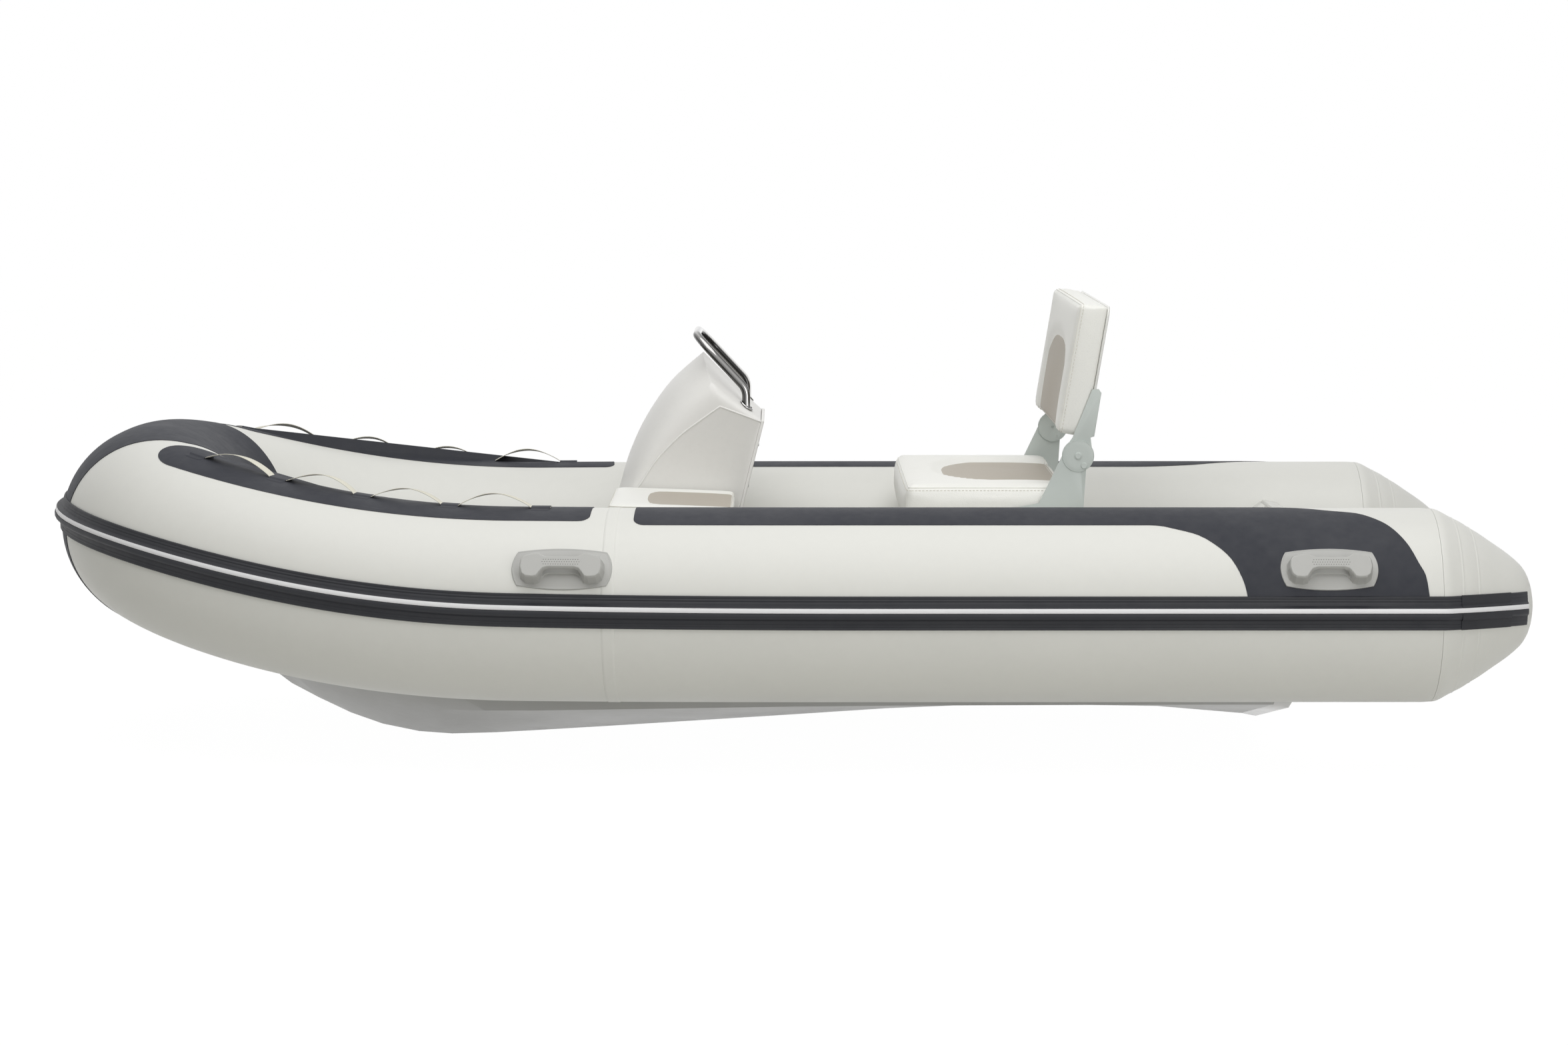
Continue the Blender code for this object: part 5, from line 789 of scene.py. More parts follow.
# The tube and what is glued to it
@dataclass
class TubeShape:
    """The surface of the buoyancy tube, which every glued piece follows.

    Places on it are given as s, the length along the centre line from the bow, positive to
    starboard, and an angle measured up from the side that faces out.
    """

    radius: float = 0.225
    offset: float = 0.6275
    height: float = 0.397
    curve_length: float = 1.756
    fullness: float = 3.05
    bow_centre_x: float = -1.5095
    cone_start_x: float = 1.516
    cone_length: float = 0.239
    sheer_start: float = -0.59
    sheer_rise: float = 0.149
    sheer_power: float = 2.09
    edge_drop: float = 0.3
    cone_profile: tuple[Point2, ...] = ((0.0, 1.0), (0.16, 0.931), (0.335, 0.831), (0.544, 0.687),
                                        (0.866, 0.429), (0.93, 0.33), (0.98, 0.17), (1.0, 0.0))

    def __post_init__(self) -> None:
        """Measure the bow curve once."""
        self.curve_start = self.bow_centre_x + self.curve_length
        fine = 1200
        self.points: list[Point2] = []
        for step in range(fine + 1):
            turn = math.pi / 2 * step / fine
            x = self.curve_start - self.curve_length * math.sin(turn) ** (2 / self.fullness)
            y = self.offset * max(0.0, math.cos(turn)) ** (2 / self.fullness)
            self.points.append((x, y))
        self.lengths = [0.0]
        for first, second in zip(self.points, self.points[1:]):
            climb = self.sheer(second[0]) - self.sheer(first[0])
            self.lengths.append(self.lengths[-1] + math.hypot(math.dist(first, second), climb))
        self.bow_arc = self.lengths[-1]
        self.stern = self.bow_arc + self.cone_start_x - self.curve_start

    def sheer(self, x: float) -> float:
        """How far the centre line has climbed at x."""
        reach = (self.sheer_start - x) / (self.sheer_start - self.bow_centre_x)
        return self.sheer_rise * max(0.0, reach) ** self.sheer_power

    def plan(self, s: float) -> Point2:
        """Plan place of the starboard centre line."""
        wanted = self.bow_arc - s
        if wanted <= 0:
            return self.curve_start - wanted, self.offset
        low, high = 0, len(self.lengths) - 1
        while high - low > 1:
            middle = (low + high) // 2
            if self.lengths[middle] <= wanted:
                low = middle
            else:
                high = middle
        share = (wanted - self.lengths[low]) / (self.lengths[high] - self.lengths[low])
        a, b = self.points[low], self.points[high]
        return a[0] + (b[0] - a[0]) * share, a[1] + (b[1] - a[1]) * share

    def centre(self, s: float) -> Vector:
        """Centre of the tube at s."""
        x, y = self.plan(abs(s))
        return Vector((x, math.copysign(y, s) if s else 0.0, self.height + self.sheer(x)))

    def frame(self, s: float) -> tuple[Vector, Vector, Vector]:
        """Directions along the tube to port, away from the cockpit, and up across it."""
        step = self.bow_arc / 1500
        travel = (self.centre(s - step) - self.centre(s + step)).normalized()
        out = Vector((travel.y, -travel.x, 0.0)).normalized()
        return travel, out, out.cross(travel)

    def radius_at(self, s: float) -> float:
        """Radius of the tube or its cone at s."""
        past = (abs(s) - self.stern) / self.cone_length
        return self.radius if past <= 0 else self.radius * smooth_table(self.cone_profile, min(1.0, past))

    def normal(self, s: float, angle: float) -> Vector:
        """Direction out of the tube."""
        _, out, rise = self.frame(s)
        return out * math.cos(angle) + rise * math.sin(angle)

    def point(self, s: float, angle: float, lift: float = 0.0) -> Vector:
        """A point on the tube, or standing off it."""
        return self.centre(s) + self.normal(s, angle) * (self.radius_at(s) + lift)

    def s_at(self, x: float) -> float:
        """Length along the starboard line at x."""
        if x >= self.curve_start:
            return self.bow_arc + x - self.curve_start
        low, high = 0.0, self.bow_arc
        for _ in range(40):
            middle = (low + high) / 2
            if self.plan(middle)[0] < x:
                low = middle
            else:
                high = middle
        return (low + high) / 2

    def angle_of_offset(self, offset: float) -> float:
        """Angle on the upper side at a plan distance out from the centre line."""
        return math.acos(within(offset / self.radius, -1.0))

    def patch(self, name: str, stations: Sequence[float], low: Callable[[float], float],
              high: Callable[[float], float], across: int, lift: float, thickness: float) -> bpy.types.Object:
        """A glued patch: rows along s, each from its low angle to its high angle.

        Args:
            name: the object's name.
            stations: the places along the tube.
            low: the lower edge's angle at a station.
            high: the upper edge's angle at a station.
            across: points across each row.
            lift: gap under the patch.
            thickness: thickness of the patch.

        Returns:
            The closed patch, its edge rounded down to the tube.
        """
        top = lift + thickness
        edge = top - thickness * self.edge_drop
        last = len(stations) - 1
        rows, uvs = [], []
        for index, s in enumerate(stations):
            bottom, crest = low(s), high(s)
            angles = [bottom, *spread(bottom, crest, across), crest]
            end = index in (0, last)
            lifts = [lift, edge, *[edge if end else top] * (across - 2), edge, lift]
            row = [self.point(s, angle, value) for angle, value in zip(angles, lifts)]
            foot = [self.point(s, angle, lift) for angle in angles]
            places = [(s, angle * self.radius) for angle in angles]
            rows += [foot] * (index == 0) + [row] + [foot] * (index == last)
            uvs += [places] * (2 if end else 1)
        return seal(grid_sheet(name, rows, uvs), 50.0, merged=True)


@dataclass
class BuoyancyTube:
    """The inflated tube: a bow chamber, two side chambers, their stern cones and seam tapes."""

    shape: TubeShape
    shop: Workshop
    sides: int = 96
    bow_steps: int = 72
    side_steps: int = 48
    seam_x: float = -0.37
    gap: float = 0.0006
    tape_width: float = 0.030
    tape_rise: float = 0.0009
    cone_seams_x: tuple[float, ...] = (1.565, 1.605)
    swell: float = 0.0011
    swell_reach: float = 0.012
    dense: float = 0.05
    weld_depth: float = 0.0010
    weld_width: float = 0.0016
    weld_zone: float = 0.006
    tip_rings: tuple[float, ...] = (0.0025, 0.001, 0.0002)
    tip_zone: float = 0.004

    def ring(self, s: float, lift: float) -> tuple[list[Vector], list[Point2]]:
        """One ring round the tube with its UV places."""
        angles = [2 * math.pi * step / self.sides for step in range(self.sides)]
        places = [self.shape.point(s, angle, lift) for angle in angles]
        return places, [(s, angle * self.shape.radius) for angle in angles]

    def length(self, name: str, stations: Sequence[float], swell: Callable[[float], float],
               ) -> bpy.types.Object:
        """A closed length of tube through its stations."""
        rows, uvs = zip(*[self.ring(s, swell(s)) for s in stations])
        return seal(grid_sheet(name, rows, uvs, closed=True), 45.0)

    def tightened(self, s: float) -> float:
        """The cloth draws in slightly towards each taped seam and weld."""
        seams = [self.shape.s_at(self.seam_x), self.shape.stern]
        seams += [self.shape.s_at(x) for x in self.cone_seams_x]
        near = min(abs(abs(s) - seam) for seam in seams)
        return -self.swell * math.exp(-((near / self.swell_reach) ** 2))

    def build(self) -> None:
        """Make the chambers, the cones and the seam tapes."""
        shape = self.shape
        seam, half = shape.s_at(self.seam_x), self.gap / 2
        bow = spread(-seam + half, seam - half, 2 * self.bow_steps + 1)
        chamber = self.length("bow_tube", bow, self.tightened)
        self.shop.fit(chamber, Finishes.IVORY, replaces=["bow_tube_chamber"])
        for side in Side:
            sign = side.value
            along = sorted({*spread(seam + half, shape.stern - half, self.side_steps),
                            *spread(seam + half, seam + self.dense, 8),
                            *spread(shape.stern - self.dense, shape.stern - half, 8)})
            along = [sign * s for s in along]
            tube = self.length(side.word + "_tube", along, self.tightened)
            self.shop.fit(tube, Finishes.IVORY, replaces=[side.word + "_tube_chamber"])
            self.cone(side)
            tape = self.tape(side.word + "_chamber_seam_tape", sign * seam)
            self.shop.fit(tape, Finishes.IVORY)

    def cone(self, side: Side) -> None:
        """A stern cone with two welded seams that pinch its cloth."""
        shape = self.shape
        start = shape.stern + self.gap / 2
        end = shape.stern + shape.cone_length
        welds = [shape.s_at(x) for x in self.cone_seams_x]
        along = set(spread(start, end - self.tip_zone, 44))
        for weld in welds:
            along |= set(spread(weld - self.weld_zone, weld + self.weld_zone, 9))
        along = sorted(along) + [end - ring for ring in self.tip_rings]

        def pinch(s: float) -> float:
            """Rise of the cloth at the welds, and its draw towards the seams."""
            depth = self.tightened(s)
            for weld in welds:
                depth += self.weld_depth * math.exp(-(((abs(s) - weld) / self.weld_width) ** 2))
            return depth

        cone = self.length(side.word + "_cone", [side.value * s for s in along], pinch)
        self.shop.fit(cone, Finishes.IVORY, replaces=[side.word + "_stern_cone"])

    def tape(self, name: str, middle: float) -> bpy.types.Object:
        """A seam tape round the tube, a little proud of it."""
        half = self.tape_width / 2
        stations = eased(middle - half, middle + half, 7)
        lifts = [-self.tape_rise, *[self.tape_rise] * (len(stations) - 2), -self.tape_rise]
        rows, uvs = zip(*[self.ring(s, lift) for s, lift in zip(stations, lifts)])
        inner, inner_uv = self.ring(middle, -self.tape_rise * 3)
        item = grid_sheet(name, [inner, *rows, inner], [inner_uv, *uvs, inner_uv], closed=True)
        return seal(item, 50.0, merged=True, capped=False)


@dataclass
class TubePanels:
    """The dark fabric panels glued on the tube."""

    shape: TubeShape
    shop: Workshop
    lift: float = 0.0003
    thickness: float = 0.0013
    outer: float = 0.095
    inner: float = 0.058
    corner: float = 0.025
    tip: float = 0.325
    fore_end_x: float = -0.4205
    aft_start_x: float = -0.3205
    aft_outer: float = 0.109
    sweep_start_x: float = 0.8585
    sweep_foot_x: float = 1.0745
    aft_end_x: float = 1.487
    nose_half: float = 0.30
    throat_half: float = 0.20
    nose_inner_x: float = -1.20
    nose_shoulder_x: float = -1.40
    stem_x: float = -1.44
    strake_edge: float = math.radians(7.6)
    strake_lap: float = 0.6
    point_half: float = 0.0012
    tail_x: float = 1.39
    foot_run: float = 0.002
    sweep_front: tuple[Point2, ...] = ((0.12, 0.992), (0.25, 0.965), (0.486, 0.905), (0.68, 0.79),
                                       (0.82, 0.655), (0.903, 0.505), (0.958, 0.353), (0.986, 0.207),
                                       (1.0, 0.10))
    crest_turns: tuple[Point2, ...] = ((0.93, 1.0), (1.065, 0.8))
    top_x: float = 1.20
    outer_offsets: tuple[Point2, ...] = ((1.2735, 0.035), (1.336, 0.0545), (1.375, 0.084), (1.401, 0.109))
    tail_heights: tuple[Point2, ...] = ((1.4405, 0.158), (1.4615, 0.1188), (1.4764, 0.0895), (1.4824, 0.0472),
                                        (1.487, 0.012))

    def build(self) -> None:
        """Make the nose panels, the fore strips and the aft panels."""
        self.nose("nose_panel", "bow_nose_panel", True)
        self.nose("nose_underside", "bow_underside_panel", False)
        for side in Side:
            self.fore_strip(side)
            self.aft_panel(side)

    def fore_strip(self, side: Side) -> None:
        """The grip strip on top of the bow quarter, with a round front end."""
        shape, sign = self.shape, side.value
        radius = (self.outer + self.inner) / 2
        middle = (self.outer - self.inner) / 2
        end = shape.s_at(self.fore_end_x)
        start = self.tip
        centre = start + radius

        def half(s: float) -> float:
            """Half width of the strip in plan."""
            s = abs(s)
            if s < centre:
                return max(self.point_half, arc_height(radius, centre - s))
            if s > end - self.corner:
                return radius - self.corner + arc_height(self.corner, s - (end - self.corner))
            return radius

        nose = [centre - radius * math.cos(turn) for turn in spread(0.0, math.pi / 2, 15)]
        tail = [end - self.corner + self.corner * math.sin(turn) for turn in spread(0.0, math.pi / 2, 7)]
        stations = nose + spread(centre, end - self.corner, 32)[1:-1] + tail
        item = shape.patch(side.word + "_fore_strip", [sign * s for s in stations],
                           lambda s: shape.angle_of_offset(middle + half(s)),
                           lambda s: shape.angle_of_offset(middle - half(s)), 15, self.lift, self.thickness)
        self.shop.fit(item, Finishes.GREY, replaces=[side.word + "_fore_top_strip"])

    def edge_angles(self) -> tuple[list[Point2], list[Point2]]:
        """Lower and upper edges of the aft panel, as x and angle."""
        shape = self.shape
        drop = shape.radius * math.sin(math.acos(self.aft_outer / shape.radius))
        base = shape.angle_of_offset(self.aft_outer)
        foot = self.strake_edge * self.strake_lap
        run = self.sweep_foot_x - self.sweep_start_x
        low = [(self.aft_start_x, base), (self.sweep_start_x, base)]
        low += [(self.sweep_start_x + run * ahead, math.asin(drop * rise / shape.radius))
                for ahead, rise in self.sweep_front]
        low += [(self.sweep_foot_x + self.foot_run, foot), (self.aft_end_x, foot)]
        high = [(self.aft_start_x, shape.angle_of_offset(-self.inner))]
        high += [(x, shape.angle_of_offset(-self.inner * share)) for x, share in self.crest_turns]
        high.append((self.top_x, math.pi / 2))
        high += [(x, shape.angle_of_offset(offset)) for x, offset in self.outer_offsets]
        high += [(x, math.asin(rise / shape.radius)) for x, rise in self.tail_heights]
        return low, high

    def aft_panel(self, side: Side) -> None:
        """The long panel that runs aft on top and sweeps down to the strake."""
        shape, sign = self.shape, side.value
        low, high = self.edge_angles()

        def x_of(s: float) -> float:
            """Place along the boat of a place along the tube."""
            return shape.plan(abs(s))[0]

        def rounding(x: float) -> float:
            """How far the front corners are cut back, as an angle."""
            past = self.aft_start_x + self.corner - x
            if past <= 0:
                return 0.0
            return (self.corner - arc_height(self.corner, past)) / shape.radius

        xs = [self.aft_start_x + self.corner * (1 - math.cos(turn)) for turn in spread(0.0, math.pi / 2, 7)]
        xs += spread(self.aft_start_x + self.corner, self.sweep_start_x, 26)[1:]
        xs += [self.sweep_start_x + (self.sweep_foot_x - self.sweep_start_x) * math.sin(turn)
               for turn in spread(0.0, math.pi / 2, 22)][1:]
        xs += [self.sweep_foot_x + self.foot_run]
        xs += spread(self.sweep_foot_x + 0.01, self.tail_x, 24)
        xs += [self.tail_x + (self.aft_end_x - self.tail_x) * math.sin(turn)
               for turn in spread(0.0, math.pi / 2, 20)][1:]
        stations = [sign * shape.s_at(x) for x in xs]
        item = shape.patch(side.word + "_aft_panel", stations,
                           lambda s: smooth_table(low, x_of(s)) + rounding(x_of(s)),
                           lambda s: smooth_table(high, x_of(s)) - rounding(x_of(s)),
                           25, self.lift, self.thickness)
        self.shop.fit(item, Finishes.GREY, replaces=[side.word + "_aft_side_panel"])

    def nose_limit(self, angle: float, lift: float) -> float:
        """Half length of the nose panel along the tube at an angle."""
        low, high = 0.02, 0.60
        for _ in range(36):
            s = (low + high) / 2
            place = self.shape.point(s, angle, lift)
            share = (place.x - self.nose_shoulder_x) / (self.nose_inner_x - self.nose_shoulder_x)
            limit = lerp(self.nose_half, self.throat_half, within(share))
            if abs(place.y) < limit:
                low = s
            else:
                high = s
        return (low + high) / 2

    def nose(self, name: str, node: str, above: bool) -> None:
        """A nose panel: rows of equal angle, each as long as the panel is there.

        Args:
            name: the piece's name.
            node: the CAD node that it replaces.
            above: whether it is the panel over the tube or the one under it.
        """
        shape = self.shape
        lift, top = self.lift, self.lift + self.thickness
        if above:
            angles = spread(math.radians(16.0), math.radians(222.0), 60)
        else:
            reach = (shape.bow_centre_x - self.stem_x) / (shape.radius + top)
            angles = spread(-math.acos(reach), math.radians(-0.5), 30)
        rows, uvs = [], []
        span = spread(-1.0, 1.0, 61)
        last = len(angles) - 1
        for index, angle in enumerate(angles):
            half = self.nose_limit(angle, top)
            rim = index in (0, last)
            height = top - (self.thickness * shape.edge_drop if rim else 0.0)
            foot = [shape.point(share * half, angle, lift) for share in [-1.0, *span, 1.0]]
            row = [foot[0], *[shape.point(share * half, angle, height) for share in span], foot[-1]]
            places = [(share * half, angle * shape.radius) for share in [-1.0, *span, 1.0]]
            rows += [foot] * (index == 0) + [row] + [foot] * (index == last)
            uvs += [places] * (2 if rim else 1)
        item = seal(grid_sheet(name, rows, uvs), 50.0, merged=True)
        self.shop.fit(item, Finishes.GREY, replaces=[node])


@dataclass
class RubStrake:
    """The rubber strake round the outside of the tube, its white stripe and its stern ends."""

    shape: TubeShape
    shop: Workshop
    half_width: float = 0.0385
    band: float = 0.0042
    lift: float = 0.0018
    bead_half: float = 0.0165
    proud: float = 0.0205
    set_back: float = 0.0028
    stripe_width: float = 0.0108
    stripe_depth: float = 0.0014
    end_share: float = 0.89
    angle_aft: float = math.radians(2.0)
    angle_bow: float = math.radians(8.0)
    end_start_x: float = 1.5576
    end_finish_x: float = 1.684
    end_proud: float = 0.0012
    groove_shares: tuple[float, float] = (0.70, 0.42)
    groove_half: float = 0.0016
    groove_depth: float = 0.0009
    seat_depth: float = 0.0012
    bead_round: tuple[Point2, ...] = ((0.97, 0.02), (1.0, 0.12), (1.0, 0.40), (0.975, 0.54), (0.90, 0.67),
                                      (0.78, 0.78), (0.62, 0.86))
    uv_pitch: float = 0.003

    def angle(self, s: float) -> float:
        """Angle of the strake's middle on the tube."""
        reach = (self.shape.curve_start - self.shape.plan(abs(s))[0]) / self.shape.curve_length
        return lerp(self.angle_aft, self.angle_bow, within(reach) ** 2)

    def fall(self, s: float, y: float) -> float:
        """How far the tube falls away behind a point across the strake."""
        radius = max(self.shape.radius_at(s), abs(y) * 1.05)
        return radius - math.sqrt(radius**2 - y**2)

    def place(self, s: float, out: float, up: float) -> Vector:
        """A point of a section that stands on the tube at s."""
        angle = self.angle(s)
        _, away, rise = self.shape.frame(s)
        normal = away * math.cos(angle) + rise * math.sin(angle)
        across = rise * math.cos(angle) - away * math.sin(angle)
        fall = self.fall(s, up) if abs(up) > self.bead_half * 0.95 else 0.0
        reach = self.shape.radius_at(s) + out - fall
        return self.shape.centre(s) + normal * reach + across * up

    def body_section(self) -> list[Point2]:
        """Outer outline of the strake, from its upper edge over the bead to its lower edge."""
        w, bead, band, low = self.half_width, self.bead_half, self.band + self.lift, self.lift
        face = self.proud - self.set_back
        seat = face - self.seat_depth

        def groove(y: float) -> list[Point2]:
            """Outline of one shallow groove along the band."""
            return [(band, y + self.groove_half), (band - self.groove_depth, y), (band, y - self.groove_half)]

        upper = [(low, w), (band * 0.72, w), (band, w - 0.0012)]
        for share in self.groove_shares:
            upper += groove(lerp(bead, w, share))
        upper += [(band, bead * 1.08), (band + 0.0016, bead * 0.99), (face * 0.72, bead * 0.90),
                  (face * 0.94, bead * 0.83), (face, bead * 0.76)]
        upper += [(seat, bead * 0.74), (seat, bead * 0.04), (face, bead * 0.02)]
        lower = [(self.proud * out, -bead * down) for out, down in self.bead_round]
        lower += [(band + 0.0016, -bead * 0.95), (band, -bead * 1.05)]
        for share in self.groove_shares[::-1]:
            lower += groove(-lerp(bead, w, share))
        lower += [(band, -w + 0.0012), (band * 0.72, -w), (low, -w)]
        back = [(low, -w * share) for share in (0.5, 0.0, -0.5)]
        return upper + lower + back

    def stripe_section(self) -> list[Point2]:
        """Closed outline of the stripe, gently crowned."""
        low = self.bead_half * 0.06
        near = self.proud - self.set_back - self.seat_depth
        far = self.proud - self.set_back + self.stripe_depth
        top = low + self.stripe_width
        return [(near, top), (far - 0.0008, top), (far - 0.0002, top - 0.0012), (far, (low + top) / 2),
                (far - 0.0002, low + 0.0012), (far - 0.0008, low), (near, low)]

    def sweep(self, name: str, section: Sequence[Point2], stations: Sequence[float]) -> bpy.types.Object:
        """Carry a closed section along the tube, capped at both ends.

        Args:
            name: the object's name.
            section: the outline, outwards and upwards.
            stations: places along the tube.

        Returns:
            The closed sweep.
        """
        rows = [[self.place(s, out, up) for out, up in section] for s in stations]
        uvs = [[(s, index * self.uv_pitch) for index in range(len(section))] for s in stations]
        return seal(grid_sheet(name, rows, uvs, closed=True), 38.0)

    def build(self) -> None:
        """Make the strake, its stripe and the moulded sections at the stern ends."""
        shape = self.shape
        end = shape.stern + shape.cone_length * self.end_share
        bow = spread(-shape.bow_arc, shape.bow_arc, 141)
        sides = spread(shape.bow_arc, shape.stern, 20)[1:] + spread(shape.stern, end, 24)[1:]
        along = [-s for s in reversed(sides)] + bow + sides
        strake = self.sweep("strake_body", self.body_section(), along)
        self.shop.fit(strake, Finishes.STRAKE, replaces=["rub_strake"])
        stripe = self.sweep("strake_stripe_face", self.stripe_section(), along)
        self.shop.fit(stripe, Finishes.STRIPE, replaces=["strake_stripe"])
        for side in Side:
            self.stern_end(side)

    def stern_end(self, side: Side) -> None:
        """A moulded section that laps over the strake's bands near each stern cone."""
        shape, sign = self.shape, side.value
        start, finish = shape.s_at(self.end_start_x), shape.s_at(self.end_finish_x)
        w, bead = self.half_width + self.end_proud, self.bead_half
        band = self.band + self.lift + self.end_proud
        for word, turn in (("upper", 1.0), ("lower", -1.0)):
            edge = bead * (0.80 if turn > 0 else 0.12)
            crest = self.proud - (self.set_back if turn > 0 else 0.0) + self.end_proud
            section = [(self.lift, w * turn), (band, (w - 0.0006) * turn), (band, bead * 1.12 * turn),
                       (crest * 0.72, bead * 0.97 * turn), (crest * 0.95, bead * 0.88 * turn),
                       (crest, edge * turn), (crest - 0.002, edge * turn), (self.lift, bead * 0.7 * turn)]
            item = self.sweep(f"{side.word}_strake_end_{word}", section,
                              [sign * s for s in spread(start, finish, 18)])
            self.shop.fit(item, Finishes.STRAKE_END)


# Cushions
@dataclass
class Cushion:
    """One foam cushion in a sewn vinyl cover, with a sunken insert of another colour.

    It is made lying with its face up, then carried to its place by a matrix.

    Attributes:
        name: the piece's name.
        node: the CAD cushion.
        insert_node: the CAD insert.
        low: lowest corner, lying.
        high: highest corner, lying, without the crown.
        edge: radius of the rounded edges.
        crown: rise of the middle.
        bulge: how far the sides stand out between the corners.
        body: the body that it moves with.
        insert_front: x of the insert's bowed edge.
        insert_bow: how far the bowed edge runs back at its ends.
        insert_half: half width of the insert.
        insert_middle: y of the insert's middle.
        sink: depth of the insert.
        roll: width of the slope down to it.
        open_high: whether the insert runs out over the high x edge, or else the low one.
        place: carries it from lying to where it belongs.
        warp: moves the lying points before that.
        cells: divisions along x, y and z.
        pressure: pressure in the cover while it fills.
        swell_limit: the most that a point of it may move then.
        frames: length of the filling, in frames.
        base_edge: radius of the edges round the base.
        stitch: length of a stitch.
        stitch_pitch: distance from one stitch to the next.
        thread: radius of the thread.
        welt: radius of the piping.
        insert_corner: radius of the insert's corners.
        base_held: height, from -1 to 1, under which the base is held.
        insert_held: share of the slope round the insert that is held.
        insert_rise: how far the insert stands off the sunken floor.
        rim_rise: the same at its rim.
        insert_margin: gap round the insert.
        insert_reach: share of the rounded edge that the insert leaves free.
        insert_depth: thickness of the insert.
        welt_lean: how far up from level the welt runs round the edge, as an angle.
        stitch_lean: the same for the stitches.
        stitch_step: distance between the points that the stitches follow.
    """

    name: str
    node: str
    insert_node: str
    low: tuple[float, float, float]
    high: tuple[float, float, float]
    edge: float
    crown: float
    bulge: float
    body: Body
    insert_front: float
    insert_bow: float
    insert_half: float
    insert_middle: float = 0.0
    sink: float = 0.012
    roll: float = 0.020
    open_high: bool = True
    place: Matrix = field(default_factory=lambda: Matrix.Identity(4))
    warp: Callable[[Vector], Vector] = lambda point: point
    cells: tuple[int, int, int] = (34, 72, 14)
    pressure: float = 3.0
    swell_limit: float = 0.0022
    frames: int = 12
    base_edge: float = 0.006
    stitch: float = 0.0052
    stitch_pitch: float = 0.0085
    thread: float = 0.00065
    welt: float = 0.0014
    insert_corner: float = 0.022
    base_held: float = -0.3
    insert_held: float = 0.6
    insert_rise: float = 0.0016
    rim_rise: float = 0.0002
    insert_margin: float = 0.0015
    insert_reach: float = 0.30
    insert_depth: float = 0.004
    welt_lean: float = math.radians(48.0)
    stitch_lean: float = math.radians(17.0)
    stitch_step: float = 0.02

    @property
    def heading(self) -> int:
        """Which way along x the insert runs from its bowed edge."""
        return 1 if self.open_high else -1

    def front_at(self, across: float) -> float:
        """Place of the bowed edge at a share of the insert's half width."""
        return self.insert_front + self.insert_bow * min(1.0, abs(across)) ** 3 * self.heading

    def inside(self, x: float, y: float) -> float:
        """Distance from the insert's edge, positive inside it."""
        across = abs(y - self.insert_middle) / self.insert_half
        ahead = (x - self.front_at(across)) * self.heading
        side = (1 - across) * self.insert_half
        corner = self.insert_corner
        if ahead < corner and side < corner:
            return corner - math.hypot(corner - ahead, corner - side)
        return min(ahead, side)

    def drop(self, x: float, y: float) -> float:
        """How far the cover is drawn down at a place, towards the insert."""
        return self.sink * soft_step((self.inside(x, y) + self.roll) / self.roll)

    def shaped(self, unit: Vector) -> Vector:
        """Carry a point of the unit cube onto the cushion's rounded form."""
        low, high = Vector(self.low), Vector(self.high)
        half = (high - low) / 2 - Vector((self.bulge, self.bulge, 0.0))
        middle = (high + low) / 2
        flat_share = 0.72
        edge = lerp(self.edge, self.base_edge, within(-2 * unit.z))
        point = Vector((0.0, 0.0, 0.0))
        for axis in range(3):
            flat = half[axis] - edge
            size = abs(unit[axis])
            reach = flat * size / flat_share
            if size > flat_share:
                reach = flat + edge * (size - flat_share) / (1 - flat_share)
            point[axis] = math.copysign(reach, unit[axis])
        inner = Vector([within(point[k], edge - half[k], half[k] - edge) for k in range(3)])
        rest = point - inner
        if rest.length > 0:
            point = inner + rest * (max(abs(value) for value in rest) / rest.length)
        u, v, w = (point[k] / half[k] for k in range(3))
        side = self.bulge * max(0.0, 1 - w**2)
        point.x += side * u * abs(u) ** 3 * (1 - v**4)
        point.y += side * v * abs(v) ** 3 * (1 - u**4)
        if w > 0:
            point.z += self.crown * (1 - u**4) * (1 - v**4)
        return middle + point

    def cover(self) -> bpy.types.Object:
        """The filled cover, before its seams."""
        deselect_all()
        bpy.ops.mesh.primitive_cube_add(size=2.0)
        item = bpy.context.object
        item.name = self.name
        held = []
        with editing(item) as work:
            for axis in range(3):
                along = [edge for edge in work.edges
                         if abs(edge.verts[0].co[axis] - edge.verts[1].co[axis]) > 0.1]
                bmesh.ops.subdivide_edges(work, edges=along, cuts=self.cells[axis] - 1, use_grid_fill=True)
            for vert in work.verts:
                up = vert.co.z
                vert.co = self.shaped(vert.co)
                top = vert.co.z > self.high[2] - self.edge
                if top:
                    vert.co.z -= self.drop(vert.co.x, vert.co.y)
                on_insert = top and self.inside(vert.co.x, vert.co.y) > -self.roll * self.insert_held
                if up < self.base_held or on_insert:
                    held.append(vert.index)
            bmesh.ops.recalc_face_normals(work, faces=work.faces)
        self.fill_with_air(item, held)
        item.data.shade_smooth()
        return item

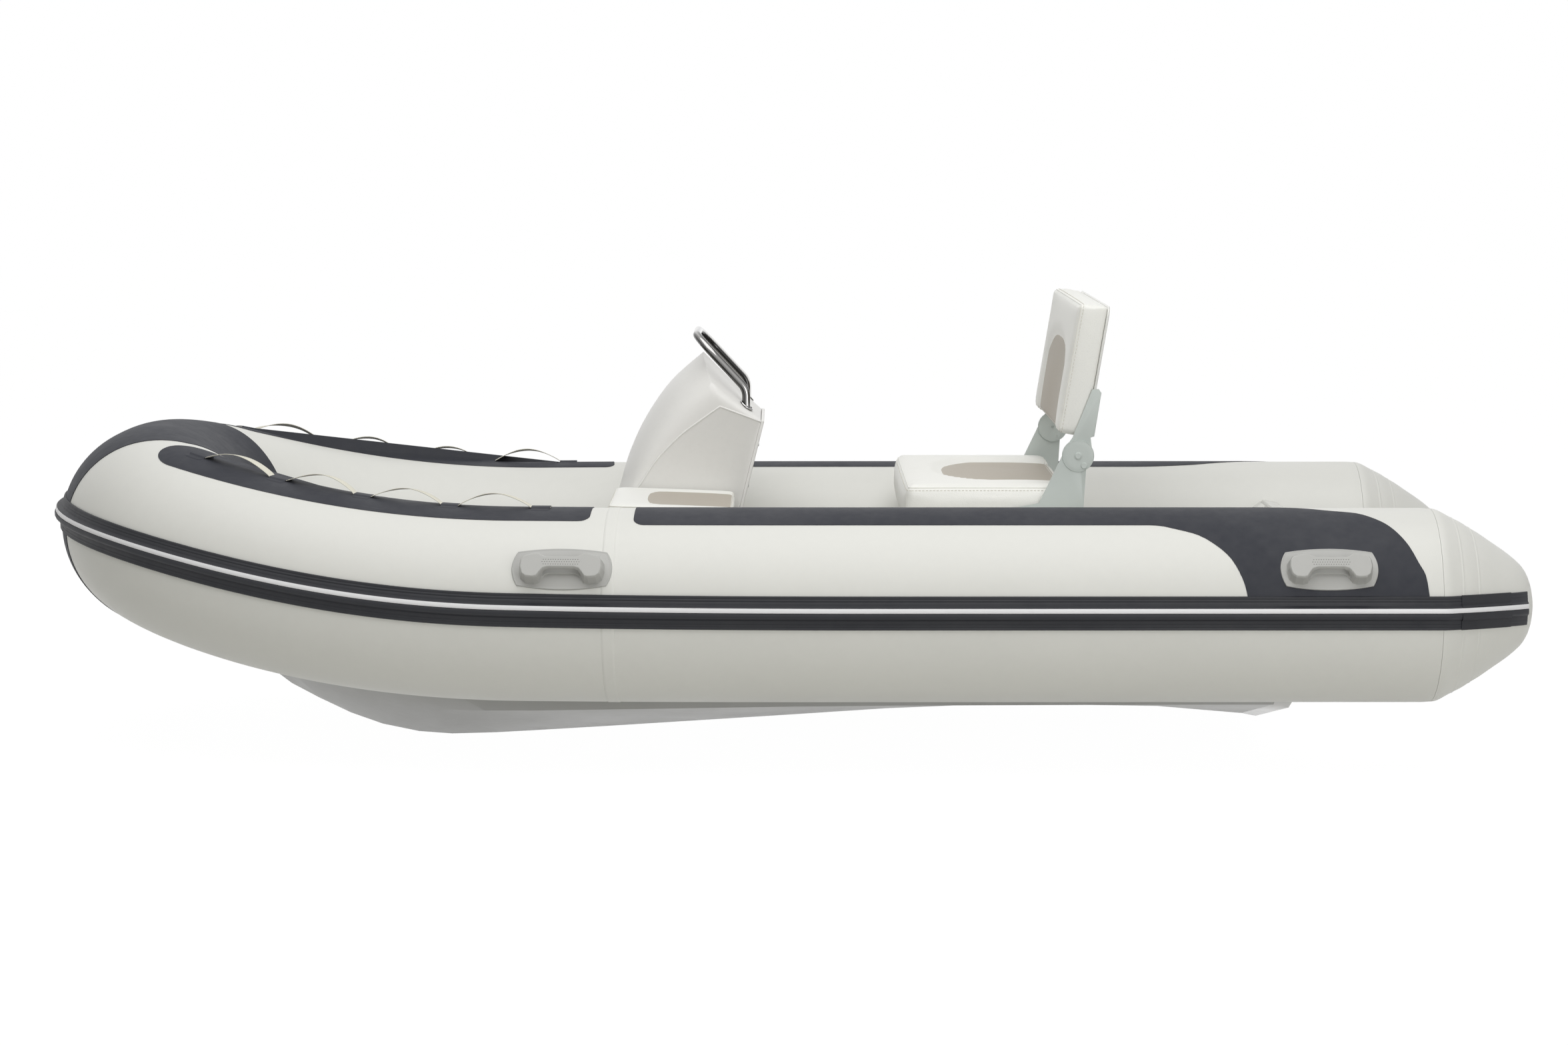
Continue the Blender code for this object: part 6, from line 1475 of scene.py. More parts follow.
    def fill_with_air(self, item: bpy.types.Object, held: Sequence[int]) -> None:
        """Let the cloth swell a little between its seams, then keep the result.

        Args:
            item: the cover.
            held: indices of the points that its base and insert hold.
        """
        start = [vert.co.copy() for vert in item.data.vertices]
        group = item.vertex_groups.new(name="held")
        group.add(list(held), 1.0, "REPLACE")
        cloth = item.modifiers.new("filling", "CLOTH")
        settings = {"quality": 5, "mass": 0.3, "tension_stiffness": 40.0, "compression_stiffness": 40.0,
                    "bending_stiffness": 2.0, "use_pressure": True, "uniform_pressure_force": self.pressure,
                    "vertex_group_mass": "held"}
        for key, value in settings.items():
            setattr(cloth.settings, key, value)
        cloth.settings.effector_weights.gravity = 0.0
        scene = bpy.context.scene
        cloth.point_cache.frame_start = 1
        cloth.point_cache.frame_end = self.frames
        for number in range(1, self.frames + 1):
            scene.frame_set(number)
        evaluated = item.evaluated_get(bpy.context.evaluated_depsgraph_get())
        swollen = [vert.co.copy() for vert in evaluated.data.vertices]
        item.modifiers.remove(cloth)
        item.vertex_groups.clear()
        scene.frame_set(1)
        for vert, before, after in zip(item.data.vertices, start, swollen):
            move = after - before
            if move.length > self.swell_limit:
                move *= self.swell_limit / move.length
            vert.co = before + move

    def edge_loop(self, item: bpy.types.Object, lean: float, step: float = 0.012) -> list[Vector]:
        """Points round the top edge of the cover, found by casting rays at it.

        Args:
            item: the finished cover.
            lean: how far up from level the rays look out, as an angle.
            step: distance between the points.

        Returns:
            The points, a closed loop.
        """
        inset = self.edge + self.bulge
        low_x, high_x = self.low[0] + inset, self.high[0] - inset
        low_y, high_y = self.low[1] + inset, self.high[1] - inset
        corners = [(high_x, low_y, 0.0), (high_x, high_y, math.pi / 2), (low_x, high_y, math.pi),
                   (low_x, low_y, 1.5 * math.pi)]
        rays = []
        for index, (x, y, facing) in enumerate(corners):
            fore_x, fore_y, _ = corners[index - 1]
            count = max(2, round(math.hypot(x - fore_x, y - fore_y) / step))
            for part in range(count):
                share = part / count
                rays.append((lerp(fore_x, x, share), lerp(fore_y, y, share), facing - math.pi / 2))
            rays += [(x, y, facing - math.pi / 2 + math.pi / 2 * k / 5) for k in range(5)]
        height = self.high[2] - self.edge
        found = []
        for x, y, facing in rays:
            level = math.cos(lean)
            out = Vector((math.cos(facing) * level, math.sin(facing) * level, math.sin(lean)))
            origin = Vector((x, y, height)) + out * RAY_START
            hit, place, _, _ = item.ray_cast(origin, -out)
            if hit:
                found.append(place)
        return found

    def stitches(self, name: str, loop: Sequence[Vector], lift: float) -> bpy.types.Object:
        """A row of stitches along a closed loop.

        Args:
            name: the object's name.
            loop: points that the row follows.
            lift: how far the thread stands off the loop's middle.

        Returns:
            The stitches as one object.
        """
        work = bmesh.new()
        middle = sum(loop, Vector()) / len(loop)
        spare = 0.0
        for first, second in zip(loop, [*loop[1:], loop[0]]):
            run = (second - first).length
            if run < 1e-5:
                continue
            along = (second - first) / run
            at = spare
            while at < run:
                centre = first + along * at
                away = centre - middle
                away = (away - along * away.dot(along)).normalized()
                turned = frame_matrix(centre + away * lift, along, away)
                size = Matrix.Diagonal((self.stitch, self.thread * 2, self.thread * 2, 1.0))
                bmesh.ops.create_cube(work, size=1.0, matrix=turned @ size)
                at += self.stitch_pitch
            spare = at - run
        return mesh_object(name, work)

    def insert(self, item: bpy.types.Object) -> bpy.types.Object:
        """The insert: a padded sheet that lies on the sunken floor of the cover."""
        inset = self.bulge + self.edge * self.insert_reach
        far = self.high[0] - inset if self.open_high else self.low[0] + inset
        columns = spread(-1.0, 1.0, 41)
        points = []
        for share in spread(0.0, 1.0, 31):
            placed = []
            for across in columns:
                y = self.insert_middle + across * (self.insert_half - self.insert_margin)
                corner = self.insert_corner * max(0.0, (abs(across) - 0.92) / 0.08) ** 2
                front = self.front_at(across) + (self.insert_margin + corner) * self.heading
                x = lerp(front, far, share)
                hit, place, _, _ = item.ray_cast(Vector((x, y, self.high[2] + RAY_START)), DOWN)
                level = place.z if hit else self.high[2]
                rim = share == 0.0 or abs(across) == 1.0
                placed.append(Vector((x, y, level + (self.rim_rise if rim else self.insert_rise))))
            points.append(placed)
        sheet = grid_sheet(self.name + "_insert", points)
        make_active(sheet)
        if sum(face.normal.z for face in sheet.data.polygons) < 0:
            sheet.data.flip_normals()
        close_sheet(sheet, self.insert_depth)
        smooth_by_angle(sheet, 60.0)
        return sheet

    def build(self, shop: Workshop) -> None:
        """Make the cover, its insert, its welt and its stitching, and fit them."""
        item = self.cover()
        pieces = [(item, Finishes.VINYL), (self.insert(item), Finishes.TAUPE)]
        edge = self.edge_loop(item, self.welt_lean)
        welt = swept_tube(self.name + "_welt", edge, self.welt, cyclic=True, sides=1)
        pieces.append((welt, Finishes.PIPING))
        below = self.edge_loop(item, self.stitch_lean, self.stitch_step)
        row = self.stitches(self.name + "_stitching", below, self.thread * 0.3)
        pieces.append((row, Finishes.THREAD))
        replaced = {item.name: [self.node], pieces[1][0].name: [self.insert_node]}
        for piece, finish in pieces:
            for vert in piece.data.vertices:
                vert.co = self.place @ self.warp(vert.co)
            piece.data.update()
            shop.fit(piece, finish, self.body, replaced.get(piece.name, ()))


@dataclass
class Seats:
    """The bench, its folding back and the side seat beside the console."""

    shop: Workshop
    floor: float = 0.2626
    side_seat_top: float = 0.5635
    side_fore_x: float = -0.395
    side_aft_x: float = -0.098
    side_outer: float = 0.50
    side_inner: float = 0.0193
    side_thickness: float = 0.052
    side_fall: float = 0.010
    side_lean: float = 0.045
    bench_fore_x: float = 0.302
    bench_aft_x: float = 0.700
    bench_top: float = 0.5519
    bench_half: float = 0.439
    bench_thickness: float = 0.110
    back_lean: float = math.radians(9.5)
    back_height: float = 0.315
    back_thickness: float = 0.070
    back_lift: float = 0.052
    back_reach: float = 0.052
    pivot_x: float = 0.714
    pivot_z: float = 0.729
    gap: float = 0.0003

    def build(self) -> None:
        """Make the seat bases and the three cushions."""
        self.shop.refined("bench_box", Finishes.GELCOAT, 0.008, segments=3)
        self.shop.refined("bench_board", Finishes.GELCOAT, 0.003)
        self.shop.refined("side_seat_base", Finishes.GELCOAT, 0.010, segments=3)
        self.shop.refined("back_board", Finishes.GELCOAT, 0.0025, Body.SEAT_BACK)
        self.bench().build(self.shop)
        self.back().build(self.shop)
        self.side().build(self.shop)

    def bench(self) -> Cushion:
        """The helm bench's cushion."""
        crown = 0.006
        top = self.bench_top + self.bench_thickness - crown
        return Cushion("bench_pad", "bench_cushion", "bench_insert",
                       low=(self.bench_fore_x, -self.bench_half, self.bench_top),
                       high=(self.bench_aft_x, self.bench_half, top),
                       edge=0.015, crown=crown, bulge=0.008, body=Body.BOAT, insert_front=0.410,
                       insert_bow=0.085, insert_half=0.288, sink=0.011, roll=0.026)

    def back(self) -> Cushion:
        """The folding back's cushion, made lying on its board."""
        ahead = self.back_thickness * math.cos(self.back_lean) - self.back_reach
        up = self.back_lift - self.back_thickness * math.sin(self.back_lean) + self.gap
        foot = Vector((self.pivot_x + ahead, 0.0, self.pivot_z + up))
        turn = Matrix.Rotation(self.back_lean - math.pi / 2, 4, "Y")
        crown = 0.004
        return Cushion("back_pad", "back_cushion", "back_insert",
                       low=(0.0, -self.bench_half, 0.0),
                       high=(self.back_height, self.bench_half, self.back_thickness - crown),
                       edge=0.013, crown=crown, bulge=0.003, body=Body.SEAT_BACK, insert_front=0.210,
                       insert_bow=0.055, insert_half=0.306, sink=0.006, roll=0.024, open_high=False,
                       place=Matrix.Translation(foot) @ turn, cells=(30, 72, 10))

    def side(self) -> Cushion:
        """The side seat's thin cushion, whose top slopes with the seat."""
        bottom = self.side_seat_top + self.gap
        length = self.side_aft_x - self.side_fore_x
        width = self.side_outer - self.side_inner
        inner = -self.side_inner

        def slope(point: Vector) -> Vector:
            """Tip the top aft and lean its outer edge outwards."""
            share = (point.z - bottom) / self.side_thickness
            along = (point.x - self.side_fore_x) / length
            across = (inner - point.y) / width
            return Vector((point.x, point.y - self.side_lean * share * across**3,
                           point.z - self.side_fall * along * share))

        return Cushion("side_pad", "side_seat_cushion", "side_seat_insert",
                       low=(self.side_fore_x, -self.side_outer + self.side_lean, bottom),
                       high=(self.side_aft_x, inner, bottom + self.side_thickness),
                       edge=0.011, crown=0.003, bulge=0.002, body=Body.BOAT,
                       insert_front=self.side_fore_x + length * 0.30, insert_bow=0.016, insert_half=0.150,
                       insert_middle=inner - width / 2 + self.side_lean * 0.2, sink=0.003, roll=0.008,
                       warp=slope, cells=(30, 44, 8), swell_limit=0.002)


# Console
@dataclass
class Console:
    """The moulded steering console with its bead, its closing panel and its polished rail."""

    shop: Workshop
    centre_y: float = 0.19
    half_width: float = 0.205
    foot_x: float = -0.162
    length: float = 0.268
    height: float = 0.6764
    floor: float = 0.2626
    power: float = 2.4
    rail_half: float = 0.172
    rail_rod: float = 0.010
    flange_radius: float = 0.019
    flange_thickness: float = 0.006
    panel_thickness: float = 0.0085
    panel_rim: float = 0.003
    panel_recess: float = 0.0009
    lip: float = 0.0026
    lip_inset: float = 0.0008
    leg_shares: tuple[Point2, ...] = ((-0.34, 0.795), (-0.34, 0.875), (0.115, 1.068))
    rail_bends: tuple[float, ...] = (0.045, 0.07, 0.07, 0.045)
    flange_turns: tuple[float, ...] = (0.5, 2.6, 4.7)
    flange_screw_ring: float = 0.0148
    flange_sink: float = 0.0006
    flange_screw: Point2 = (0.0022, 0.0016)
    flange_screw_lift: float = 0.0040
    panel_screw: Point2 = (0.0036, 0.0018)
    panel_screw_heights: tuple[float, float] = (0.05, 0.47)
    panel_screw_inset: float = 0.012
    panel_screw_sink: float = 0.0003
    # Direction that the rail's painted bright reflection bands face
    painted_reflection_view: tuple[float, float, float] = (-0.50, -0.40, 0.77)
    side_shares: tuple[Point2, ...] = ((0.925, 0.0), (0.91, 0.17), (0.87, 0.31), (0.78, 0.44), (0.62, 0.539),
                                       (0.478, 0.623), (0.272, 0.707), (0.09, 0.762), (-0.10, 0.815),
                                       (-0.287, 0.788), (-0.474, 0.76))
    middle_shares: tuple[Point2, ...] = ((1.0, 0.0), (0.98, 0.17), (0.945, 0.31), (0.89, 0.44), (0.83, 0.525),
                                         (0.75, 0.63), (0.60, 0.757), (0.365, 0.89), (0.067, 0.995),
                                         (-0.20, 0.885), (-0.474, 0.772))
    apex: int = 8

    def curve(self, shares: Sequence[Point2]) -> list[Point2]:
        """A side outline with smooth flanks up to its apex and straight lines behind it."""
        fine = []
        for k in range(self.apex):
            before, a, b = shares[max(0, k - 1)], shares[k], shares[k + 1]
            after = shares[min(self.apex, k + 2)]
            for step in range(5):
                t = step / 5
                point = []
                for axis in range(2):
                    p0, p1, p2, p3 = before[axis], a[axis], b[axis], after[axis]
                    point.append(0.5 * (2 * p1 + (p2 - p0) * t + (2 * p0 - 5 * p1 + 4 * p2 - p3) * t * t
                                        + (3 * p1 - p0 - 3 * p2 + p3) * t**3))
                fine.append((point[0], point[1]))
        for k in range(self.apex, len(shares) - 1):
            a, b = shares[k], shares[k + 1]
            fine += [(lerp(a[0], b[0], step / 5), lerp(a[1], b[1], step / 5)) for step in range(5)]
        return [*fine, shares[-1]]

    def outline(self, blend: float) -> list[Point2]:
        """World x and z of the outline, from the side's shape to the middle's."""
        side, middle = self.curve(self.side_shares), self.curve(self.middle_shares)
        return [(self.foot_x - self.length * lerp(a[0], b[0], blend),
                 self.floor + self.height * lerp(a[1], b[1], blend)) for a, b in zip(side, middle)]

    def blend_at(self, share: float) -> float:
        """How far the outline is the middle's, at a share of the half width."""
        return max(0.0, 1 - min(1.0, abs(share)) ** self.power) ** (1 / self.power)

    def shell(self) -> bpy.types.Object:
        """The shell with its recessed side panels."""
        rows = []
        for turn in spread(-math.pi / 2, math.pi / 2, 49):
            share = math.copysign(abs(math.sin(turn)) ** (2 / self.power), turn)
            blend = abs(math.cos(turn)) ** (2 / self.power)
            y = self.centre_y + self.half_width * share
            rows.append([Vector((self.foot_x, y, self.floor))]
                        + [Vector((x, y, z)) for x, z in self.outline(blend)])
        item = grid_sheet("console_body", rows, closed=True)
        with editing(item) as work:
            fill_holes(work)
            bmesh.ops.recalc_face_normals(work, faces=work.faces)
            sides = [face for face in work.faces if len(face.verts) > 8 and abs(face.normal.y) > 0.9]
            for depth in (0.0, -self.panel_recess):
                bmesh.ops.inset_region(work, faces=sides, thickness=self.panel_rim, depth=depth,
                                       use_even_offset=True)
        smooth_by_angle(item, 44.0)
        return item

    def beads(self) -> bpy.types.Object:
        """A rounded lip along the front edge of each side panel."""
        lips = []
        for side in Side:
            y = self.centre_y + side.value * (self.half_width - self.lip_inset)
            path = [Vector((x, y, z)) for x, z in self.outline(0.0)][1:]
            lips.append(swept_tube("console_lip", path, self.lip, sides=3))
        return join("console_lips", lips)

    def surface(self, x: float, y: float) -> tuple[Vector, Vector]:
        """Place on the console's top and the direction it faces."""
        def level(px: float, py: float) -> float:
            """Height of the top at a place."""
            line = self.outline(self.blend_at((py - self.centre_y) / self.half_width))
            line = line[len(line) // 2:]
            for first, second in zip(line, line[1:]):
                if first[0] <= px <= second[0]:
                    return lerp(first[1], second[1], (px - first[0]) / (second[0] - first[0]))
            return line[-1][1]

        step = self.half_width / 50
        slope_x = (level(x + step, y) - level(x - step, y)) / (2 * step)
        slope_y = (level(x, y + step) - level(x, y - step)) / (2 * step)
        return Vector((x, y, level(x, y))), Vector((-slope_x, -slope_y, 1.0)).normalized()

    @staticmethod
    def fillet(corners: Sequence[Vector], radii: Sequence[float], steps: int = 12) -> list[Vector]:
        """A path whose corners are round, as for a bent pipe.

        Args:
            corners: the path's corners.
            radii: bend radius at each inner corner.
            steps: points round each bend.

        Returns:
            The path's points.
        """
        path = [corners[0]]
        for before, here, after, radius in zip(corners, corners[1:], corners[2:], radii):
            back, ahead = (before - here).normalized(), (after - here).normalized()
            half = back.angle(ahead) / 2
            centre = here + (back + ahead).normalized() * (radius / math.sin(half))
            reach = radius / math.tan(half)
            first, last = here + back * reach - centre, here + ahead * reach - centre
            path += [centre + first.slerp(last, step / steps).normalized() * radius
                     for step in range(steps + 1)]
        return [*path, corners[-1]]

    def rail(self) -> bpy.types.Object:
        """The bent pipe with its two foot flanges and their screws."""
        legs = []
        for sign in (-1.0, 1.0):
            y = self.centre_y + sign * self.rail_half
            legs.append([Vector((self.foot_x - self.length * reach, y, self.floor + self.height * rise))
                         for reach, rise in self.leg_shares])
        path = self.fillet(legs[0] + legs[1][::-1], self.rail_bends)
        parts = [swept_tube("console_rail", path, self.rail_rod, sides=14)]
        ahead = Vector((1.0, 0.0, 0.0))
        for leg in legs:
            seat, facing = self.surface(leg[0].x, leg[0].y)
            place = frame_matrix(seat - facing * self.flange_sink, ahead, facing)
            parts.append(button_at(place, self.flange_radius, self.flange_thickness * 0.8, 36, 0.35))
            for turn in self.flange_turns:
                ray = Vector((math.cos(turn), math.sin(turn), 0.0))
                spot = seat + place.to_3x3() @ ray * self.flange_screw_ring
                screw = frame_matrix(spot + facing * self.flange_screw_lift, ahead, facing)
                parts.append(button_at(screw, *self.flange_screw, 12, 0.4))
        return join("console_rail", parts)

    def panel_screws(self) -> bpy.types.Object:
        """Pan-head screws down both edges of the closing panel."""
        side = self.outline(0.0)
        foot = Vector((self.foot_x, 0.0, self.floor))
        along = (Vector((side[-1][0], 0.0, side[-1][1])) - foot).normalized()
        facing = Vector((along.z, 0.0, -along.x))
        face = self.foot_x + (self.panel_thickness - self.panel_screw_sink) / along.z
        screws = []
        for sign in (-1.0, 1.0):
            y = self.centre_y + sign * (self.half_width - self.panel_screw_inset)
            base = Vector((face, y, self.floor))
            for up in spread(*self.panel_screw_heights, 5):
                place = frame_matrix(base + along * up, Vector((0.0, 1.0, 0.0)), facing)
                screws.append(button_at(place, *self.panel_screw, 16, 0.4))
        return join("panel_screws", screws)

    def build(self) -> None:
        """Make the console's pieces and fit them."""
        self.shop.fit(self.shell(), Finishes.CONSOLE, replaces=["console_shell"])
        self.shop.fit(self.beads(), Finishes.CONSOLE)
        self.shop.refined("console_aft_panel", Finishes.CONSOLE, 0.0012)
        rail = self.rail()
        # The rail's UV map places its painted reflection bands by how each point faces one direction
        bake_painted_reflection_uv(rail, Vector(self.painted_reflection_view))
        self.shop.fit(rail, Finishes.CHROME, replaces=["console_handrail"])
        self.shop.fit(self.panel_screws(), Finishes.STEEL)


# Handles, webbing and seat brackets
@dataclass
class CarryHandles:
    """Four moulded carry handles on the tube's sides: a bowed base, a soft grip over it, and dark bumps whose
    colour is painted shade of its recessed dimples.
    """

    shape: TubeShape
    shop: Workshop
    places: tuple[tuple[str, float, float], ...] = (("fore", -0.471, 0.0003), ("aft", 1.2575, 0.0018))
    angle: float = math.radians(28.0)
    half_length: float = 0.111
    half_width: float = 0.0505
    side_bow: float = 0.11
    top_bow: float = 0.19
    rim: tuple[Point2, ...] = ((0.0, 0.0), (0.0006, 0.0024), (0.0015, 0.0036), (0.0030, 0.0036),
                               (0.0048, 0.0027))
    grip_half: tuple[Point2, ...] = ((0.030, -0.0105), (0.040, -0.0140), (0.047, -0.023), (0.053, -0.032),
                                     (0.062, -0.0345), (0.080, -0.033), (0.090, -0.025), (0.0945, -0.008),
                                     (0.093, 0.010), (0.087, 0.019), (0.068, 0.0245), (0.057, 0.0265),
                                     (0.050, 0.0262), (0.043, 0.0215), (0.036, 0.0182))
    levels: tuple[Point2, ...] = ((-0.0005, 0.0040), (0.006, 0.0022), (0.022, 0.0005), (0.031, -0.0005),
                                  (0.0358, -0.0030))
    arch: tuple[Point2, ...] = ((-0.046, 0.0050), (0.046, 0.0050), (0.046, 0.014), (0.038, 0.0225),
                                (0.030, 0.0250), (-0.030, 0.0250), (-0.038, 0.0225), (-0.046, 0.014))
    tunnel_half: float = 0.06
    near: tuple[float, ...] = (0.940, 0.956, 0.972, 0.985, 0.994, 1.0)
    beside: tuple[float, ...] = (0.905, 0.94, 0.97, 0.988, 1.0)
    relaxing: int = 7
    kept_faces: float = 0.30
    voxel: float = 0.0012
    dot_rows: tuple[tuple[float, int], ...] = ((-0.0027, 15), (0.0029, 16), (0.0085, 15))
    dot_pitch: float = 0.0056
    dot_size: tuple[float, float, float] = (0.0014, 0.0009, 0.0003)

    def frame(self, x: float, sign: float) -> Matrix:
        """Frame on the tube: x along it, y up it and z out of it."""
        s = self.shape.s_at(x) * sign
        _, out, _ = self.shape.frame(s)
        normal = out * math.cos(self.angle) + Vector((0.0, 0.0, math.sin(self.angle)))
        along = Vector((out.y, -out.x, 0.0))
        up = normal.cross(along)
        if up.z < 0:
            up = -up
        turned = Matrix((up.cross(normal), up, normal)).transposed().to_4x4()
        turned.translation = self.shape.point(s, self.angle)
        return turned

    def base(self, name: str, x: float, sign: float, lift: float) -> bpy.types.Object:
        """The bowed base with a raised rim, laid on the tube.

        Args:
            name: the object's name.
            x: place of its middle.
            sign: side of the boat.
            lift: gap under it.

        Returns:
            The closed base.
        """
        lengths = [*[-value for value in self.near[::-1]], *spread(-0.90, 0.90, 33), *self.near]
        widths = [*[-value for value in self.beside[::-1]], *spread(-0.86, 0.86, 15), *self.beside]
        middle = self.shape.s_at(x)
        sheets = []
        for face in (True, False):
            rows = []
            for a in lengths:
                row = []
                for b in widths:
                    u = self.half_length * a * (1 - self.side_bow * b * b)
                    v = self.half_width * b * (1 - self.top_bow * a * a)
                    inset = min((1 - abs(a)) * self.half_length, (1 - abs(b)) * self.half_width)
                    height = smooth_table(self.rim, min(self.rim[-1][0], inset)) if face else 0.0
                    angle = self.angle + v / self.shape.radius
                    row.append(self.shape.point(sign * (middle + u), angle, lift + height))
                rows.append(row)
            sheets.append(grid_sheet(name, rows))
        return seal(join(name, sheets), 60.0, merged=True, capped=False)

    @staticmethod
    def offset(points: Sequence[Point2], distance: float) -> list[Point2]:
        """A closed outline, which runs to the left, grown outwards by a distance."""
        grown = []
        for before, here, after in zip([points[-1], *points[:-1]], points, [*points[1:], points[0]]):
            first = Vector((here[1] - before[1], before[0] - here[0])).normalized()
            second = Vector((after[1] - here[1], here[0] - after[0])).normalized()
            middle = (first + second).normalized()
            reach = distance / max(0.5, middle.dot(first))
            grown.append((here[0] + middle.x * reach, here[1] + middle.y * reach))
        return grown

    def grip(self, name: str) -> bpy.types.Object:
        """The soft grip in its own frame: a drafted block, arched through and then relaxed."""
        outline = [*self.grip_half, *[(-u, v) for u, v in self.grip_half[::-1]]]
        rows = [[Vector((u, v, z)) for u, v in self.offset(outline, grow)] for z, grow in self.levels]
        item = grid_sheet(name, rows, closed=True)
        with editing(item) as work:
            fill_holes(work)
            bmesh.ops.triangulate(work, faces=[face for face in work.faces if len(face.verts) > 4])
            bmesh.ops.recalc_face_normals(work, faces=work.faces)
        ends = (-self.tunnel_half, self.tunnel_half)
        tunnel = grid_sheet("tunnel", [[Vector((u, v, z)) for u, z in self.arch] for v in ends], closed=True)
        with editing(tunnel) as work:
            fill_holes(work)
            bmesh.ops.recalc_face_normals(work, faces=work.faces)
        cut = item.modifiers.new("tunnel", "BOOLEAN")
        cut.object = tunnel
        cut.solver = "EXACT"
        apply_all(item)
        bpy.data.objects.remove(tunnel)
        make_active(item)
        item.data.remesh_voxel_size = self.voxel
        bpy.ops.object.voxel_remesh()
        relax = item.modifiers.new("relax", "SMOOTH")
        relax.iterations = self.relaxing
        thin = item.modifiers.new("thin", "DECIMATE")
        thin.ratio = self.kept_faces
        apply_all(item)
        item.data.shade_smooth()
        return item

    def dimples(self, name: str, grip: bpy.types.Object) -> bpy.types.Object:
        """Rows of small bumps on the bar, each found by a ray cast at it, which carry the painted shade of
        recessed dimples.
        """
        work = bmesh.new()
        for v, count in self.dot_rows:
            for column in range(count):
                u = (column - (count - 1) / 2) * self.dot_pitch
                hit, place, _, _ = grip.ray_cast(Vector((u, v, RAY_START)), DOWN)
                if hit:
                    size = Matrix.Translation(place) @ Matrix.Diagonal((*self.dot_size, 1.0))
                    bmesh.ops.create_icosphere(work, subdivisions=1, radius=1.0, matrix=size)
        item = mesh_object(name, work)
        item.data.shade_smooth()
        return item

    def build(self) -> None:
        """Make each handle's base, grip and dimple bumps with painted shade."""
        model = self.grip("grip_model")
        dots = self.dimples("dimple_model", model)
        for end, x, lift in self.places:
            for side in Side:
                name = f"{side.word}_{end}_handle"
                foot = self.base(name + "_foot", x, side.value, lift)
                self.shop.fit(foot, Finishes.HANDLE, replaces=[name + "_base"])
                place = self.frame(x, side.value) @ Matrix.Translation((0.0, 0.0, lift))
                grip = copy_of(model, place)
                grip.name = name + "_bar"
                self.shop.fit(grip, Finishes.HANDLE, replaces=[name + "_grip"])
                marks = copy_of(dots, place)
                marks.name = name + "_dimples"
                # Dark bumps with painted shade stand for the recessed dimples
                self.shop.fit(marks, Finishes.DIMPLE)
        bpy.data.objects.remove(model)
        bpy.data.objects.remove(dots)


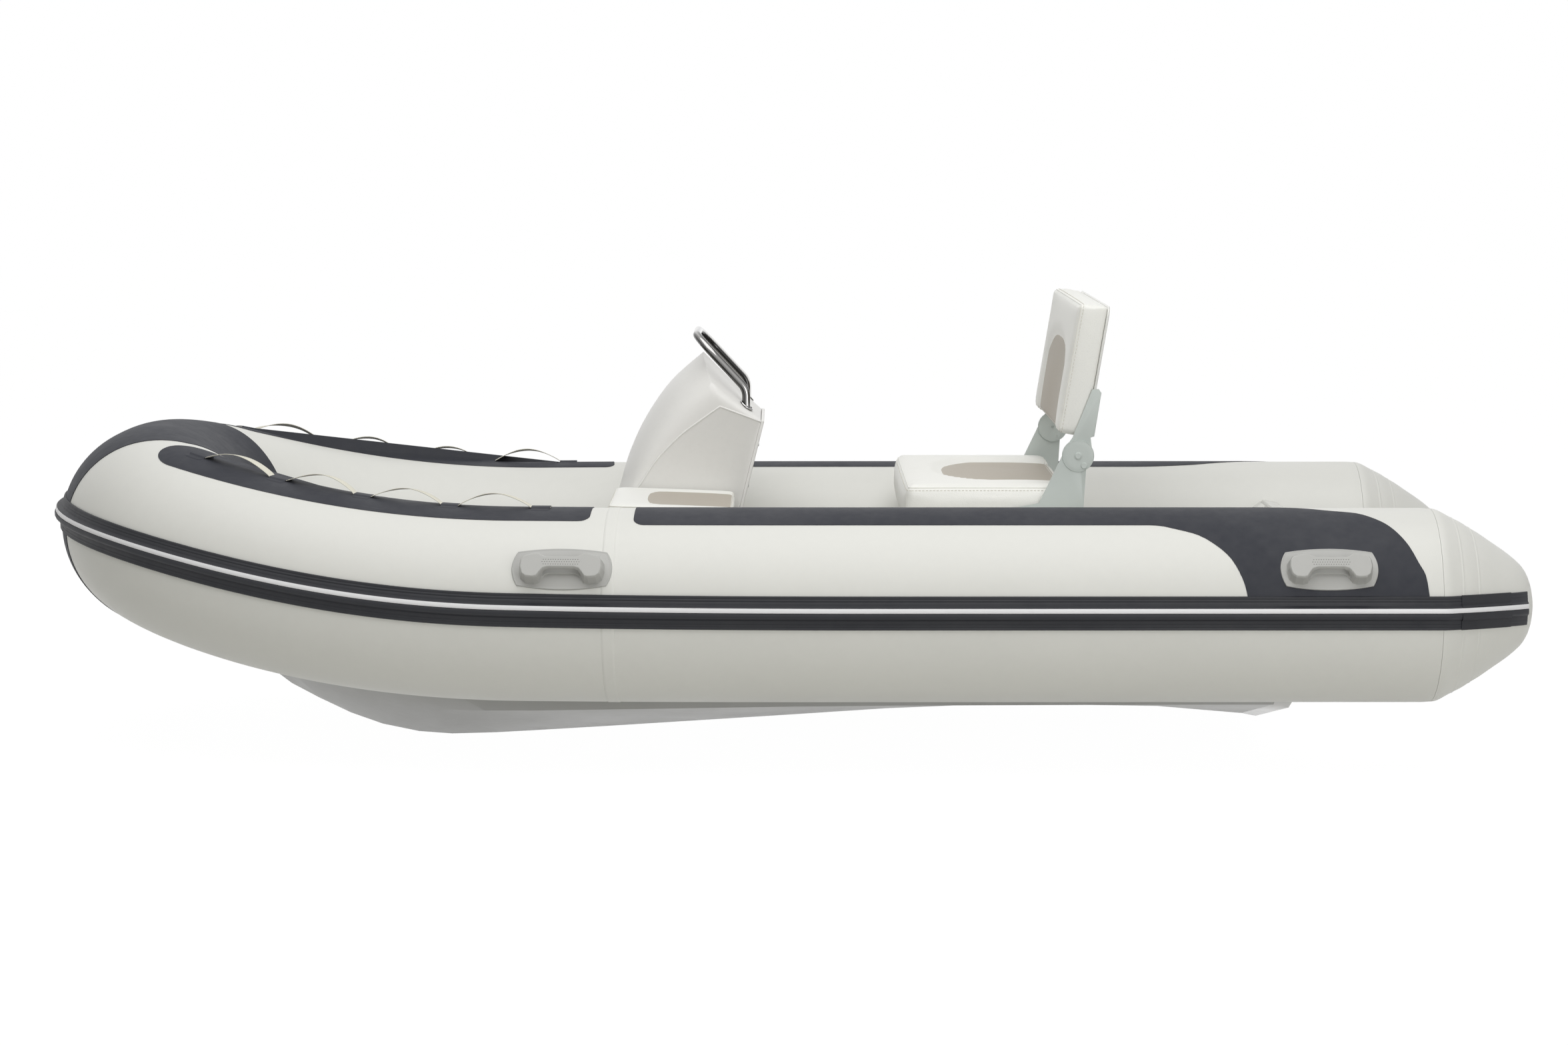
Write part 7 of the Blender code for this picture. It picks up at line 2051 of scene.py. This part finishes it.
@dataclass
class GrabWebbing:
    """A strap along the crest of each bow quarter, held by glued patches and looped between them."""

    shape: TubeShape
    shop: Workshop
    width: float = 0.025
    thickness: float = 0.0018
    lift: float = 0.0026
    start: float = 0.392
    loop: float = 0.180
    patch: float = 0.044
    rises: tuple[float, ...] = (0.026, 0.030, 0.028, 0.030)
    leans: tuple[float, ...] = (1.0, 1.15, 1.1, 1.05)
    twist: float = math.radians(11.0)
    angle: float = math.radians(87.0)
    patch_half: float = 0.031
    strip_top: float = 0.0016
    fullness: float = 0.85
    patch_thickness: float = 0.0011
    patch_cover: float = 0.0010
    patch_slope: float = 0.0035
    corner_share: float = 0.28
    corner_cut: float = 0.0065

    def rise(self, index: int, share: float) -> float:
        """How far a loop stands off the tube along its length."""
        return self.rises[index] * math.sin(math.pi * share ** self.leans[index]) ** self.fullness

    def stations(self) -> list[tuple[float, float, float]]:
        """Places along the tube with the strap's rise and twist there."""
        found = []
        pitch = self.loop + self.patch
        for index in range(len(self.rises) + 1):
            begin = self.start + pitch * index
            found += [(s, 0.0, 0.0) for s in spread(begin, begin + self.patch, 9)]
            if index < len(self.rises):
                for step in range(1, 36):
                    share = step / 36
                    turn = self.twist * math.sin(math.pi * share) ** 2 * (1 - share) * 2
                    found.append((begin + self.patch + self.loop * share, self.rise(index, share), turn))
        return found

    def strap(self, side: Side) -> bpy.types.Object:
        """The strap, with a woven edge on both sides."""
        rows, uvs = [], []
        half, thick = self.width / 2, self.thickness / 2
        rim, side_face = half * 0.93, thick * 0.4
        outline = [(-half, -side_face), (-rim, -thick), (rim, -thick), (half, -side_face), (half, side_face),
                   (rim, thick), (0.0, thick * 0.9), (-rim, thick), (-half, side_face)]
        for s, rise, turn in self.stations():
            spot = side.value * s
            normal = self.shape.normal(spot, self.angle)
            along, _, _ = self.shape.frame(spot)
            across = normal.cross(along).normalized()
            middle = self.shape.point(spot, self.angle, self.lift + thick + rise)
            lean = Matrix.Rotation(turn * side.value, 3, along)
            rows.append([middle + lean @ (across * a + normal * b) for a, b in outline])
            uvs.append([(s, a) for a, _ in outline])
        return seal(grid_sheet(side.word + "_grab_strap", rows, uvs, closed=True), 50.0)

    def patch_pad(self, side: Side, begin: float) -> bpy.types.Object:
        """A glued patch that covers the strap, its corners round and its middle raised over it."""
        rows, uvs = [], []
        half = self.width / 2
        for s in spread(begin, begin + self.patch, 15):
            share = 2 * (s - begin) / self.patch - 1
            width = self.patch_half
            past = (abs(share) - (1 - self.corner_share)) / self.corner_share
            if past > 0:
                width -= self.corner_cut * (1 - arc_height(1.0, past))
            row, row_uv = [], []
            for across in spread(-width, width, 25):
                over = (half + self.patch_slope - abs(across)) / self.patch_slope
                edge = abs(across) > width - 1e-6 or abs(share) > 0.999
                lift = self.strip_top + (0.0 if edge else self.patch_thickness)
                covered = self.lift + self.thickness + self.patch_cover
                lift = lerp(lift, covered, soft_step(over))
                row.append(self.shape.point(side.value * s, self.angle + across / self.shape.radius, lift))
                row_uv.append((s, across))
            rows.append(row)
            uvs.append(row_uv)
        item = grid_sheet("grab_patch", rows, uvs)
        with editing(item) as work:
            bmesh.ops.recalc_face_normals(work, faces=work.faces)
        crest = item.data.polygons[len(item.data.polygons) // 2]
        if crest.normal.z < 0:
            item.data.flip_normals()
        close_sheet(item, self.patch_thickness)
        smooth_by_angle(item, 50.0)
        return item

    def build(self) -> None:
        """Make both straps and their patches."""
        pitch = self.loop + self.patch
        for side in Side:
            self.shop.fit(self.strap(side), Finishes.WEBBING, replaces=[side.word + "_grab_webbing"])
            pads = [self.patch_pad(side, self.start + pitch * index) for index in range(len(self.rises) + 1)]
            self.shop.fit(join(side.word + "_grab_patches", pads), Finishes.GREY)


@dataclass
class SeatBrackets:
    """The folding back's painted side plates, with a round cover over each joint on both faces."""

    shop: Workshop
    pivot_x: float = 0.714
    pivot_z: float = 0.729
    stop_reach: float = 0.0269
    stop_angle: float = math.radians(-58.7)
    outer_face: float = 0.4491
    inner_face: float = 0.4400
    cover_radius: float = 0.0377
    cover_thickness: float = 0.0013
    rim_ring: float = 0.0368
    rim_rod: float = 0.0006
    outer_dome: float = 0.0076
    inner_dome: float = 0.0036
    pivot_dome_height: float = 0.0042
    stop_dome_height: float = 0.0038

    def cover(self, side: Side, outside: bool) -> bpy.types.Object:
        """One round cover with a raised rim and the domed ends of its two pins.

        Args:
            side: side of the boat.
            outside: whether it lies on the outer face, or else the inner one.

        Returns:
            The cover as one object.
        """
        facing = Vector((0.0, side.value if outside else -side.value, 0.0))
        face = self.outer_face if outside else self.inner_face
        base = Vector((self.pivot_x, side.value * face, self.pivot_z))
        ahead = Vector((1.0, 0.0, 0.0))
        stop = Vector((math.cos(self.stop_angle), 0.0, math.sin(self.stop_angle))) * self.stop_reach
        dome = self.outer_dome if outside else self.inner_dome
        discs = ((Vector(), self.cover_radius, self.cover_thickness, 48),
                 (Vector(), dome, self.pivot_dome_height, 28), (stop, dome, self.stop_dome_height, 28))
        parts = [button_at(frame_matrix(base + shift, ahead, facing), radius, height, sides, 0.35)
                 for shift, radius, height, sides in discs]
        top = base + facing * self.cover_thickness
        ring = [top + Vector((math.cos(turn), 0.0, math.sin(turn))) * self.rim_ring
                for turn in spread(0.0, 2 * math.pi, 65)[:-1]]
        parts.append(swept_tube("cover_rim", ring, self.rim_rod, cyclic=True, sides=1))
        return join(f"{side.word}_{'outer' if outside else 'inner'}_joint_cover", parts)

    def build(self) -> None:
        """Dress the plates and rivets and add the covers."""
        for side in Side:
            for word, body in (("_lower_bracket", Body.BOAT), ("_upper_bracket", Body.SEAT_BACK)):
                self.shop.refined(side.word + word, Finishes.BRACKET, 0.0009, body, degrees=35.0)
            self.shop.refined(side.word + "_pivot_rivet", Finishes.BRACKET, 0.0008, segments=3, degrees=35.0)
            self.shop.fit(self.cover(side, True), Finishes.BRACKET)
            self.shop.fit(self.cover(side, False), Finishes.BRACKET)


# Hull, deck and fittings
@dataclass
class HullAndDeck:
    """The moulded hull, the deck, the transom with its pads and drain, and the bow eye."""

    shop: Workshop

    def build(self) -> None:
        """Dress the hard parts of the boat's body."""
        self.shop.refined("hull", Finishes.HULL, 0.006, segments=3, degrees=16.0)
        self.shop.refined("deck", Finishes.DECK, 0.002)
        self.shop.refined("transom", Finishes.GELCOAT, 0.004, segments=3)
        self.shop.refined("outer_motor_pad", Finishes.PAD, 0.002)
        self.shop.refined("inner_motor_pad", Finishes.PAD, 0.0015)
        self.shop.refined("drain_flange", Finishes.WHITE, 0.0010)
        self.shop.refined("drain_plug", Finishes.DARK, 0.0010, Body.PLUG)
        self.shop.refined("bow_eye", Finishes.STEEL, 0.0008)


@dataclass
class BowLocker:
    """The bow locker with its hinged lid."""

    shop: Workshop

    def build(self) -> None:
        """Dress the locker, its lid and its hinge."""
        self.shop.refined("bow_locker", Finishes.GELCOAT, 0.008, segments=3)
        self.shop.refined("bow_locker_lid", Finishes.DECK, 0.004, Body.LOCKER_LID, 3)
        self.shop.refined("locker_hinge_leaf", Finishes.STEEL, 0.0004)
        self.shop.refined("lid_hinge_knuckle", Finishes.STEEL, 0.0004, Body.LOCKER_LID)


@dataclass
class Valves:
    """The three inflation valves with their screw caps."""

    shop: Workshop
    bodies: tuple[tuple[str, Body], ...] = (("port", Body.PORT_CAP), ("starboard", Body.STARBOARD_CAP),
                                            ("bow", Body.BOW_CAP))

    def build(self) -> None:
        """Dress the valve bodies and their caps."""
        for word, body in self.bodies:
            self.shop.refined(word + "_valve_body", Finishes.WHITE, 0.0010)
            self.shop.refined(word + "_valve_cap", Finishes.DARK, 0.0014, body, 3)


# Stage
@dataclass
class Studio:
    """The floor, the soft lights and the camera at the photograph's angle."""

    focal: float = 93.5
    camera_place: tuple[float, float, float] = (0.0063, -10.0, 1.5355)
    pitch: float = math.radians(5.764)
    yaw: float = math.radians(0.092)
    lamps: tuple[tuple[str, float, float, tuple[float, float, float]], ...] = (
        ("key", 300.0, 7.0, (-0.2, -2.0, 5.6)),
        ("fill", 80.0, 2.6, (3.2, -6.0, 1.0)),
        ("back", 24.0, 6.0, (0.0, 4.0, 4.8)))
    aim: tuple[float, float, float] = (0.0, 0.0, 0.4)
    floor_tone: tuple[float, ...] = (0.66, 0.655, 0.62, 1.0)
    floor_glow: float = 1.05
    floor_glow_share: float = 0.94
    ambient_tone: tuple[float, ...] = (1.0, 0.99, 0.95, 1.0)
    ambient_strength: float = 0.24
    white: tuple[float, ...] = (1.0, 1.0, 1.0, 1.0)

    def build(self) -> None:
        """Set the floor, the world, the lamps and the camera."""
        self.floor()
        self.world()
        for name, power, size, place in self.lamps:
            self.lamp(name, power, size, place)
        self.camera()

    def floor(self) -> None:
        """A plain white floor that shows white to the camera and keeps the boat's shadow."""
        deselect_all()
        bpy.ops.mesh.primitive_grid_add(x_subdivisions=2, y_subdivisions=2, size=60.0,
                                        location=(0.0, 0.0, -0.0005))
        floor = bpy.context.object
        floor.name = "floor"
        sheet = NodeSheet("studio floor")
        sheet.shader.inputs["Base Color"].default_value = self.floor_tone
        sheet.shader.inputs["Roughness"].default_value = 0.9
        output = next(node for node in sheet.tree.nodes if node.type == "OUTPUT_MATERIAL")
        path = sheet.add("ShaderNodeLightPath")
        glow = sheet.add("ShaderNodeEmission", {"Strength": self.floor_glow})
        glow.inputs["Color"].default_value = self.white
        seen = sheet.math("MAXIMUM", path.outputs["Is Camera Ray"], path.outputs["Is Glossy Ray"])
        seen = sheet.math("MULTIPLY", seen, self.floor_glow_share)
        mixer = sheet.add("ShaderNodeMixShader")
        sheet.link(seen, mixer.inputs[0])
        sheet.link(sheet.shader.outputs[0], mixer.inputs[1])
        sheet.link(glow.outputs[0], mixer.inputs[2])
        sheet.link(mixer.outputs[0], output.inputs["Surface"])
        floor.data.materials.append(sheet.material)

    def world(self) -> None:
        """A white backdrop for the camera and gloss, and a gentle light for the rest."""
        world = bpy.data.worlds.new("studio")
        bpy.context.scene.world = world
        world.use_nodes = True
        tree = world.node_tree
        background = next(node for node in tree.nodes if node.type == "BACKGROUND")
        output = next(node for node in tree.nodes if node.type == "OUTPUT_WORLD")
        background.inputs["Color"].default_value = self.ambient_tone
        background.inputs["Strength"].default_value = self.ambient_strength
        white = tree.nodes.new("ShaderNodeBackground")
        white.inputs["Color"].default_value = self.white
        white.inputs["Strength"].default_value = 1.0
        path = tree.nodes.new("ShaderNodeLightPath")
        shown = path.outputs["Is Camera Ray"]
        for ray in ("Is Glossy Ray", "Is Transmission Ray"):
            either = tree.nodes.new("ShaderNodeMath")
            either.operation = "MAXIMUM"
            tree.links.new(shown, either.inputs[0])
            tree.links.new(path.outputs[ray], either.inputs[1])
            shown = either.outputs[0]
        mixer = tree.nodes.new("ShaderNodeMixShader")
        tree.links.new(shown, mixer.inputs[0])
        tree.links.new(background.outputs[0], mixer.inputs[1])
        tree.links.new(white.outputs[0], mixer.inputs[2])
        tree.links.new(mixer.outputs[0], output.inputs["Surface"])

    def lamp(self, name: str, power: float, size: float, place: tuple[float, float, float]) -> None:
        """A square soft light that faces the boat."""
        light = bpy.data.lights.new(name, "AREA")
        light.energy = power
        light.shape = "SQUARE"
        light.size = size
        item = bpy.data.objects.new(name, light)
        item.location = place
        item.rotation_euler = (Vector(self.aim) - Vector(place)).to_track_quat("-Z", "Y").to_euler()
        bpy.context.scene.collection.objects.link(item)

    def camera(self) -> None:
        """The camera, level with the photograph's."""
        lens = bpy.data.cameras.new("camera")
        lens.lens = self.focal
        lens.sensor_width = 36.0
        lens.clip_end = 100.0
        item = bpy.data.objects.new("camera", lens)
        item.location = self.camera_place
        item.rotation_euler = (math.pi / 2 - self.pitch, 0.0, -self.yaw)
        bpy.context.scene.collection.objects.link(item)
        bpy.context.scene.camera = item


def clear_startup_scene() -> None:
    """Remove what a new Blender file starts with."""
    for item in list(bpy.data.objects):
        bpy.data.objects.remove(item)


def main() -> None:
    """Build the boat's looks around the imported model."""
    logging.basicConfig(level=logging.INFO, format="%(name)s %(message)s")
    clear_startup_scene()
    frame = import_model()
    bpy.context.scene.view_settings.view_transform = "Standard"
    shop = Workshop(frame["nodes"])
    shape = TubeShape()
    Studio().build()
    for part in (BuoyancyTube(shape, shop), TubePanels(shape, shop), RubStrake(shape, shop),
                 HullAndDeck(shop), BowLocker(shop), Console(shop), Seats(shop), SeatBrackets(shop),
                 CarryHandles(shape, shop), GrabWebbing(shape, shop), Valves(shop)):
        part.build()
    LOG.info("%d pieces", len(shop.made))


if __name__ == "__main__":
    main()
